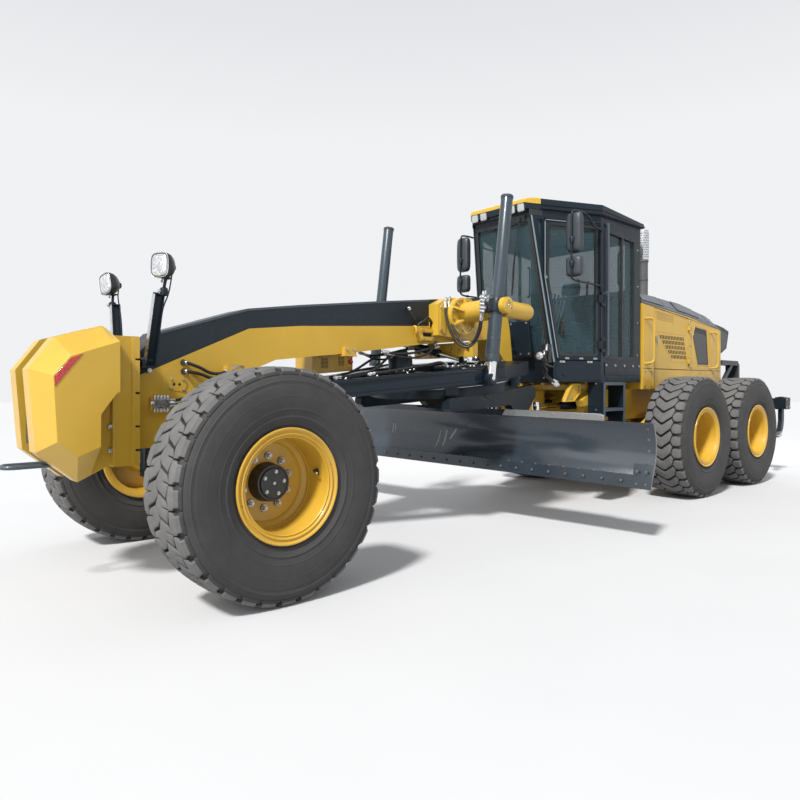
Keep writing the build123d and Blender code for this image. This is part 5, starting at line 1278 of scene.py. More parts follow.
# wipers
wp = Part("cab_wipers", "black", "rear_frame")
for piv, tip, blade in ((FP(0.26, 0.03, 0.020), FP(0.10, 0.62, 0.022), (FP(0.16, 0.36, 0.014), FP(0.055, 0.86, 0.014))), (FP(-0.20, 1.50, 0.020), FP(-0.16, 0.95, 0.022), (FP(-0.22, 1.10, 0.014), FP(-0.11, 0.74, 0.014)))):
    wp.tube([piv, piv + (tip - piv) * 0.5 + FAX[2] * 0.008, tip], 0.006, n=8)
    wp.cyl(piv - FAX[2] * 0.022, piv + FAX[2] * 0.010, 0.020, n=18)
    a, b = blade
    dd = (b - a).normalized()
    side_v = dd.cross(FAX[2]).normalized()
    L = (b - a).length
    wp.frame_box(a, (side_v, FAX[2], dd), (-0.005, 0.000, 0.0), (0.005, 0.010, L))
    wp.frame_box(a, (side_v, FAX[2], dd), (-0.0015, -0.0105, 0.006), (0.0015, 0.001, L - 0.006))
    wp.cyl(tip - FAX[2] * 0.010, tip + FAX[2] * 0.005, 0.008, n=12)
wp.prism(FP(0, 0, 0), (FAX[0], -FAX[1], FAX[2]), rounded([(0.160, -0.012), (0.340, -0.012), (0.340, 0.050), (0.160, 0.050)], 0.015), 0.002, 0.016)
wp.done(smooth=40)

# ------------------------------------------------------------------ centre
def in_ring(c, x0, x1):
    """Faces of the yoke round the lift cylinder."""
    ya = 2.55 + (c.z - 1.43) / (3.19 - 1.43) * (2.79 - 2.55) + STA0
    return x0 < abs(c.x) < x1 and math.hypot(abs(c.x) - 0.860, c.y - ya) < 0.0872 and 2.03 < c.z < 2.21


add_slot(NODES["lift_saddle"], "navy", lambda c, n: in_ring(c, 0.77, 0.932) and c.y < STA0 + 2.72)
add_slot(NODES["lift_rods"], "navy", lambda c, n: c.z < 1.60)
ly, lb2, ln_, lh, lf = (Part("saddle_ribs", "yellow", "front_frame"), Part("saddle_bolts", "zinc", "front_frame"), Part("saddle_caps", "yellow", "front_frame"),
                        Part("saddle_hoses", "hose", "front_frame"), Part("saddle_fittings", "silver", "front_frame"))
lv = Part("saddle_valves", "silver", "front_frame")
for s in (1, -1):
    # hub flange: rim, ribs and bolt circle
    o = S(s * 0.3595, 2.720, 2.070)
    ly.lathe(o, AX * s, [(-0.002, 0.188), (0.008, 0.188), (0.010, 0.182), (0.010, 0.168), (0.002, 0.164), (-0.002, 0.164)], 56, closed=True)
    for i in range(10):
        a = 2 * math.pi * (i + 0.5) / 10
        q = AY * math.cos(a) + AZ * math.sin(a)
        lb2.hexbolt(o + q * 0.146, AX * s, 0.0105, 0.012)
    for i in range(5):
        a = math.radians(-35 + 62 * i)
        q, t = AY * math.cos(a) + AZ * math.sin(a), -AY * math.sin(a) + AZ * math.cos(a)
        ly.prism(o, (q, AX * s, t), [(0.090, -0.002), (0.180, -0.002), (0.178, 0.012), (0.112, 0.075), (0.090, 0.085)], -0.010, 0.010)
    # weld bead and grease line on the arm, cap with three bolts
    ly.lathe(S(s * 0.755, 2.760, 2.1195), AX * s, [(-0.030, 0.1045), (-0.024, 0.110), (0.004, 0.110), (0.008, 0.1040)], 48)
    yo = 2.55 + (2.120 - 1.43) / (3.19 - 1.43) * 0.24
    ln_.lathe(S(s * 0.990, yo, 2.120), AX * s, [(-0.002, 0.0), (-0.002, 0.070), (0.006, 0.070), (0.010, 0.064), (0.010, 0.030), (0.004, 0.026), (0.004, 0.0)], 40)
    for i in range(3):
        a = math.radians(90 + 120 * i)
        lb2.hexbolt(S(s * 0.999, yo, 2.120) + (AY * math.cos(a) + AZ * math.sin(a)) * 0.047, AX * s, 0.009, 0.009)
    lb2.lathe(S(s * 0.994, yo, 2.120), AX * s, [(0.0, 0.0), (0.0, 0.010), (0.006, 0.008), (0.012, 0.005), (0.013, 0.0)], 12)
    # lock barrel: end ring
    ln_.lathe(S(s * 0.860, 3.118, 2.094), AY, [(0.0, 0.0), (0.0, 0.058), (0.004, 0.054), (0.006, 0.020), (0.006, 0.0)], 36)
    # boxed plates behind the hub
    ly.side(rounded([(2.440, 1.905), (2.440, 2.155), (2.520, 2.205), (2.520, 1.885)], 0.02), s * 0.2995, s * 0.3090)
    for y, z in ((2.455, 1.925), (2.455, 2.140), (2.960, 1.930), (2.960, 2.170)):
        lb2.hexbolt(S(s * 0.3090 if y < 2.6 else s * 0.3000, y, z), AX * s, 0.0095, 0.010)
    # loops of hose from the neck to the lift cylinder's valve
    for r, pts in ((0.0135, [(0.2, 2.574, 2.183), (0.22, 2.568, 2.067), (0.26, 2.571, 1.941), (0.31, 2.593, 1.837), (0.37, 2.618, 1.764), (0.45, 2.651, 1.751), (0.54, 2.67, 1.808), (0.62, 2.669, 1.923), (0.68, 2.629, 2.045)]),
                   (0.0120, [(0.2, 2.624, 2.193), (0.22, 2.622, 2.071), (0.262, 2.622, 1.955), (0.314, 2.638, 1.86), (0.37, 2.648, 1.791), (0.45, 2.666, 1.768), (0.54, 2.655, 1.817), (0.62, 2.645, 1.922), (0.685, 2.611, 2.034)])):
        if s < 0:
            continue
        dx = 0.105
        pp = [S(s * (a + (dx if a < 0.4 else dx * max(0.0, (0.68 - a) / 0.28))), b - 0.06 * (1 if a < 0.4 else max(0.0, (0.68 - a) / 0.28)), c) for a, b, c in pts]
        hose(lh, lf, pp, r, per=6)
        lf.tube([pp[0], pp[0] + Vector((0, 0.006, 0.045)), pp[0] + Vector((-s * 0.012, 0.030, 0.065)), pp[0] + Vector((-s * 0.05, 0.060, 0.066))], 0.0105, n=10, per=5)
    # finned valve block between the arm and the cylinder
    lv.box(s * 0.700, s * 0.752, 2.585, 2.650, 2.060, 2.240)
    for k in range(5):
        lv.lathe(S(s * 0.726, 2.585, 2.078 + 0.034 * k), -AY, [(0, 0.012), (0.010, 0.012), (0.010, 0.0145), (0.018, 0.0145), (0.018, 0.011), (0.026, 0.011), (0.026, 0.014), (0.032, 0.012), (0.033, 0.0)], 12)
    for x in (0.712, 0.740):
        lv.lathe(S(s * x, 2.617, 2.240), AZ, [(0, 0.010), (0.012, 0.010), (0.012, 0.013), (0.026, 0.013), (0.026, 0.008), (0.040, 0.008), (0.041, 0.0)], 12)
    lf.tube([S(s * 0.752, 2.620, 2.205), S(s * 0.775, 2.618, 2.215), S(s * 0.782, 2.640, 2.232), S(s * 0.785, 2.662, 2.236)], 0.008, n=8)
    lb2.box(s * 0.745, s * 0.760, 2.600, 2.640, 2.10, 2.13)
ly.done(bevel=0.0015)
lb2.done()
ln_.done(smooth=38)
lh.done(smooth=45)
lf.done(smooth=35)
lv.done(smooth=35, bevel=0.001)

# lift cylinders: head caps, gland, ports and pipes
lc, lp = Part("lift_barrel_rings", "lift", "front_frame"), Part("lift_barrel_bolts", "zinc", "front_frame")
la = Vector((0, 0.24, 1.76)).normalized()
for s in (1, -1):
    top, base = S(s * 0.860, 2.790, 3.190), S(s * 0.860, 2.5732, 1.600)
    lc.lathe(top, la, [(-0.030, 0.0575), (-0.028, 0.0610), (-0.004, 0.0615), (0.000, 0.0570), (0.001, 0.0)], 40)
    for i in range(6):
        a = math.radians(60 * i + 20)
        u = la.orthogonal().normalized()
        w = la.cross(u)
        lp.hexbolt(top + la * 0.001 + (u * math.cos(a) + w * math.sin(a)) * 0.043, la, 0.007, 0.008)
    lc.lathe(base, la, [(-0.006, 0.0455), (-0.006, 0.0600), (0.000, 0.0635), (0.060, 0.0640), (0.064, 0.0585)], 40)
    lc.lathe(base + la * 0.20, la, [(0.0, 0.0578), (0.002, 0.0605), (0.020, 0.0605), (0.022, 0.0578)], 40)
    pipe = [base + la * 0.05 + Vector((-s * 0.060, -0.012, 0)), base + la * 0.07 + Vector((-s * 0.073, -0.014, 0)), base + la * 0.16 + Vector((-s * 0.074, -0.014, 0)), base + la * 0.38 + Vector((-s * 0.072, -0.012, 0)), base + la * 0.42 + Vector((-s * 0.074, -0.03, 0))]
    lc.tube(pipe, 0.0085, n=10)
    lp.cyl(base + la * 0.03 + Vector((-s * 0.055, -0.010, 0)), base + la * 0.065 + Vector((-s * 0.062, -0.012, 0)), 0.014, n=6)
lc.done(smooth=40)
lp.done()
lr = Part("lift_rod_eyes", "navy", "lift_rods")
lg = Part("lift_rod_caps", "zinc", "lift_rods")
for s in (1, -1):
    for q in (-1, 1):
        lr.lathe(S(s * 0.860 + q * 0.030, 2.550, 1.430), AX * q, [(-0.001, 0.0), (-0.001, 0.055), (0.007, 0.055), (0.010, 0.050), (0.010, 0.030), (0.006, 0.028), (0.006, 0.0)], 32)
        lg.lathe(S(s * 0.860 + q * 0.036, 2.550, 1.430), AX * q, [(0.0, 0.0), (0.0, 0.016), (0.004, 0.014), (0.0045, 0.0)], 16)
lr.done(smooth=40)
lg.done(smooth=35)

# drawbar: gear box, hoses, cross tubes; frame axes as in the CAD
DO = S(0, 0.550, 1.270)
DY, DZ = Vector((0, 0.99452, 0.10453)), Vector((0, -0.10453, 0.99452))


def DB(x, y, z):
    return DO + AX * x + DY * y + DZ * z


db, dn, dh, dz_, dy_ = (Part("drawbar_bolts", "zinc", "drawbar"), Part("drawbar_plates", "navy", "drawbar"), Part("drawbar_hoses", "hose", "drawbar"),
                        Part("drawbar_fittings", "silver", "drawbar"), Part("drawbar_motor", "black", "drawbar"))
dn.lathe(DB(0, 1.66, 0.058), DZ, [(0, 0.118), (0.0, 0.150), (0.014, 0.152), (0.018, 0.124)], 40)
dn.lathe(DB(0, 1.66, 0.200), DZ, [(0, 0.119), (0.003, 0.126), (0.012, 0.124), (0.014, 0.082)], 40)
for i in range(12):
    a = 2 * math.pi * i / 12
    db.hexbolt(DB(0.137 * math.cos(a), 1.66 + 0.137 * math.sin(a), 0.076), DZ, 0.009, 0.010)
    if i % 2:
        db.hexbolt(DB(0.105 * math.cos(a), 1.66 + 0.105 * math.sin(a), 0.214), DZ, 0.0085, 0.010)
dy_.lathe(DB(0, 1.66, 0.262), DZ, [(0, 0.078), (0.002, 0.080), (0.010, 0.080), (0.014, 0.070), (0.014, 0.0)], 32)
for s in (1, -1):
    dy_.lathe(DB(s * 0.050, 1.60, 0.245), -DY, [(-0.03, 0.0), (-0.03, 0.028), (0.030, 0.028), (0.034, 0.020), (0.034, 0.0)], 20)
    hose(dh, dz_, [DB(s * 0.050, 1.555, 0.245), DB(s * 0.075, 1.48, 0.255), DB(s * 0.120, 1.36, 0.200), DB(s * 0.150, 1.18, 0.120), DB(s * 0.140, 0.98, 0.090), DB(s * 0.090, 0.80, 0.092)], 0.0125)
    hose(dh, dz_, [DB(s * 0.300, 2.00, 0.10), DB(s * 0.330, 1.88, 0.135), DB(s * 0.370, 1.62, 0.120), DB(s * 0.330, 1.36, 0.110), DB(s * 0.210, 1.10, 0.094)], 0.0115)
    # top plates along the beams, with their bolts
    o_ = DB(0, 0, 0.070)
    q = [(0.125, 0.36), (0.560, 1.40), (0.640, 1.40), (0.175, 0.30)]
    dn.prism(o_, (AX * s, DY, DZ), q, -0.001, 0.008)
    q = [(0.690, 1.86), (0.690, 2.26), (0.780, 2.27), (0.780, 1.86)]
    dn.prism(o_, (AX * s, DY, DZ), q, -0.001, 0.010)
    for x, y in ((0.715, 1.90), (0.755, 1.90), (0.715, 2.23), (0.755, 2.23), (0.715, 2.06), (0.755, 2.06)):
        db.hexbolt(DB(s * x, y, 0.080), DZ, 0.0105, 0.011)
    for k in range(4):
        t = (k + 0.5) / 4
        db.hexbolt(DB(s * (0.150 + 0.45 * t), 0.33 + 1.05 * t, 0.078), DZ, 0.0095, 0.010)
    # slide shoes that hold the ring
    for y in (1.72, 2.36):
        dn.prism(DB(s * 0.66, y, 0.070), (AX, DY, DZ), rounded([(-0.055, -0.07), (0.055, -0.07), (0.055, 0.07), (-0.055, 0.07)], 0.012), -0.001, 0.026)
        for x, yy in ((-0.03, -0.04), (0.03, -0.04), (-0.03, 0.04), (0.03, 0.04)):
            db.hexbolt(DB(s * 0.66 + x, y + yy, 0.096), DZ, 0.009, 0.011)
    # side ribs on the beam
    dn.prism(DB(0, 0, 0), (AX * s, DY, DZ), [(0.115, 0.115), (0.118, 0.110), (0.812, 1.842), (0.805, 1.850)], 0.052, 0.0712)
    dn.prism(DB(0, 0, 0), (AX * s, DY, DZ), [(0.115, 0.115), (0.118, 0.110), (0.812, 1.842), (0.805, 1.850)], -0.0712, -0.052)
    dn.prism(DB(0, 0, 0), (AX * s, DY, DZ), [(0.800, 1.850), (0.812, 1.845), (0.812, 2.300), (0.800, 2.300)], 0.052, 0.0712)
    dn.prism(DB(0, 0, 0), (AX * s, DY, DZ), [(0.800, 1.850), (0.812, 1.845), (0.812, 2.300), (0.800, 2.300)], -0.0712, -0.052)
dn.cyl(DB(-0.52, 2.62, 0.02), DB(0.52, 2.62, 0.02), 0.038, n=24)
for k in range(5):
    x = -0.30 + 0.15 * k
    dz_.lathe(DB(x, 2.62, 0.055), DZ, [(0, 0.012), (0.012, 0.012), (0.012, 0.016), (0.028, 0.016), (0.028, 0.010), (0.036, 0.0)], 12)
db.done()
dn.done(bevel=0.0015)
dh.done(smooth=45)
dz_.done(smooth=35)
dy_.done(smooth=40)

# ring: worn upper edge, teeth inside, bolts
rw2, rbz, rn = Part("circle_worn_edge", "worn", "circle"), Part("circle_bolts", "zinc", "circle"), Part("circle_teeth", "cast", "circle")
CO = DB(0, 2.2, 0)
rw2.lathe(CO, DZ, [(-0.0795, 0.7605), (-0.0782, 0.7595), (-0.0782, 0.700), (-0.0802, 0.700)], 96)
rw2.lathe(CO, DZ, [(-0.1090, 0.7602), (-0.1090, 0.7618), (-0.0800, 0.7618), (-0.0785, 0.7602)], 96)
for i in range(64):
    a = 2 * math.pi * i / 64
    u, w = AX * math.cos(a) + DY * math.sin(a), -AX * math.sin(a) + DY * math.cos(a)
    rn.prism(CO, (u, w, DZ), [(0.642, -0.020), (0.642, 0.020), (0.622, 0.010), (0.620, -0.010)], -0.178, -0.100)
for i in range(24):
    a = 2 * math.pi * (i + 0.5) / 24
    rbz.hexbolt(CO + (AX * math.cos(a) + DY * math.sin(a)) * 0.680 - DZ * 0.0795, DZ, 0.009, 0.006)
rw2.done(smooth=40)
rn.done()
rbz.done()

# ------------------------------------------------------------------- blade
BO = S(-0.044807, 3.200028, 0.665967)
BX, BY, BZ = Vector((0.994380, 0.103805, -0.020861)), Vector((-0.103828, 0.994597, 0.0)), Vector((0.020748, 0.002166, 0.999783))


def arc_face(t):
    """(y, z, ny, nz) on the front face of the blade, t from 0 at the edge to 1 at the top."""
    (x1, y1), (x2, y2), (x3, y3) = (-0.232, -0.096), (-0.130, 0.134), (-0.200, 0.420)
    d = 2 * (x1 * (y2 - y3) + x2 * (y3 - y1) + x3 * (y1 - y2))
    cx = ((x1 ** 2 + y1 ** 2) * (y2 - y3) + (x2 ** 2 + y2 ** 2) * (y3 - y1) + (x3 ** 2 + y3 ** 2) * (y1 - y2)) / d
    cy = ((x1 ** 2 + y1 ** 2) * (x3 - x2) + (x2 ** 2 + y2 ** 2) * (x1 - x3) + (x3 ** 2 + y3 ** 2) * (x2 - x1)) / d
    r = math.hypot(x1 - cx, y1 - cy)
    a0, a1 = math.atan2(y1 - cy, x1 - cx), math.atan2(y3 - cy, x3 - cx)
    a = a0 + (a1 - a0) * t
    return cx + r * math.cos(a), cy + r * math.sin(a), -math.cos(a), -math.sin(a)


def BF(x, t, out=0.0):
    y, z, ny, nz = arc_face(t)
    return BO + BX * x + BY * (y + ny * out) + BZ * (z + nz * out), (BY * ny + BZ * nz)


bb, bs, bw = Part("blade_bolts", "cast", "moldboard"), Part("blade_marks", "steel", "moldboard"), Part("blade_guard_plate", "worn", "moldboard")
be = Part("blade_edge_bolts", "zinc", "moldboard")


def flat_head(part, p, d, r):
    part.lathe(p, d, [(-0.001, 0.0), (-0.001, r), (0.002, r * 0.96), (0.004, r * 0.6), (0.0042, 0.0)], 16)


sgn = 1 if BF(0, 0.5)[1].dot(BY) < 0 else -1
for i in range(26):
    x = -1.90 + 3.80 * i / 25
    p, n = BF(x, 0.115)
    flat_head(bb, p + n * sgn * 0.0005, n * sgn, 0.014)
for i in range(22):
    x = -1.88 + 3.76 * i / 21
    flat_head(bb, BO + BX * x + BY * -0.2505 + BZ * -0.095, -BY, 0.013)
for s in (1, -1):
    for t in (0.16, 0.34, 0.52, 0.70, 0.88):
        p, n = BF(s * 2.075, t)
        flat_head(bb, p + n * sgn * 0.0005, n * sgn, 0.015)
    for x, z in ((2.02, -0.11), (2.10, -0.11), (2.02, 0.00), (2.10, 0.00)):
        flat_head(bb, BO + BX * s * x + BY * -0.2505 + BZ * z, -BY, 0.013)
# rubbed marks left where the blade was held
for x0, t0, x1, t1, w in ((-0.98, 0.44, -0.96, 0.66, 0.012), (-0.94, 0.44, -0.925, 0.66, 0.010), (-0.30, 0.22, -0.24, 0.60, 0.016), (-0.20, 0.26, -0.16, 0.62, 0.022), (-0.12, 0.42, -0.03, 0.64, 0.030)):
    rings = []
    for k in range(7):
        f = k / 6
        ww = w * math.sin(math.pi * (0.12 + 0.76 * f))
        p, n = BF(x0 + (x1 - x0) * f, t0 + (t1 - t0) * f)
        n = n * sgn
        rings.append([p - BX * ww / 2 + n * 0.0002, p - BX * ww / 2 + n * 0.0008, p + BX * ww / 2 + n * 0.0008, p + BX * ww / 2 + n * 0.0002])
    loft(bs, rings)
# worn guard plate standing on the top edge
top_y, top_z = -0.200, 0.478
gp = [(0.60, 0.418), (0.64, 0.480), (1.650, 0.480), (1.690, 0.470), (1.690, 0.420)]
bw.prism(BO + BY * -0.2065, (BX, BZ, BY), gp, 0.0, 0.008)
bw.frame_box(BO, (BX, BY, BZ), (0.64, -0.2065, 0.4785), (1.650, -0.175, 0.4815))
for x, z in ((0.70, 0.450), (1.18, 0.452), (1.63, 0.450)):
    be.hexbolt(BO + BX * x + BY * -0.2065 + BZ * z, -BY, 0.011, 0.008)
bb.done(smooth=40)
bs.done(smooth=60)
bw.done(bevel=0.002)
be.done()

# ---------------------------------------------- hoses behind the neck, links
kf, ky = Part("frame_hose_fittings", "silver", "rear_frame"), Part("under_neck_hoses", "hose", "front_frame")
kg = Part("under_neck_fittings", "silver", "front_frame")
for s in (1, -1):
    for r, pts in ((0.0125, [(0.18, 1.831, 1.690), (0.200, 1.96, 1.672), (0.205, 2.174, 1.690), (0.205, 2.369, 1.735), (0.19, 2.514, 1.760)]),
                   (0.0105, [(0.18, 1.900, 1.672), (0.215, 2.03, 1.640), (0.22, 2.20, 1.645), (0.215, 2.38, 1.700), (0.19, 2.50, 1.800)])):
        hose(ky, kg, [S(s * a, b, c) for a, b, c in pts], r)
kh2 = Part("frame_hoses", "hose", "rear_frame")
for s in (1, -1):
    for r, pts in ((0.0125, [(0.530, 3.905, 1.800), (0.532, 3.875, 1.70), (0.536, 3.862, 1.60), (0.545, 3.870, 1.51), (0.575, 3.900, 1.455), (0.600, 3.97, 1.42)]),
                   (0.0125, [(0.500, 3.905, 1.740), (0.504, 3.872, 1.64), (0.512, 3.864, 1.55), (0.540, 3.872, 1.475), (0.585, 3.910, 1.430), (0.610, 3.98, 1.39)]),
                   (0.0110, [(0.515, 3.905, 1.660), (0.520, 3.880, 1.58), (0.535, 3.880, 1.50), (0.565, 3.900, 1.43), (0.600, 3.950, 1.385)])):
        hose(kh2, kf, [S(s * a, b, c) for a, b, c in pts], r)
    kh2.box(s * 0.475, s * 0.555, 3.900, 3.960, 1.630, 1.830)
kg.done(smooth=35)
ky.done(smooth=45)
kh2.done(smooth=45)
kf.done(smooth=35)
kb = Part("frame_slanted_beams", "yellow", "rear_frame")
kb2 = Part("frame_beam_bolts", "zinc", "rear_frame")
for s in (1, -1):
    kb.prism(S(0, 0, 0), (AY, AZ, AX), [(4.130, 1.190), (4.285, 1.396), (4.458, 1.397), (4.458, 1.290), (4.325, 1.190)], s * 0.560, s * 0.600)
    strip(kb, S(0, 0, 0), (AY, AZ, AX * s), [(4.130, 1.190), (4.285, 1.396), (4.458, 1.397), (4.458, 1.290), (4.325, 1.190)], 0.014, 0.598, 0.612)
    for y, z in ((4.20, 1.225), (4.28, 1.225), (4.42, 1.365), (4.42, 1.320)):
        kb2.hexbolt(S(s * 0.600, y, z), AX * s, 0.009, 0.009)
kb.done(bevel=0.002)
kb2.done()

# --------------------------------------------------------------- engine hood
# darker copy of the yellow paint, painted as the shade in the recess of the engine doors
M["yellow_recess_shade"] = paint("paint_yellow_shade", (0.40, 0.235, 0.022))


def grille_mat():
    m = Nodes("grille_mesh")
    v = m.new("ShaderNodeTexVoronoi")
    v.inputs["Scale"].default_value = 62
    v.inputs["Randomness"].default_value = 0.0
    m.link(m.co, v.inputs["Vector"])
    # dark round cells painted as the shade seen through the mesh's holes, on a lighter web
    m.link(m.ramp(v.outputs["Distance"], [(0.30, (0.012, 0.012, 0.012)), (0.42, (0.085, 0.085, 0.088))]), m.b.inputs["Base Color"])
    m.b.inputs["Roughness"].default_value = 0.55
    m.bump((v.outputs["Distance"], 0.5, 0.002))
    return m.mat


M["grille"] = grille_mat()
CROWS = [(5.600, 2.415, 2.575, 0.600), (6.200, 2.374, 2.565, 0.600), (6.884, 2.326, 2.533, 0.600), (7.820, 2.221, 2.425, 0.590), (7.965, 2.187, 2.388, 0.580)]


def crow(sta):
    for (a0, e0, t0, w0), (a1, e1, t1, w1) in zip(CROWS, CROWS[1:]):
        if sta <= a1 + 1e-6:
            f = (sta - a0) / (a1 - a0)
            return e0 + f * (e1 - e0), t0 + f * (t1 - t0), w0 + f * (w1 - w0)
    return CROWS[-1][1:]


def CV(s, sta, f, out=0.0):
    """Point on the sloping side of the cover, f from its lower to its upper edge."""
    e, t, w = crow(sta)
    return S(s * (0.770 + (w - 0.770) * f + 0.66 * out), sta, e + 0.020 + (t - e - 0.020) * f + 0.75 * out)


def CT(x, sta, out=0.0):
    return S(x, sta, crow(sta)[1] + out)


def slab(part, fn, quad, h0, h1, n=6):
    """A plate over the four (a, b) corners, lifted along the surface by fn(a, b, height)."""
    (a0, b0), (a1, b1), (a2, b2), (a3, b3) = quad
    rings = []
    for i in range(n + 1):
        f = i / n
        lo, hi = (a0 + (a1 - a0) * f, b0 + (b1 - b0) * f), (a3 + (a2 - a3) * f, b3 + (b2 - b3) * f)
        rings.append([fn(*lo, h0), fn(*lo, h1), fn(*hi, h1), fn(*hi, h0)])
    loft(part, rings)


pan, sea, bol = Part("cover_panels", "cover", "rear_frame"), Part("cover_seams", "void", "rear_frame"), Part("cover_bolts", "zinc", "rear_frame")
for s in (1, -1):
    side_fn = lambda a, b, h: CV(s, a, b, h)
    for a0, a1, c0, c1 in ((5.640, 6.190, 0.04, 0.05), (6.600, 7.250, 0.05, 0.05)):
        slab(sea, side_fn, [(a0 - 0.016, 0.13), (a1 + 0.016, 0.13), (a1 + c1 + 0.022, 0.955), (a0 + c0 - 0.022, 0.955)], 0.0, 0.0016)
        slab(pan, side_fn, [(a0, 0.16), (a1, 0.16), (a1 + c1, 0.93), (a0 + c0, 0.93)], -0.001, 0.012)
    for a0, a1 in ((6.280, 6.540), (7.330, 7.560), (7.600, 7.900)):
        slab(pan, side_fn, [(a0, 0.22), (a1, 0.22), (a1 + 0.03, 0.88), (a0 + 0.03, 0.88)], -0.001, 0.004)
    slab(sea, side_fn, [(7.575, 0.10), (7.585, 0.10), (7.615, 0.98), (7.605, 0.98)], 0.0, 0.0016, 2)
    for a in (6.30, 6.52, 7.35, 7.54, 7.63, 7.88):
        for f in (0.30, 0.80):
            bol.hexbolt(CV(s, a + 0.01 + 0.02 * f, f, 0.003), Vector((s * 0.66, 0, 0.75)), 0.008, 0.007)
    # seam under the cover and its lip
    sea.prism(S(0, 0, 0), (AY, AZ, AX), [(5.602, 2.4145), (7.820, 2.2205), (7.820, 2.2155), (5.602, 2.4095)], s * 0.7685, s * 0.7712)
for a0, a1 in ((5.66, 6.15), (6.24, 6.86), (6.93, 7.42)):
    for x0, x1 in ((-0.55, -0.03), (0.03, 0.55)):
        if a0 == 6.24 and x0 > 0:
            x0 = 0.40
        top_fn = lambda a, b, h: CT(b, a, h)
        slab(pan, top_fn, [(a0, x0), (a1, x0), (a1, x1), (a0, x1)], -0.001, 0.006)
        for a, b in ((a0 + 0.03, x0 + 0.03), (a1 - 0.03, x0 + 0.03), (a0 + 0.03, x1 - 0.03), (a1 - 0.03, x1 - 0.03)):
            bol.hexbolt(CT(b, a, 0.006), AZ, 0.009, 0.008)
# louvres across the top: black strips painted as the shade in the gaps between the raised slats
for k in range(9):
    a = 7.48 + 0.045 * k
    slab(sea, lambda a_, b_, h: CT(b_, a_, h), [(a, -0.48), (a + 0.020, -0.48), (a + 0.020, 0.48), (a, 0.48)], 0.0, 0.0015, 2)
    slab(pan, lambda a_, b_, h: CT(b_, a_, h), [(a + 0.021, -0.49), (a + 0.032, -0.49), (a + 0.032, 0.49), (a + 0.021, 0.49)], -0.001, 0.010, 2)
pan.done(bevel=0.002)
sea.done()
bol.done()

for side_name, s in (("left", 1), ("right", -1)):
    face = (AY, AZ, AX * s)
    o = S(0, 0, 0)
    door = "engine_door_" + side_name
    dv, dl, dy = Part("engine_door_slots_" + side_name, "void", door), Part("engine_door_latch_" + side_name, "steel", door), Part("engine_door_press_" + side_name, "yellow", door)
    dk = Part("engine_door_recess_" + side_name, "yellow_recess_shade", door)
    # five rows of slanted slots, each a thin black plate painted as the shade inside the slot
    for k in range(5):
        t = (k + 0.5) / 5
        zc = 2.043 - 0.3115 * t
        xl, xr = 6.005 + (6.412 - 6.005) * t * 0.96, 6.731 + (6.831 - 6.731) * t
        m = int((xr - xl) / 0.0420)
        for i in range(m):
            a = xl + (xr - xl) * (i + 0.5) / m
            dv.prism(o, face, [(a - 0.020, zc + 0.0235), (a + 0.002, zc + 0.0235), (a + 0.020, zc - 0.0235), (a - 0.002, zc - 0.0235)], 0.7695, 0.7712)
    # pressed frame round the slots and a fold round the door
    strip(dy, o, face, rounded([(5.955, 2.085), (6.765, 2.072), (6.868, 1.695), (6.378, 1.695)], 0.02, 3), 0.006, 0.7690, 0.7722)
    strip(dy, o, face, [(5.910, 1.600), (6.880, 1.600), (6.880, 2.295), (5.910, 2.369)], 0.010, 0.7690, 0.7715)
    # darker yellow plate painted as the shade in the recess at the top of the door
    dk.prism(o, face, [(5.945, 2.338), (6.405, 2.303), (6.430, 2.232), (5.985, 2.250)], 0.7690, 0.7710)
    strip(dy, o, face, [(5.930, 2.350), (6.415, 2.314), (6.445, 2.222), (5.970, 2.240)], 0.009, 0.7690, 0.7735)
    dl.prism(o, face, rounded([(5.922, 1.930), (5.968, 1.930), (5.968, 2.020), (5.922, 2.020)], 0.012), 0.7805, 0.7860)
    dl.prism(o, face, rounded([(5.932, 1.942), (5.958, 1.942), (5.958, 1.985), (5.932, 1.985)], 0.008), 0.7860, 0.7900)
    dl.cyl(S(s * 0.786, 5.945, 2.003), S(s * 0.7885, 5.945, 2.003), 0.007, n=16)
    for z in (1.64, 1.90, 2.22):
        dl.hexbolt(S(s * 0.7705, 6.855, z), AX * s, 0.0065, 0.006)
    dv.done()
    dl.done(bevel=0.001)
    dy.done(bevel=0.001)
    dk.done()

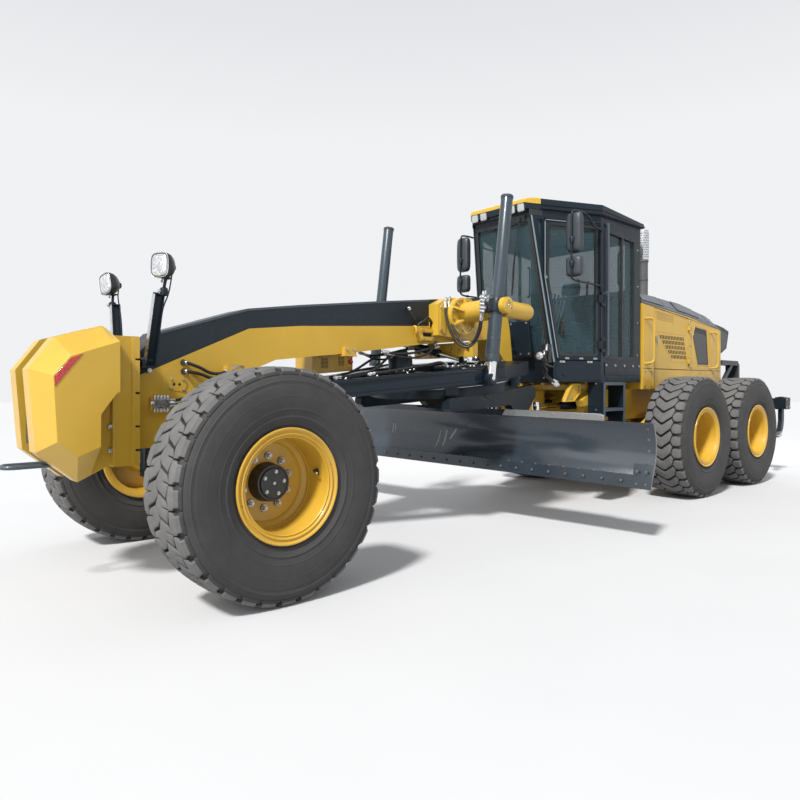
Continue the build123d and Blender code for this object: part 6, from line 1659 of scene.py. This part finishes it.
hk, hy, hb, hg2 = Part("hood_dark_lines", "void", "rear_frame"), Part("hood_folds", "yellow", "rear_frame"), Part("hood_bolts", "zinc", "rear_frame"), Part("hood_side_grilles", "grille", "rear_frame")
hn = Part("hood_grille_frames", "navy", "rear_frame")
W = [(7.090, 2.200), (7.446, 2.172), (7.515, 1.677), (7.179, 1.676), (7.022, 2.062)]
for s in (1, -1):
    face = (AY, AZ, AX * s)
    o = S(0, 0, 0)
    hg2.prism(o, face, W, 0.7690, 0.7708)
    hn.prism(o, face, [(7.0905, 2.199), (7.445, 2.171), (7.455, 2.100), (7.052, 2.130)], 0.7690, 0.7714)
    strip(hn, o, face, W, 0.014, 0.7690, 0.7735)
    strip(hy, o, face, inset_poly(W, -0.020), 0.008, 0.7690, 0.7730)
    # seam along the bottom, folds of the front post and of the rear corner
    for a0, a1 in ((5.604, 5.902), (6.888, 7.948)):
        hk.prism(o, face, [(a0, 1.5975), (a1, 1.5975), (a1, 1.5905), (a0, 1.5905)], 0.7690, 0.7708)
    hk.prism(o, face, [(5.902, 1.345), (5.907, 1.345), (5.907, 1.588), (5.902, 1.588)], 0.7690, 0.7708)
    hk.prism(o, face, [(6.962, 1.600), (6.966, 1.600), (6.966, 2.312), (6.962, 2.312)], 0.7690, 0.7706)
    strip(hy, o, face, [(5.612, 1.345), (5.620, 2.402), (5.640, 2.400), (5.632, 1.345)], 0.006, 0.7690, 0.7725)
    hy.prism(o, face, [(5.860, 1.350), (5.890, 1.350), (5.890, 1.575), (5.830, 1.640)], 0.7690, 0.7740)
    hy.prism(o, face, [(7.640, 1.640), (7.905, 1.640), (7.895, 2.130), (7.630, 2.170)], 0.7690, 0.7712)
    strip(hy, o, face, [(7.630, 1.630), (7.915, 1.630), (7.903, 2.138), (7.620, 2.178)], 0.008, 0.7690, 0.7730)
    hy.prism(o, face, [(6.975, 1.625), (7.560, 1.625), (7.560, 1.636), (6.975, 1.636)], 0.7690, 0.7716)
    for a, z in ((5.66, 1.56), (5.82, 1.56), (5.66, 1.37), (5.82, 1.37), (6.93, 2.27), (6.93, 1.66), (7.60, 2.16), (7.60, 1.66), (7.93, 2.10), (7.93, 1.66), (7.25, 1.56), (7.70, 1.56), (6.925, 1.93)):
        hb.hexbolt(S(s * 0.7705, a, z), AX * s, 0.0085, 0.008)
    # hinge knuckles beside the door
    for z in (1.68, 2.14):
        hb.lathe(S(s * 0.785, 6.905, z), AZ, [(0.0, 0.0), (0.0, 0.009), (0.070, 0.009), (0.070, 0.0)], 14)
        hy.prism(o, face, rounded([(6.893, z), (6.948, z), (6.948, z + 0.070), (6.893, z + 0.070)], 0.006), 0.7695, 0.7755)
        for dz in (0.018, 0.052):
            hb.hexbolt(S(s * 0.7755, 6.934, z + dz), AX * s, 0.0055, 0.005)
    # feet of the grab rails
    for a0, a1, z0, z1 in ((5.640, 5.760, 1.665, 2.235), (7.570, 7.690, 1.640, 2.160)):
        for z in (z0, z1):
            hy.lathe(S(s * 0.7695, a0 if a0 > 7 else a1, z), AX * s, [(0.0, 0.0), (0.0, 0.024), (0.004, 0.024), (0.006, 0.018)], 18)
hk.done()
hy.done(bevel=0.001)
hb.done()
hg2.done()
hn.done(bevel=0.001)

# radiator guard: cover plate, louvres, side frames, lamps
gc, gd, gb = Part("guard_covers", "cover", "rear_frame"), Part("guard_louvres", "dark", "rear_frame"), Part("guard_bolts", "zinc", "rear_frame")
gm, gr, ga = Part("guard_mesh", "grille", "rear_frame"), Part("tail_lamps_red", "red", "rear_frame"), Part("tail_lamps_amber", "amber", "rear_frame")
top_line = [(7.968, 2.3305), (8.250, 2.3005), (8.460, 2.2755), (8.676, 2.2265)]
for (y0, z0), (y1, z1) in zip(top_line, top_line[1:]):
    gc.prism(S(0, 0, 0), (AY, AZ, AX), [(y0 + 0.003, z0), (y1 - 0.003, z1), (y1 - 0.003, z1 + 0.012), (y0 + 0.003, z0 + 0.012)], -0.604, 0.604)
    for x in (-0.56, -0.28, 0.0, 0.28, 0.56):
        gb.hexbolt(S(x, (y0 + y1) / 2, (z0 + z1) / 2 + 0.012), AZ, 0.009, 0.009)
G = [(7.985, 2.300), (8.255, 2.275), (8.450, 2.250), (8.650, 2.205), (8.580, 1.985), (8.395, 1.905), (8.110, 1.885), (8.080, 1.500), (7.985, 1.500)]
for s in (1, -1):
    gm.prism(S(0, 0, 0), (AY, AZ, AX * s), G, 0.5995, 0.6010)
    strip(gd, S(0, 0, 0), (AY, AZ, AX * s), inset_poly(G, -0.012), 0.016, 0.5990, 0.6060)
    gd.prism(S(0, 0, 0), (AY, AZ, AX * s), [(8.245, 1.915), (8.262, 1.915), (8.262, 2.272), (8.245, 2.272)], 0.5990, 0.6060)
for k in range(9):
    t = (k + 0.5) / 9
    y, z = 8.680 - 0.080 * t, 2.225 - 0.257 * t
    gd.prism(S(0, 0, 0), (AY, AZ, AX), [(y - 0.004, z - 0.004), (y + 0.020, z + 0.010), (y + 0.020, z + 0.016), (y - 0.004, z + 0.004)], -0.585, 0.585)
for x in (-0.40, -0.20, 0.0, 0.20, 0.40):
    gd.prism(S(0, 0, 0), (AY, AZ, AX), [(8.674, 2.215), (8.692, 2.205), (8.618, 1.970), (8.600, 1.975)], x - 0.006, x + 0.006)
for s in (1, -1):
    gc.box(s * 0.600, s * 0.790, 7.970, 8.560, 1.7525, 1.7605)
    for y in (8.05, 8.28, 8.50):
        gb.hexbolt(S(s * 0.695, y, 1.7605), AZ, 0.010, 0.009)
    gd.prism(S(0, 0, 0), (AY, AZ, AX * s), rounded([(7.972, 1.41), (8.10, 1.41), (8.06, 1.50), (7.972, 1.50)], 0.01), 0.7900, 0.7960)
    gd.prism(S(0, 0, 0), (AX * s, AZ, AY), rounded([(0.625, 1.470), (0.765, 1.470), (0.765, 1.650), (0.625, 1.650)], 0.012), 8.620 + STA0 - STA0 - 0.001, 8.640)
    for z, q in ((1.605, gr), (1.515, ga)):
        rings = [squircle(S(s * 0.695, 8.640 + t, z), AX, AZ, 0.052 * k, 0.034 * k, 5.0, 28) for t, k in ((-0.001, 1.0), (0.010, 1.0), (0.014, 0.92), (0.016, 0.5), (0.0162, 0.05))]
        loft(q, rings)
gc.done(bevel=0.002)
gd.done(bevel=0.001)
gb.done()
gm.done()
gr.done(smooth=40)
ga.done(smooth=40)

# exhaust: sleeve with rows of holes, clamp rings, turned down outlet lip
ex, eh, ed = Part("exhaust_sleeve", "silver", "rear_frame"), Part("exhaust_holes", "void", "rear_frame"), Part("exhaust_lower", "cast", "rear_frame")
c = S(0.300, 6.500, 0)
ex.lathe(c, AZ, [(3.135, 0.0735), (3.140, 0.0760), (3.520, 0.0760), (3.532, 0.0745), (3.536, 0.0700), (3.534, 0.0640), (3.300, 0.0635), (3.300, 0.0725), (3.136, 0.0725)], 48, closed=True)
# the sleeve's holes are black discs painted as the shade inside them
for k in range(11):
    for i in range(20):
        a = 2 * math.pi * (i + 0.5 * (k % 2)) / 20
        q = Vector((math.cos(a), math.sin(a), 0))
        eh.cyl(c + AZ * (3.165 + 0.033 * k) + q * 0.0752, c + AZ * (3.165 + 0.033 * k) + q * 0.0766, 0.0068, n=8)
ed.lathe(c, AZ, [(2.545, 0.0), (2.545, 0.110), (2.560, 0.112), (2.575, 0.104), (2.585, 0.078), (2.62, 0.0655), (3.095, 0.0650), (3.100, 0.0720), (3.125, 0.0740), (3.131, 0.0700), (3.131, 0.0)], 40)
ed.lathe(c, AZ, [(2.84, 0.064), (2.842, 0.069), (2.862, 0.069), (2.864, 0.064)], 32)
for a in (0.4, 2.5, 4.6):
    ed.hexbolt(c + Vector((math.cos(a) * 0.095, math.sin(a) * 0.095, 2.572)), AZ, 0.009, 0.009)
ex.done(smooth=40)
eh.done()
ed.done(smooth=40)

# boarding steps: slatted treads, rolled stile edges
sp, sb = Part("step_treads", "navy_light", "rear_frame"), Part("step_bolts", "zinc", "rear_frame")
for s in (1, -1):
    for z in (0.508, 0.808, 1.108, 1.408):
        for k in range(5):
            sp.box(s * (0.668 + 0.036 * k), s * (0.682 + 0.036 * k), 4.585, 4.992, z, z + 0.006)
        sp.box(s * 0.8495, s * 0.8545, 4.580, 4.996, z - 0.030, z + 0.004)
        for y in (4.5600, 5.0160):
            sb.hexbolt(S(s * 0.745, y - (0.0 if y < 4.8 else 0.0), z - 0.014), -AY if y < 4.8 else AY, 0.009, 0.009)
    for y in (4.560, 5.000):
        sp.prism(S(0, 0, 0), (AX * s, AZ, AY), rounded([(0.846, 0.475), (0.853, 0.475), (0.853, 1.405), (0.846, 1.405)], 0.002), y + STA0 - STA0 - 0.010, y + 0.026)
sp.done(bevel=0.001)
sb.done()

# ripper: tips, pockets, end plates, pins
rt2, rp2, rz = Part("ripper_tips", "worn", "ripper_beam"), Part("ripper_pockets", "navy", "ripper_beam"), Part("ripper_pins", "zinc", "ripper_beam")
for x in (-1.18, -0.59, 0.0, 0.59, 1.18):
    rt2.side([(9.048, 0.572), (9.072, 0.566), (9.150, 0.592), (9.192, 0.640), (9.158, 0.672), (9.112, 0.648), (9.046, 0.598)], x - 0.034, x + 0.034)
    for q in (-1, 1):
        rp2.side([(9.145, 1.005), (9.3395, 1.005), (9.3395, 1.198), (9.145, 1.198)], x + q * 0.046 - 0.010, x + q * 0.046 + 0.010)
    rp2.side([(9.140, 1.010), (9.152, 1.010), (9.152, 1.192), (9.140, 1.192)], x - 0.052, x + 0.052)
    rz.cyl(S(x - 0.062, 9.240, 1.100), S(x + 0.062, 9.240, 1.100), 0.016, n=18)
    rz.cyl(S(x, 9.128, 0.655), S(x, 9.128, 0.655) + AX * 0.038, 0.008, n=12)
for s in (1, -1):
    rp2.side(rounded([(9.140, 1.008), (9.3395, 1.008), (9.3395, 1.192), (9.140, 1.192)], 0.02), s * 1.2695, s * 1.2795 if s > 0 else -1.2795)
    for y, z in ((9.17, 1.04), (9.32, 1.04), (9.17, 1.16), (9.32, 1.16)):
        rz.hexbolt(S(s * 1.2795, y, z), AX * s, 0.010, 0.009)
rt2.done(bevel=0.003)
rp2.done(bevel=0.002)
rz.done(smooth=35)
rl2 = Part("ripper_link_pins", "zinc", "ripper_links")
for s in (1, -1):
    rl2.lathe(S(s * 0.424, 8.300, 0.800), AX * s, [(0.0, 0.0), (0.0, 0.030), (0.006, 0.030), (0.009, 0.026), (0.009, 0.0)], 24)
rl2.done(smooth=35)

# ------------------------------------------------------- seat and cab inside
def cushion(name, body, o, ax, a, b, h, edge=0.45, crown=1.0, channels=(), cross=(), replaces=(), n=28, taper=0.0):
    """Crowned cushion on a flat underside, with sewn channels and a piped edge."""
    part = Part(name, "cloth", body)
    u_, v_, n_ = ax
    idx, vs, fs = {}, [], []

    def plan(u, v, k=1.0):
        x = a * k * u * math.sqrt(1 - 0.16 * v * v) * (1 - 0.030 * (1 - v * v) * abs(u)) * (1 - taper * (v + 1) / 2)
        y = b * k * v * math.sqrt(1 - 0.16 * u * u) * (1 - 0.030 * (1 - u * u) * abs(v))
        return x, y
    for layer in (0, 1):
        for i in range(n + 1):
            for j in range(n + 1):
                u, v = math.sin(math.pi / 2 * (2 * i / n - 1)), math.sin(math.pi / 2 * (2 * j / n - 1))
                x, y = plan(u, v, 0.975)
                z = 0.0
                if layer:
                    f = ((1 - u ** 4) * (1 - v ** 4)) ** 0.5
                    z = h * (edge + (1 - edge) * f * crown)
                    for c in channels:
                        z -= 0.010 * math.exp(-((u - c) / 0.045) ** 2) * min(1, 3 * f)
                    for c in cross:
                        z -= 0.010 * math.exp(-((v - c) / 0.045) ** 2) * min(1, 3 * f)
                idx[layer, i, j] = len(vs)
                vs.append(o + u_ * x + v_ * y + n_ * z)
    loop = [(i, 0) for i in range(n)] + [(n, j) for j in range(n)] + [(n - i, n) for i in range(n)] + [(0, n - j) for j in range(n)]
    mid = []
    for i, j in loop:
        u, v = math.sin(math.pi / 2 * (2 * i / n - 1)), math.sin(math.pi / 2 * (2 * j / n - 1))
        x, y = plan(u, v, 1.0)
        mid.append(len(vs))
        vs.append(o + u_ * x + v_ * y + n_ * (h * edge * 0.5))
    for i in range(n):
        for j in range(n):
            q = lambda l: (idx[l, i, j], idx[l, i + 1, j], idx[l, i + 1, j + 1], idx[l, i, j + 1])
            fs.append(q(1))
            fs.append(q(0)[::-1])
    m = len(loop)
    for k in range(m):
        (i0, j0), (i1, j1) = loop[k], loop[(k + 1) % m]
        fs.append((idx[0, i0, j0], idx[0, i1, j1], mid[(k + 1) % m], mid[k]))
        fs.append((mid[k], mid[(k + 1) % m], idx[1, i1, j1], idx[1, i0, j0]))
    part.add(vs, fs)
    ob = part.done(smooth=75, replaces=replaces)
    pipe = Part(name + "_piping", "black", body)
    line = [vs[idx[1, i, j]] for i, j in loop]
    pipe.tube(line + [line[0]], 0.0042, n=8, smooth=False)
    pipe.done(smooth=60)
    return ob


seat_ax = (AX, AY, AZ)
cushion("seat_cushion", "rear_frame", S(0, 4.825, 1.862), seat_ax, 0.252, 0.252, 0.096, channels=(-0.55, 0.55), cross=(-0.05,), replaces=("driver_seat",))
bd = Vector((0, 0.186, 0.983)).normalized()
bf = Vector((0, -0.983, 0.186)).normalized()
cushion("seat_back", "rear_frame", S(0, 5.128, 2.236), (AX, bd, bf), 0.240, 0.280, 0.082, channels=(-0.55, 0.55), cross=(-0.35, 0.2), taper=0.12)
hd = Vector((0, 0.16, 0.987)).normalized()
hf = Vector((0, -0.987, 0.16)).normalized()
cushion("seat_headrest", "rear_frame", S(0, 5.196, 2.612), (AX, hd, hf), 0.136, 0.086, 0.062, channels=())
for side_name, s in (("left", 1), ("right", -1)):
    cushion("seat_armrest_" + side_name, "rear_frame", S(s * 0.305, 4.840, 2.108), (AX, AY, AZ), 0.038, 0.196, 0.040, channels=(), n=16)
sf, sm = Part("seat_frame", "black", "rear_frame"), Part("seat_rails", "steel", "rear_frame")
rings = []
for k, z in enumerate([1.62 + 0.0225 * i for i in range(9)]):
    q = 0.175 if k % 2 else 0.190
    rings.append(squircle(S(0, 4.850, z), AX, AY, q, q - 0.04, 6.0, 32))
loft(sf, rings)
sf.box(-0.196, 0.196, 4.704, 4.996, 1.575, 1.622)
sf.box(-0.225, 0.225, 4.610, 5.060, 1.806, 1.838)
loft(sf, [squircle(S(0, 5.116, 2.236) - bf * t, AX, bd, 0.228 * k, 0.272 * k, 5.0, 32) for t, k in ((-0.010, 0.97), (0.004, 1.0), (0.018, 0.93), (0.024, 0.75))])
for s in (1, -1):
    sm.box(s * 0.140 - 0.018, s * 0.140 + 0.018, 4.62, 5.06, 1.840, 1.860)
    sm.box(s * 0.150 - 0.020, s * 0.150 + 0.020, 4.70, 5.00, 1.502, 1.575)
    sm.tube([S(s * 0.060, 5.135, 2.500), S(s * 0.060, 5.150, 2.560)], 0.006, n=10, smooth=False)
    sf.prism(S(0, 0, 0), (AY, AZ, AX), rounded([(4.962, 1.900), (5.035, 1.900), (5.035, 2.104), (4.975, 2.104)], 0.012), s * 0.262, s * 0.296)
    sf.box(s * 0.280, s * 0.332, 4.680, 5.034, 2.092, 2.106)
    # control pods with short sticks in front of the arm rests
    sf.prism(S(0, 0, 0), (AY, AZ, AX), rounded([(4.50, 2.060), (4.66, 2.060), (4.66, 2.130), (4.52, 2.150)], 0.02), s * 0.270, s * 0.350)
    sm.cyl(S(s * 0.310, 4.565, 2.145), S(s * 0.310, 4.550, 2.215), 0.007, n=12)
    sf.lathe(S(s * 0.310, 4.551, 2.205), Vector((0, -0.15, 1)), [(0.0, 0.010), (0.012, 0.019), (0.040, 0.023), (0.058, 0.017), (0.062, 0.0)], 18)
sf.done(smooth=45, bevel=0.002)
sm.done(bevel=0.001)

ci, cp_, ck = Part("cab_interior", "dark", "rear_frame"), Part("cab_interior_black", "black", "rear_frame"), Part("cab_interior_knobs", "steel", "rear_frame")
# right hand console, rear shelf, floor mat, kick panels
ci.prism(S(0, 0, 0), (AY, AZ, AX), rounded([(4.42, 1.505), (5.36, 1.505), (5.36, 2.02), (4.92, 2.06), (4.60, 1.92), (4.42, 1.78)], 0.04), -0.700, -0.400)
ci.prism(S(0, 0, 0), (AY, AZ, AX), rounded([(4.90, 1.505), (5.36, 1.505), (5.36, 1.98), (5.02, 1.98), (4.90, 1.80)], 0.04), 0.400, 0.700)
ci.box(-0.70, 0.70, 5.36, 5.500, 1.505, 2.46)
cp_.box(-0.60, 0.60, 4.12, 5.30, 1.502, 1.512)
for i in range(12):
    cp_.box(-0.56, 0.56, 4.20 + i * 0.085, 4.235 + i * 0.085, 1.512, 1.517)
# dash, monitor, column shroud
ci.prism(S(0, 0, 0), (AY, AZ, AX), rounded([(4.10, 1.505), (4.24, 1.505), (4.33, 1.88), (4.26, 2.02), (4.16, 2.02)], 0.03), -0.20, 0.20)
ci.prism(S(0, 4.305, 2.155), (AX, Vector((0, 0.35, 0.937)), Vector((0, -0.937, 0.35))), rounded([(-0.115, -0.075), (0.115, -0.075), (0.115, 0.065), (-0.115, 0.065)], 0.02), -0.010, 0.030)
cp_.prism(S(0, 4.305, 2.155), (AX, Vector((0, 0.35, 0.937)), Vector((0, -0.937, 0.35))), rounded([(-0.095, -0.055), (0.095, -0.055), (0.095, 0.048), (-0.095, 0.048)], 0.012), -0.013, -0.008)
ci.prism(S(-0.52, 4.62, 2.16), (Vector((0.80, 0.60, 0)), AZ, Vector((-0.60, 0.80, 0))), rounded([(-0.10, -0.08), (0.10, -0.08), (0.10, 0.08), (-0.10, 0.08)], 0.02), -0.02, 0.015)
ck.tube([S(-0.52, 4.66, 1.96), S(-0.53, 4.65, 2.04), S(-0.52, 4.635, 2.09)], 0.012, n=10)
# bank of levers on both sides of the column, with pale knobs
for k in range(5):
    for s in (1, -1):
        x = s * (0.225 + 0.026 * k)
        y0, y1 = 4.335 + 0.010 * k, 4.30 + 0.030 * k
        ck.tube([S(x, y0, 2.060), S(x + s * 0.004, y0 - 0.004, 2.20), S(x + s * 0.014, y1 - 0.02, 2.345)], 0.0058, n=8)
        cp_.lathe(S(x + s * 0.014, y1 - 0.022, 2.335), Vector((0, -0.10, 1)), [(0.0, 0.007), (0.008, 0.013), (0.026, 0.0165), (0.044, 0.015), (0.052, 0.008), (0.053, 0.0)], 14)
        ck.lathe(S(x + s * 0.014, y1 - 0.0275, 2.388), Vector((0, -0.10, 1)), [(-0.001, 0.0), (-0.001, 0.0085), (0.002, 0.0085), (0.003, 0.0)], 12)
        cp_.lathe(S(x, y0, 2.058), AZ, [(0.0, 0.017), (0.010, 0.015), (0.030, 0.008), (0.032, 0.0)], 12)
# fan of long lever rods at the left of the column
for k in range(6):
    a, b = S(0.350, 4.062 + 0.045 * k, 1.840), S(0.350, 4.163 + 0.071 * k, 2.390)
    ck.tube([a, a + (b - a) * 0.5, b], 0.0055, n=8, smooth=False)
    cp_.lathe(b, (b - a).normalized(), [(-0.004, 0.006), (0.000, 0.010), (0.030, 0.012), (0.034, 0.008), (0.034, 0.0)], 12)
    ck.lathe(b + (b - a).normalized() * 0.032, (b - a).normalized(), [(0.0, 0.006), (0.004, 0.012), (0.018, 0.014), (0.030, 0.010), (0.034, 0.0)], 12)
cp_.prism(S(0, 0, 0), (AY, AZ, AX), rounded([(4.03, 1.80), (4.32, 1.80), (4.32, 1.85), (4.03, 1.85)], 0.01), 0.325, 0.375)
# pedals
for x, w in ((-0.17, 0.045), (0.17, 0.045), (0.27, 0.035)):
    cp_.prism(S(x, 4.30, 1.60), (AX, Vector((0, 0.5, 0.866)), Vector((0, -0.866, 0.5))), rounded([(-w, -0.055), (w, -0.055), (w, 0.055), (-w, 0.055)], 0.012), -0.006, 0.010)
    ck.tube([S(x, 4.30, 1.60), S(x, 4.24, 1.58), S(x, 4.20, 1.52)], 0.009, n=8)
# roof lining, sun blind, lamps, grab handles
ci.box(-0.62, 0.62, 4.30, 5.44, 3.296, 3.325)
ci.prism(S(0, 0, 0), (AY, AZ, AX), rounded([(3.86, 3.325), (3.90, 3.20), (4.05, 3.20), (4.20, 3.29), (4.20, 3.325)], 0.02), -0.36, 0.36)
cp_.cyl(S(-0.34, 3.86, 3.215), S(0.34, 3.86, 3.215), 0.022, n=18)
ck.lathe(S(0, 4.80, 3.298), -AZ, [(0, 0.05), (0.008, 0.05), (0.016, 0.03), (0.018, 0.0)], 24)
for s in (1, -1):
    cp_.tube([S(s * 0.700, 5.200, 3.00), S(s * 0.665, 5.195, 2.98), S(s * 0.662, 5.19, 2.80), S(s * 0.665, 5.195, 2.62), S(s * 0.700, 5.200, 2.60)], 0.012, n=10)
    cp_.tube([DP(s, 0.10, 2.70, -0.05), DP(s, 0.13, 2.66, -0.075), DP(s, 0.18, 2.40, -0.08), DP(s, 0.22, 2.20, -0.075), DP(s, 0.24, 2.15, -0.05)], 0.011, n=10)
# belt reel and strap beside the seat
cp_.box(0.262, 0.300, 5.02, 5.09, 1.86, 1.95)
cp_.prism(S(0.281, 0, 0), (AY, AZ, AX), [(5.05, 1.94), (5.075, 1.94), (5.185, 2.40), (5.165, 2.40)], -0.014, -0.012)
ci.done(smooth=40, bevel=0.004)
cp_.done(smooth=40, bevel=0.001)
ck.done(smooth=40)

# ------------------------------------------------------------------- stage
me = bpy.data.meshes.new("floor")
me.from_pydata([(-60, -60, 0), (60, -60, 0), (60, 60, 0), (-60, 60, 0)], [], [(0, 1, 2, 3)])
floor = bpy.data.objects.new("floor", me)
SCENE.collection.objects.link(floor)
fm = Nodes("floor_pale")
fm.link(fm.mix(fm.span(fm.noise(0.6, 3), 0.3, 0.7, 0, 1), (0.50, 0.503, 0.51), (0.52, 0.523, 0.53)), fm.b.inputs["Base Color"])
fm.b.inputs["Roughness"].default_value = 0.9
me.materials.append(fm.mat)
floor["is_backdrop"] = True

world = bpy.data.worlds.new("studio")
SCENE.world = world
world.use_nodes = True
wt = world.node_tree
bg = wt.nodes["Background"]
tc = wt.nodes.new("ShaderNodeTexCoord")
sx = wt.nodes.new("ShaderNodeSeparateXYZ")
rp = wt.nodes.new("ShaderNodeValToRGB")
wt.links.new(tc.outputs["Generated"], sx.inputs[0])
wt.links.new(sx.outputs["Z"], rp.inputs["Fac"])
wt.links.new(rp.outputs["Color"], bg.inputs["Color"])
rp.color_ramp.elements[0].position, rp.color_ramp.elements[0].color = 0.35, (0.92, 0.93, 0.95, 1)
rp.color_ramp.elements[1].position, rp.color_ramp.elements[1].color = 0.95, (0.46, 0.49, 0.53, 1)
bg.inputs["Strength"].default_value = 0.95


def area(name, loc, target, size, power, col=(1, 1, 1)):
    l = bpy.data.lights.new(name, "AREA")
    l.shape, l.size, l.energy, l.color = "DISK", size, power, col
    o = bpy.data.objects.new(name, l)
    o.location = Vector(loc)
    o.rotation_euler = (Vector(target) - o.location).to_track_quat("-Z", "Y").to_euler()
    SCENE.collection.objects.link(o)


sun = bpy.data.lights.new("key", "SUN")
sun.energy, sun.angle, sun.color = 4.9, math.radians(7), (1, 0.985, 0.96)
so = bpy.data.objects.new("key", sun)
so.rotation_euler = (Vector((0, 0, 0)) - Vector((2.5, -6.4, 8.0))).to_track_quat("-Z", "Y").to_euler()
SCENE.collection.objects.link(so)
area("fill_front", (2.0, -11, 4.0), (0, -2, 1.2), 6, 120)
area("rim_rear", (-6, 8, 7), (0, 1, 1.5), 6, 260)

SCENE.view_settings.view_transform = "Standard"
SCENE.view_settings.look = "None"

lo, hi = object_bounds()
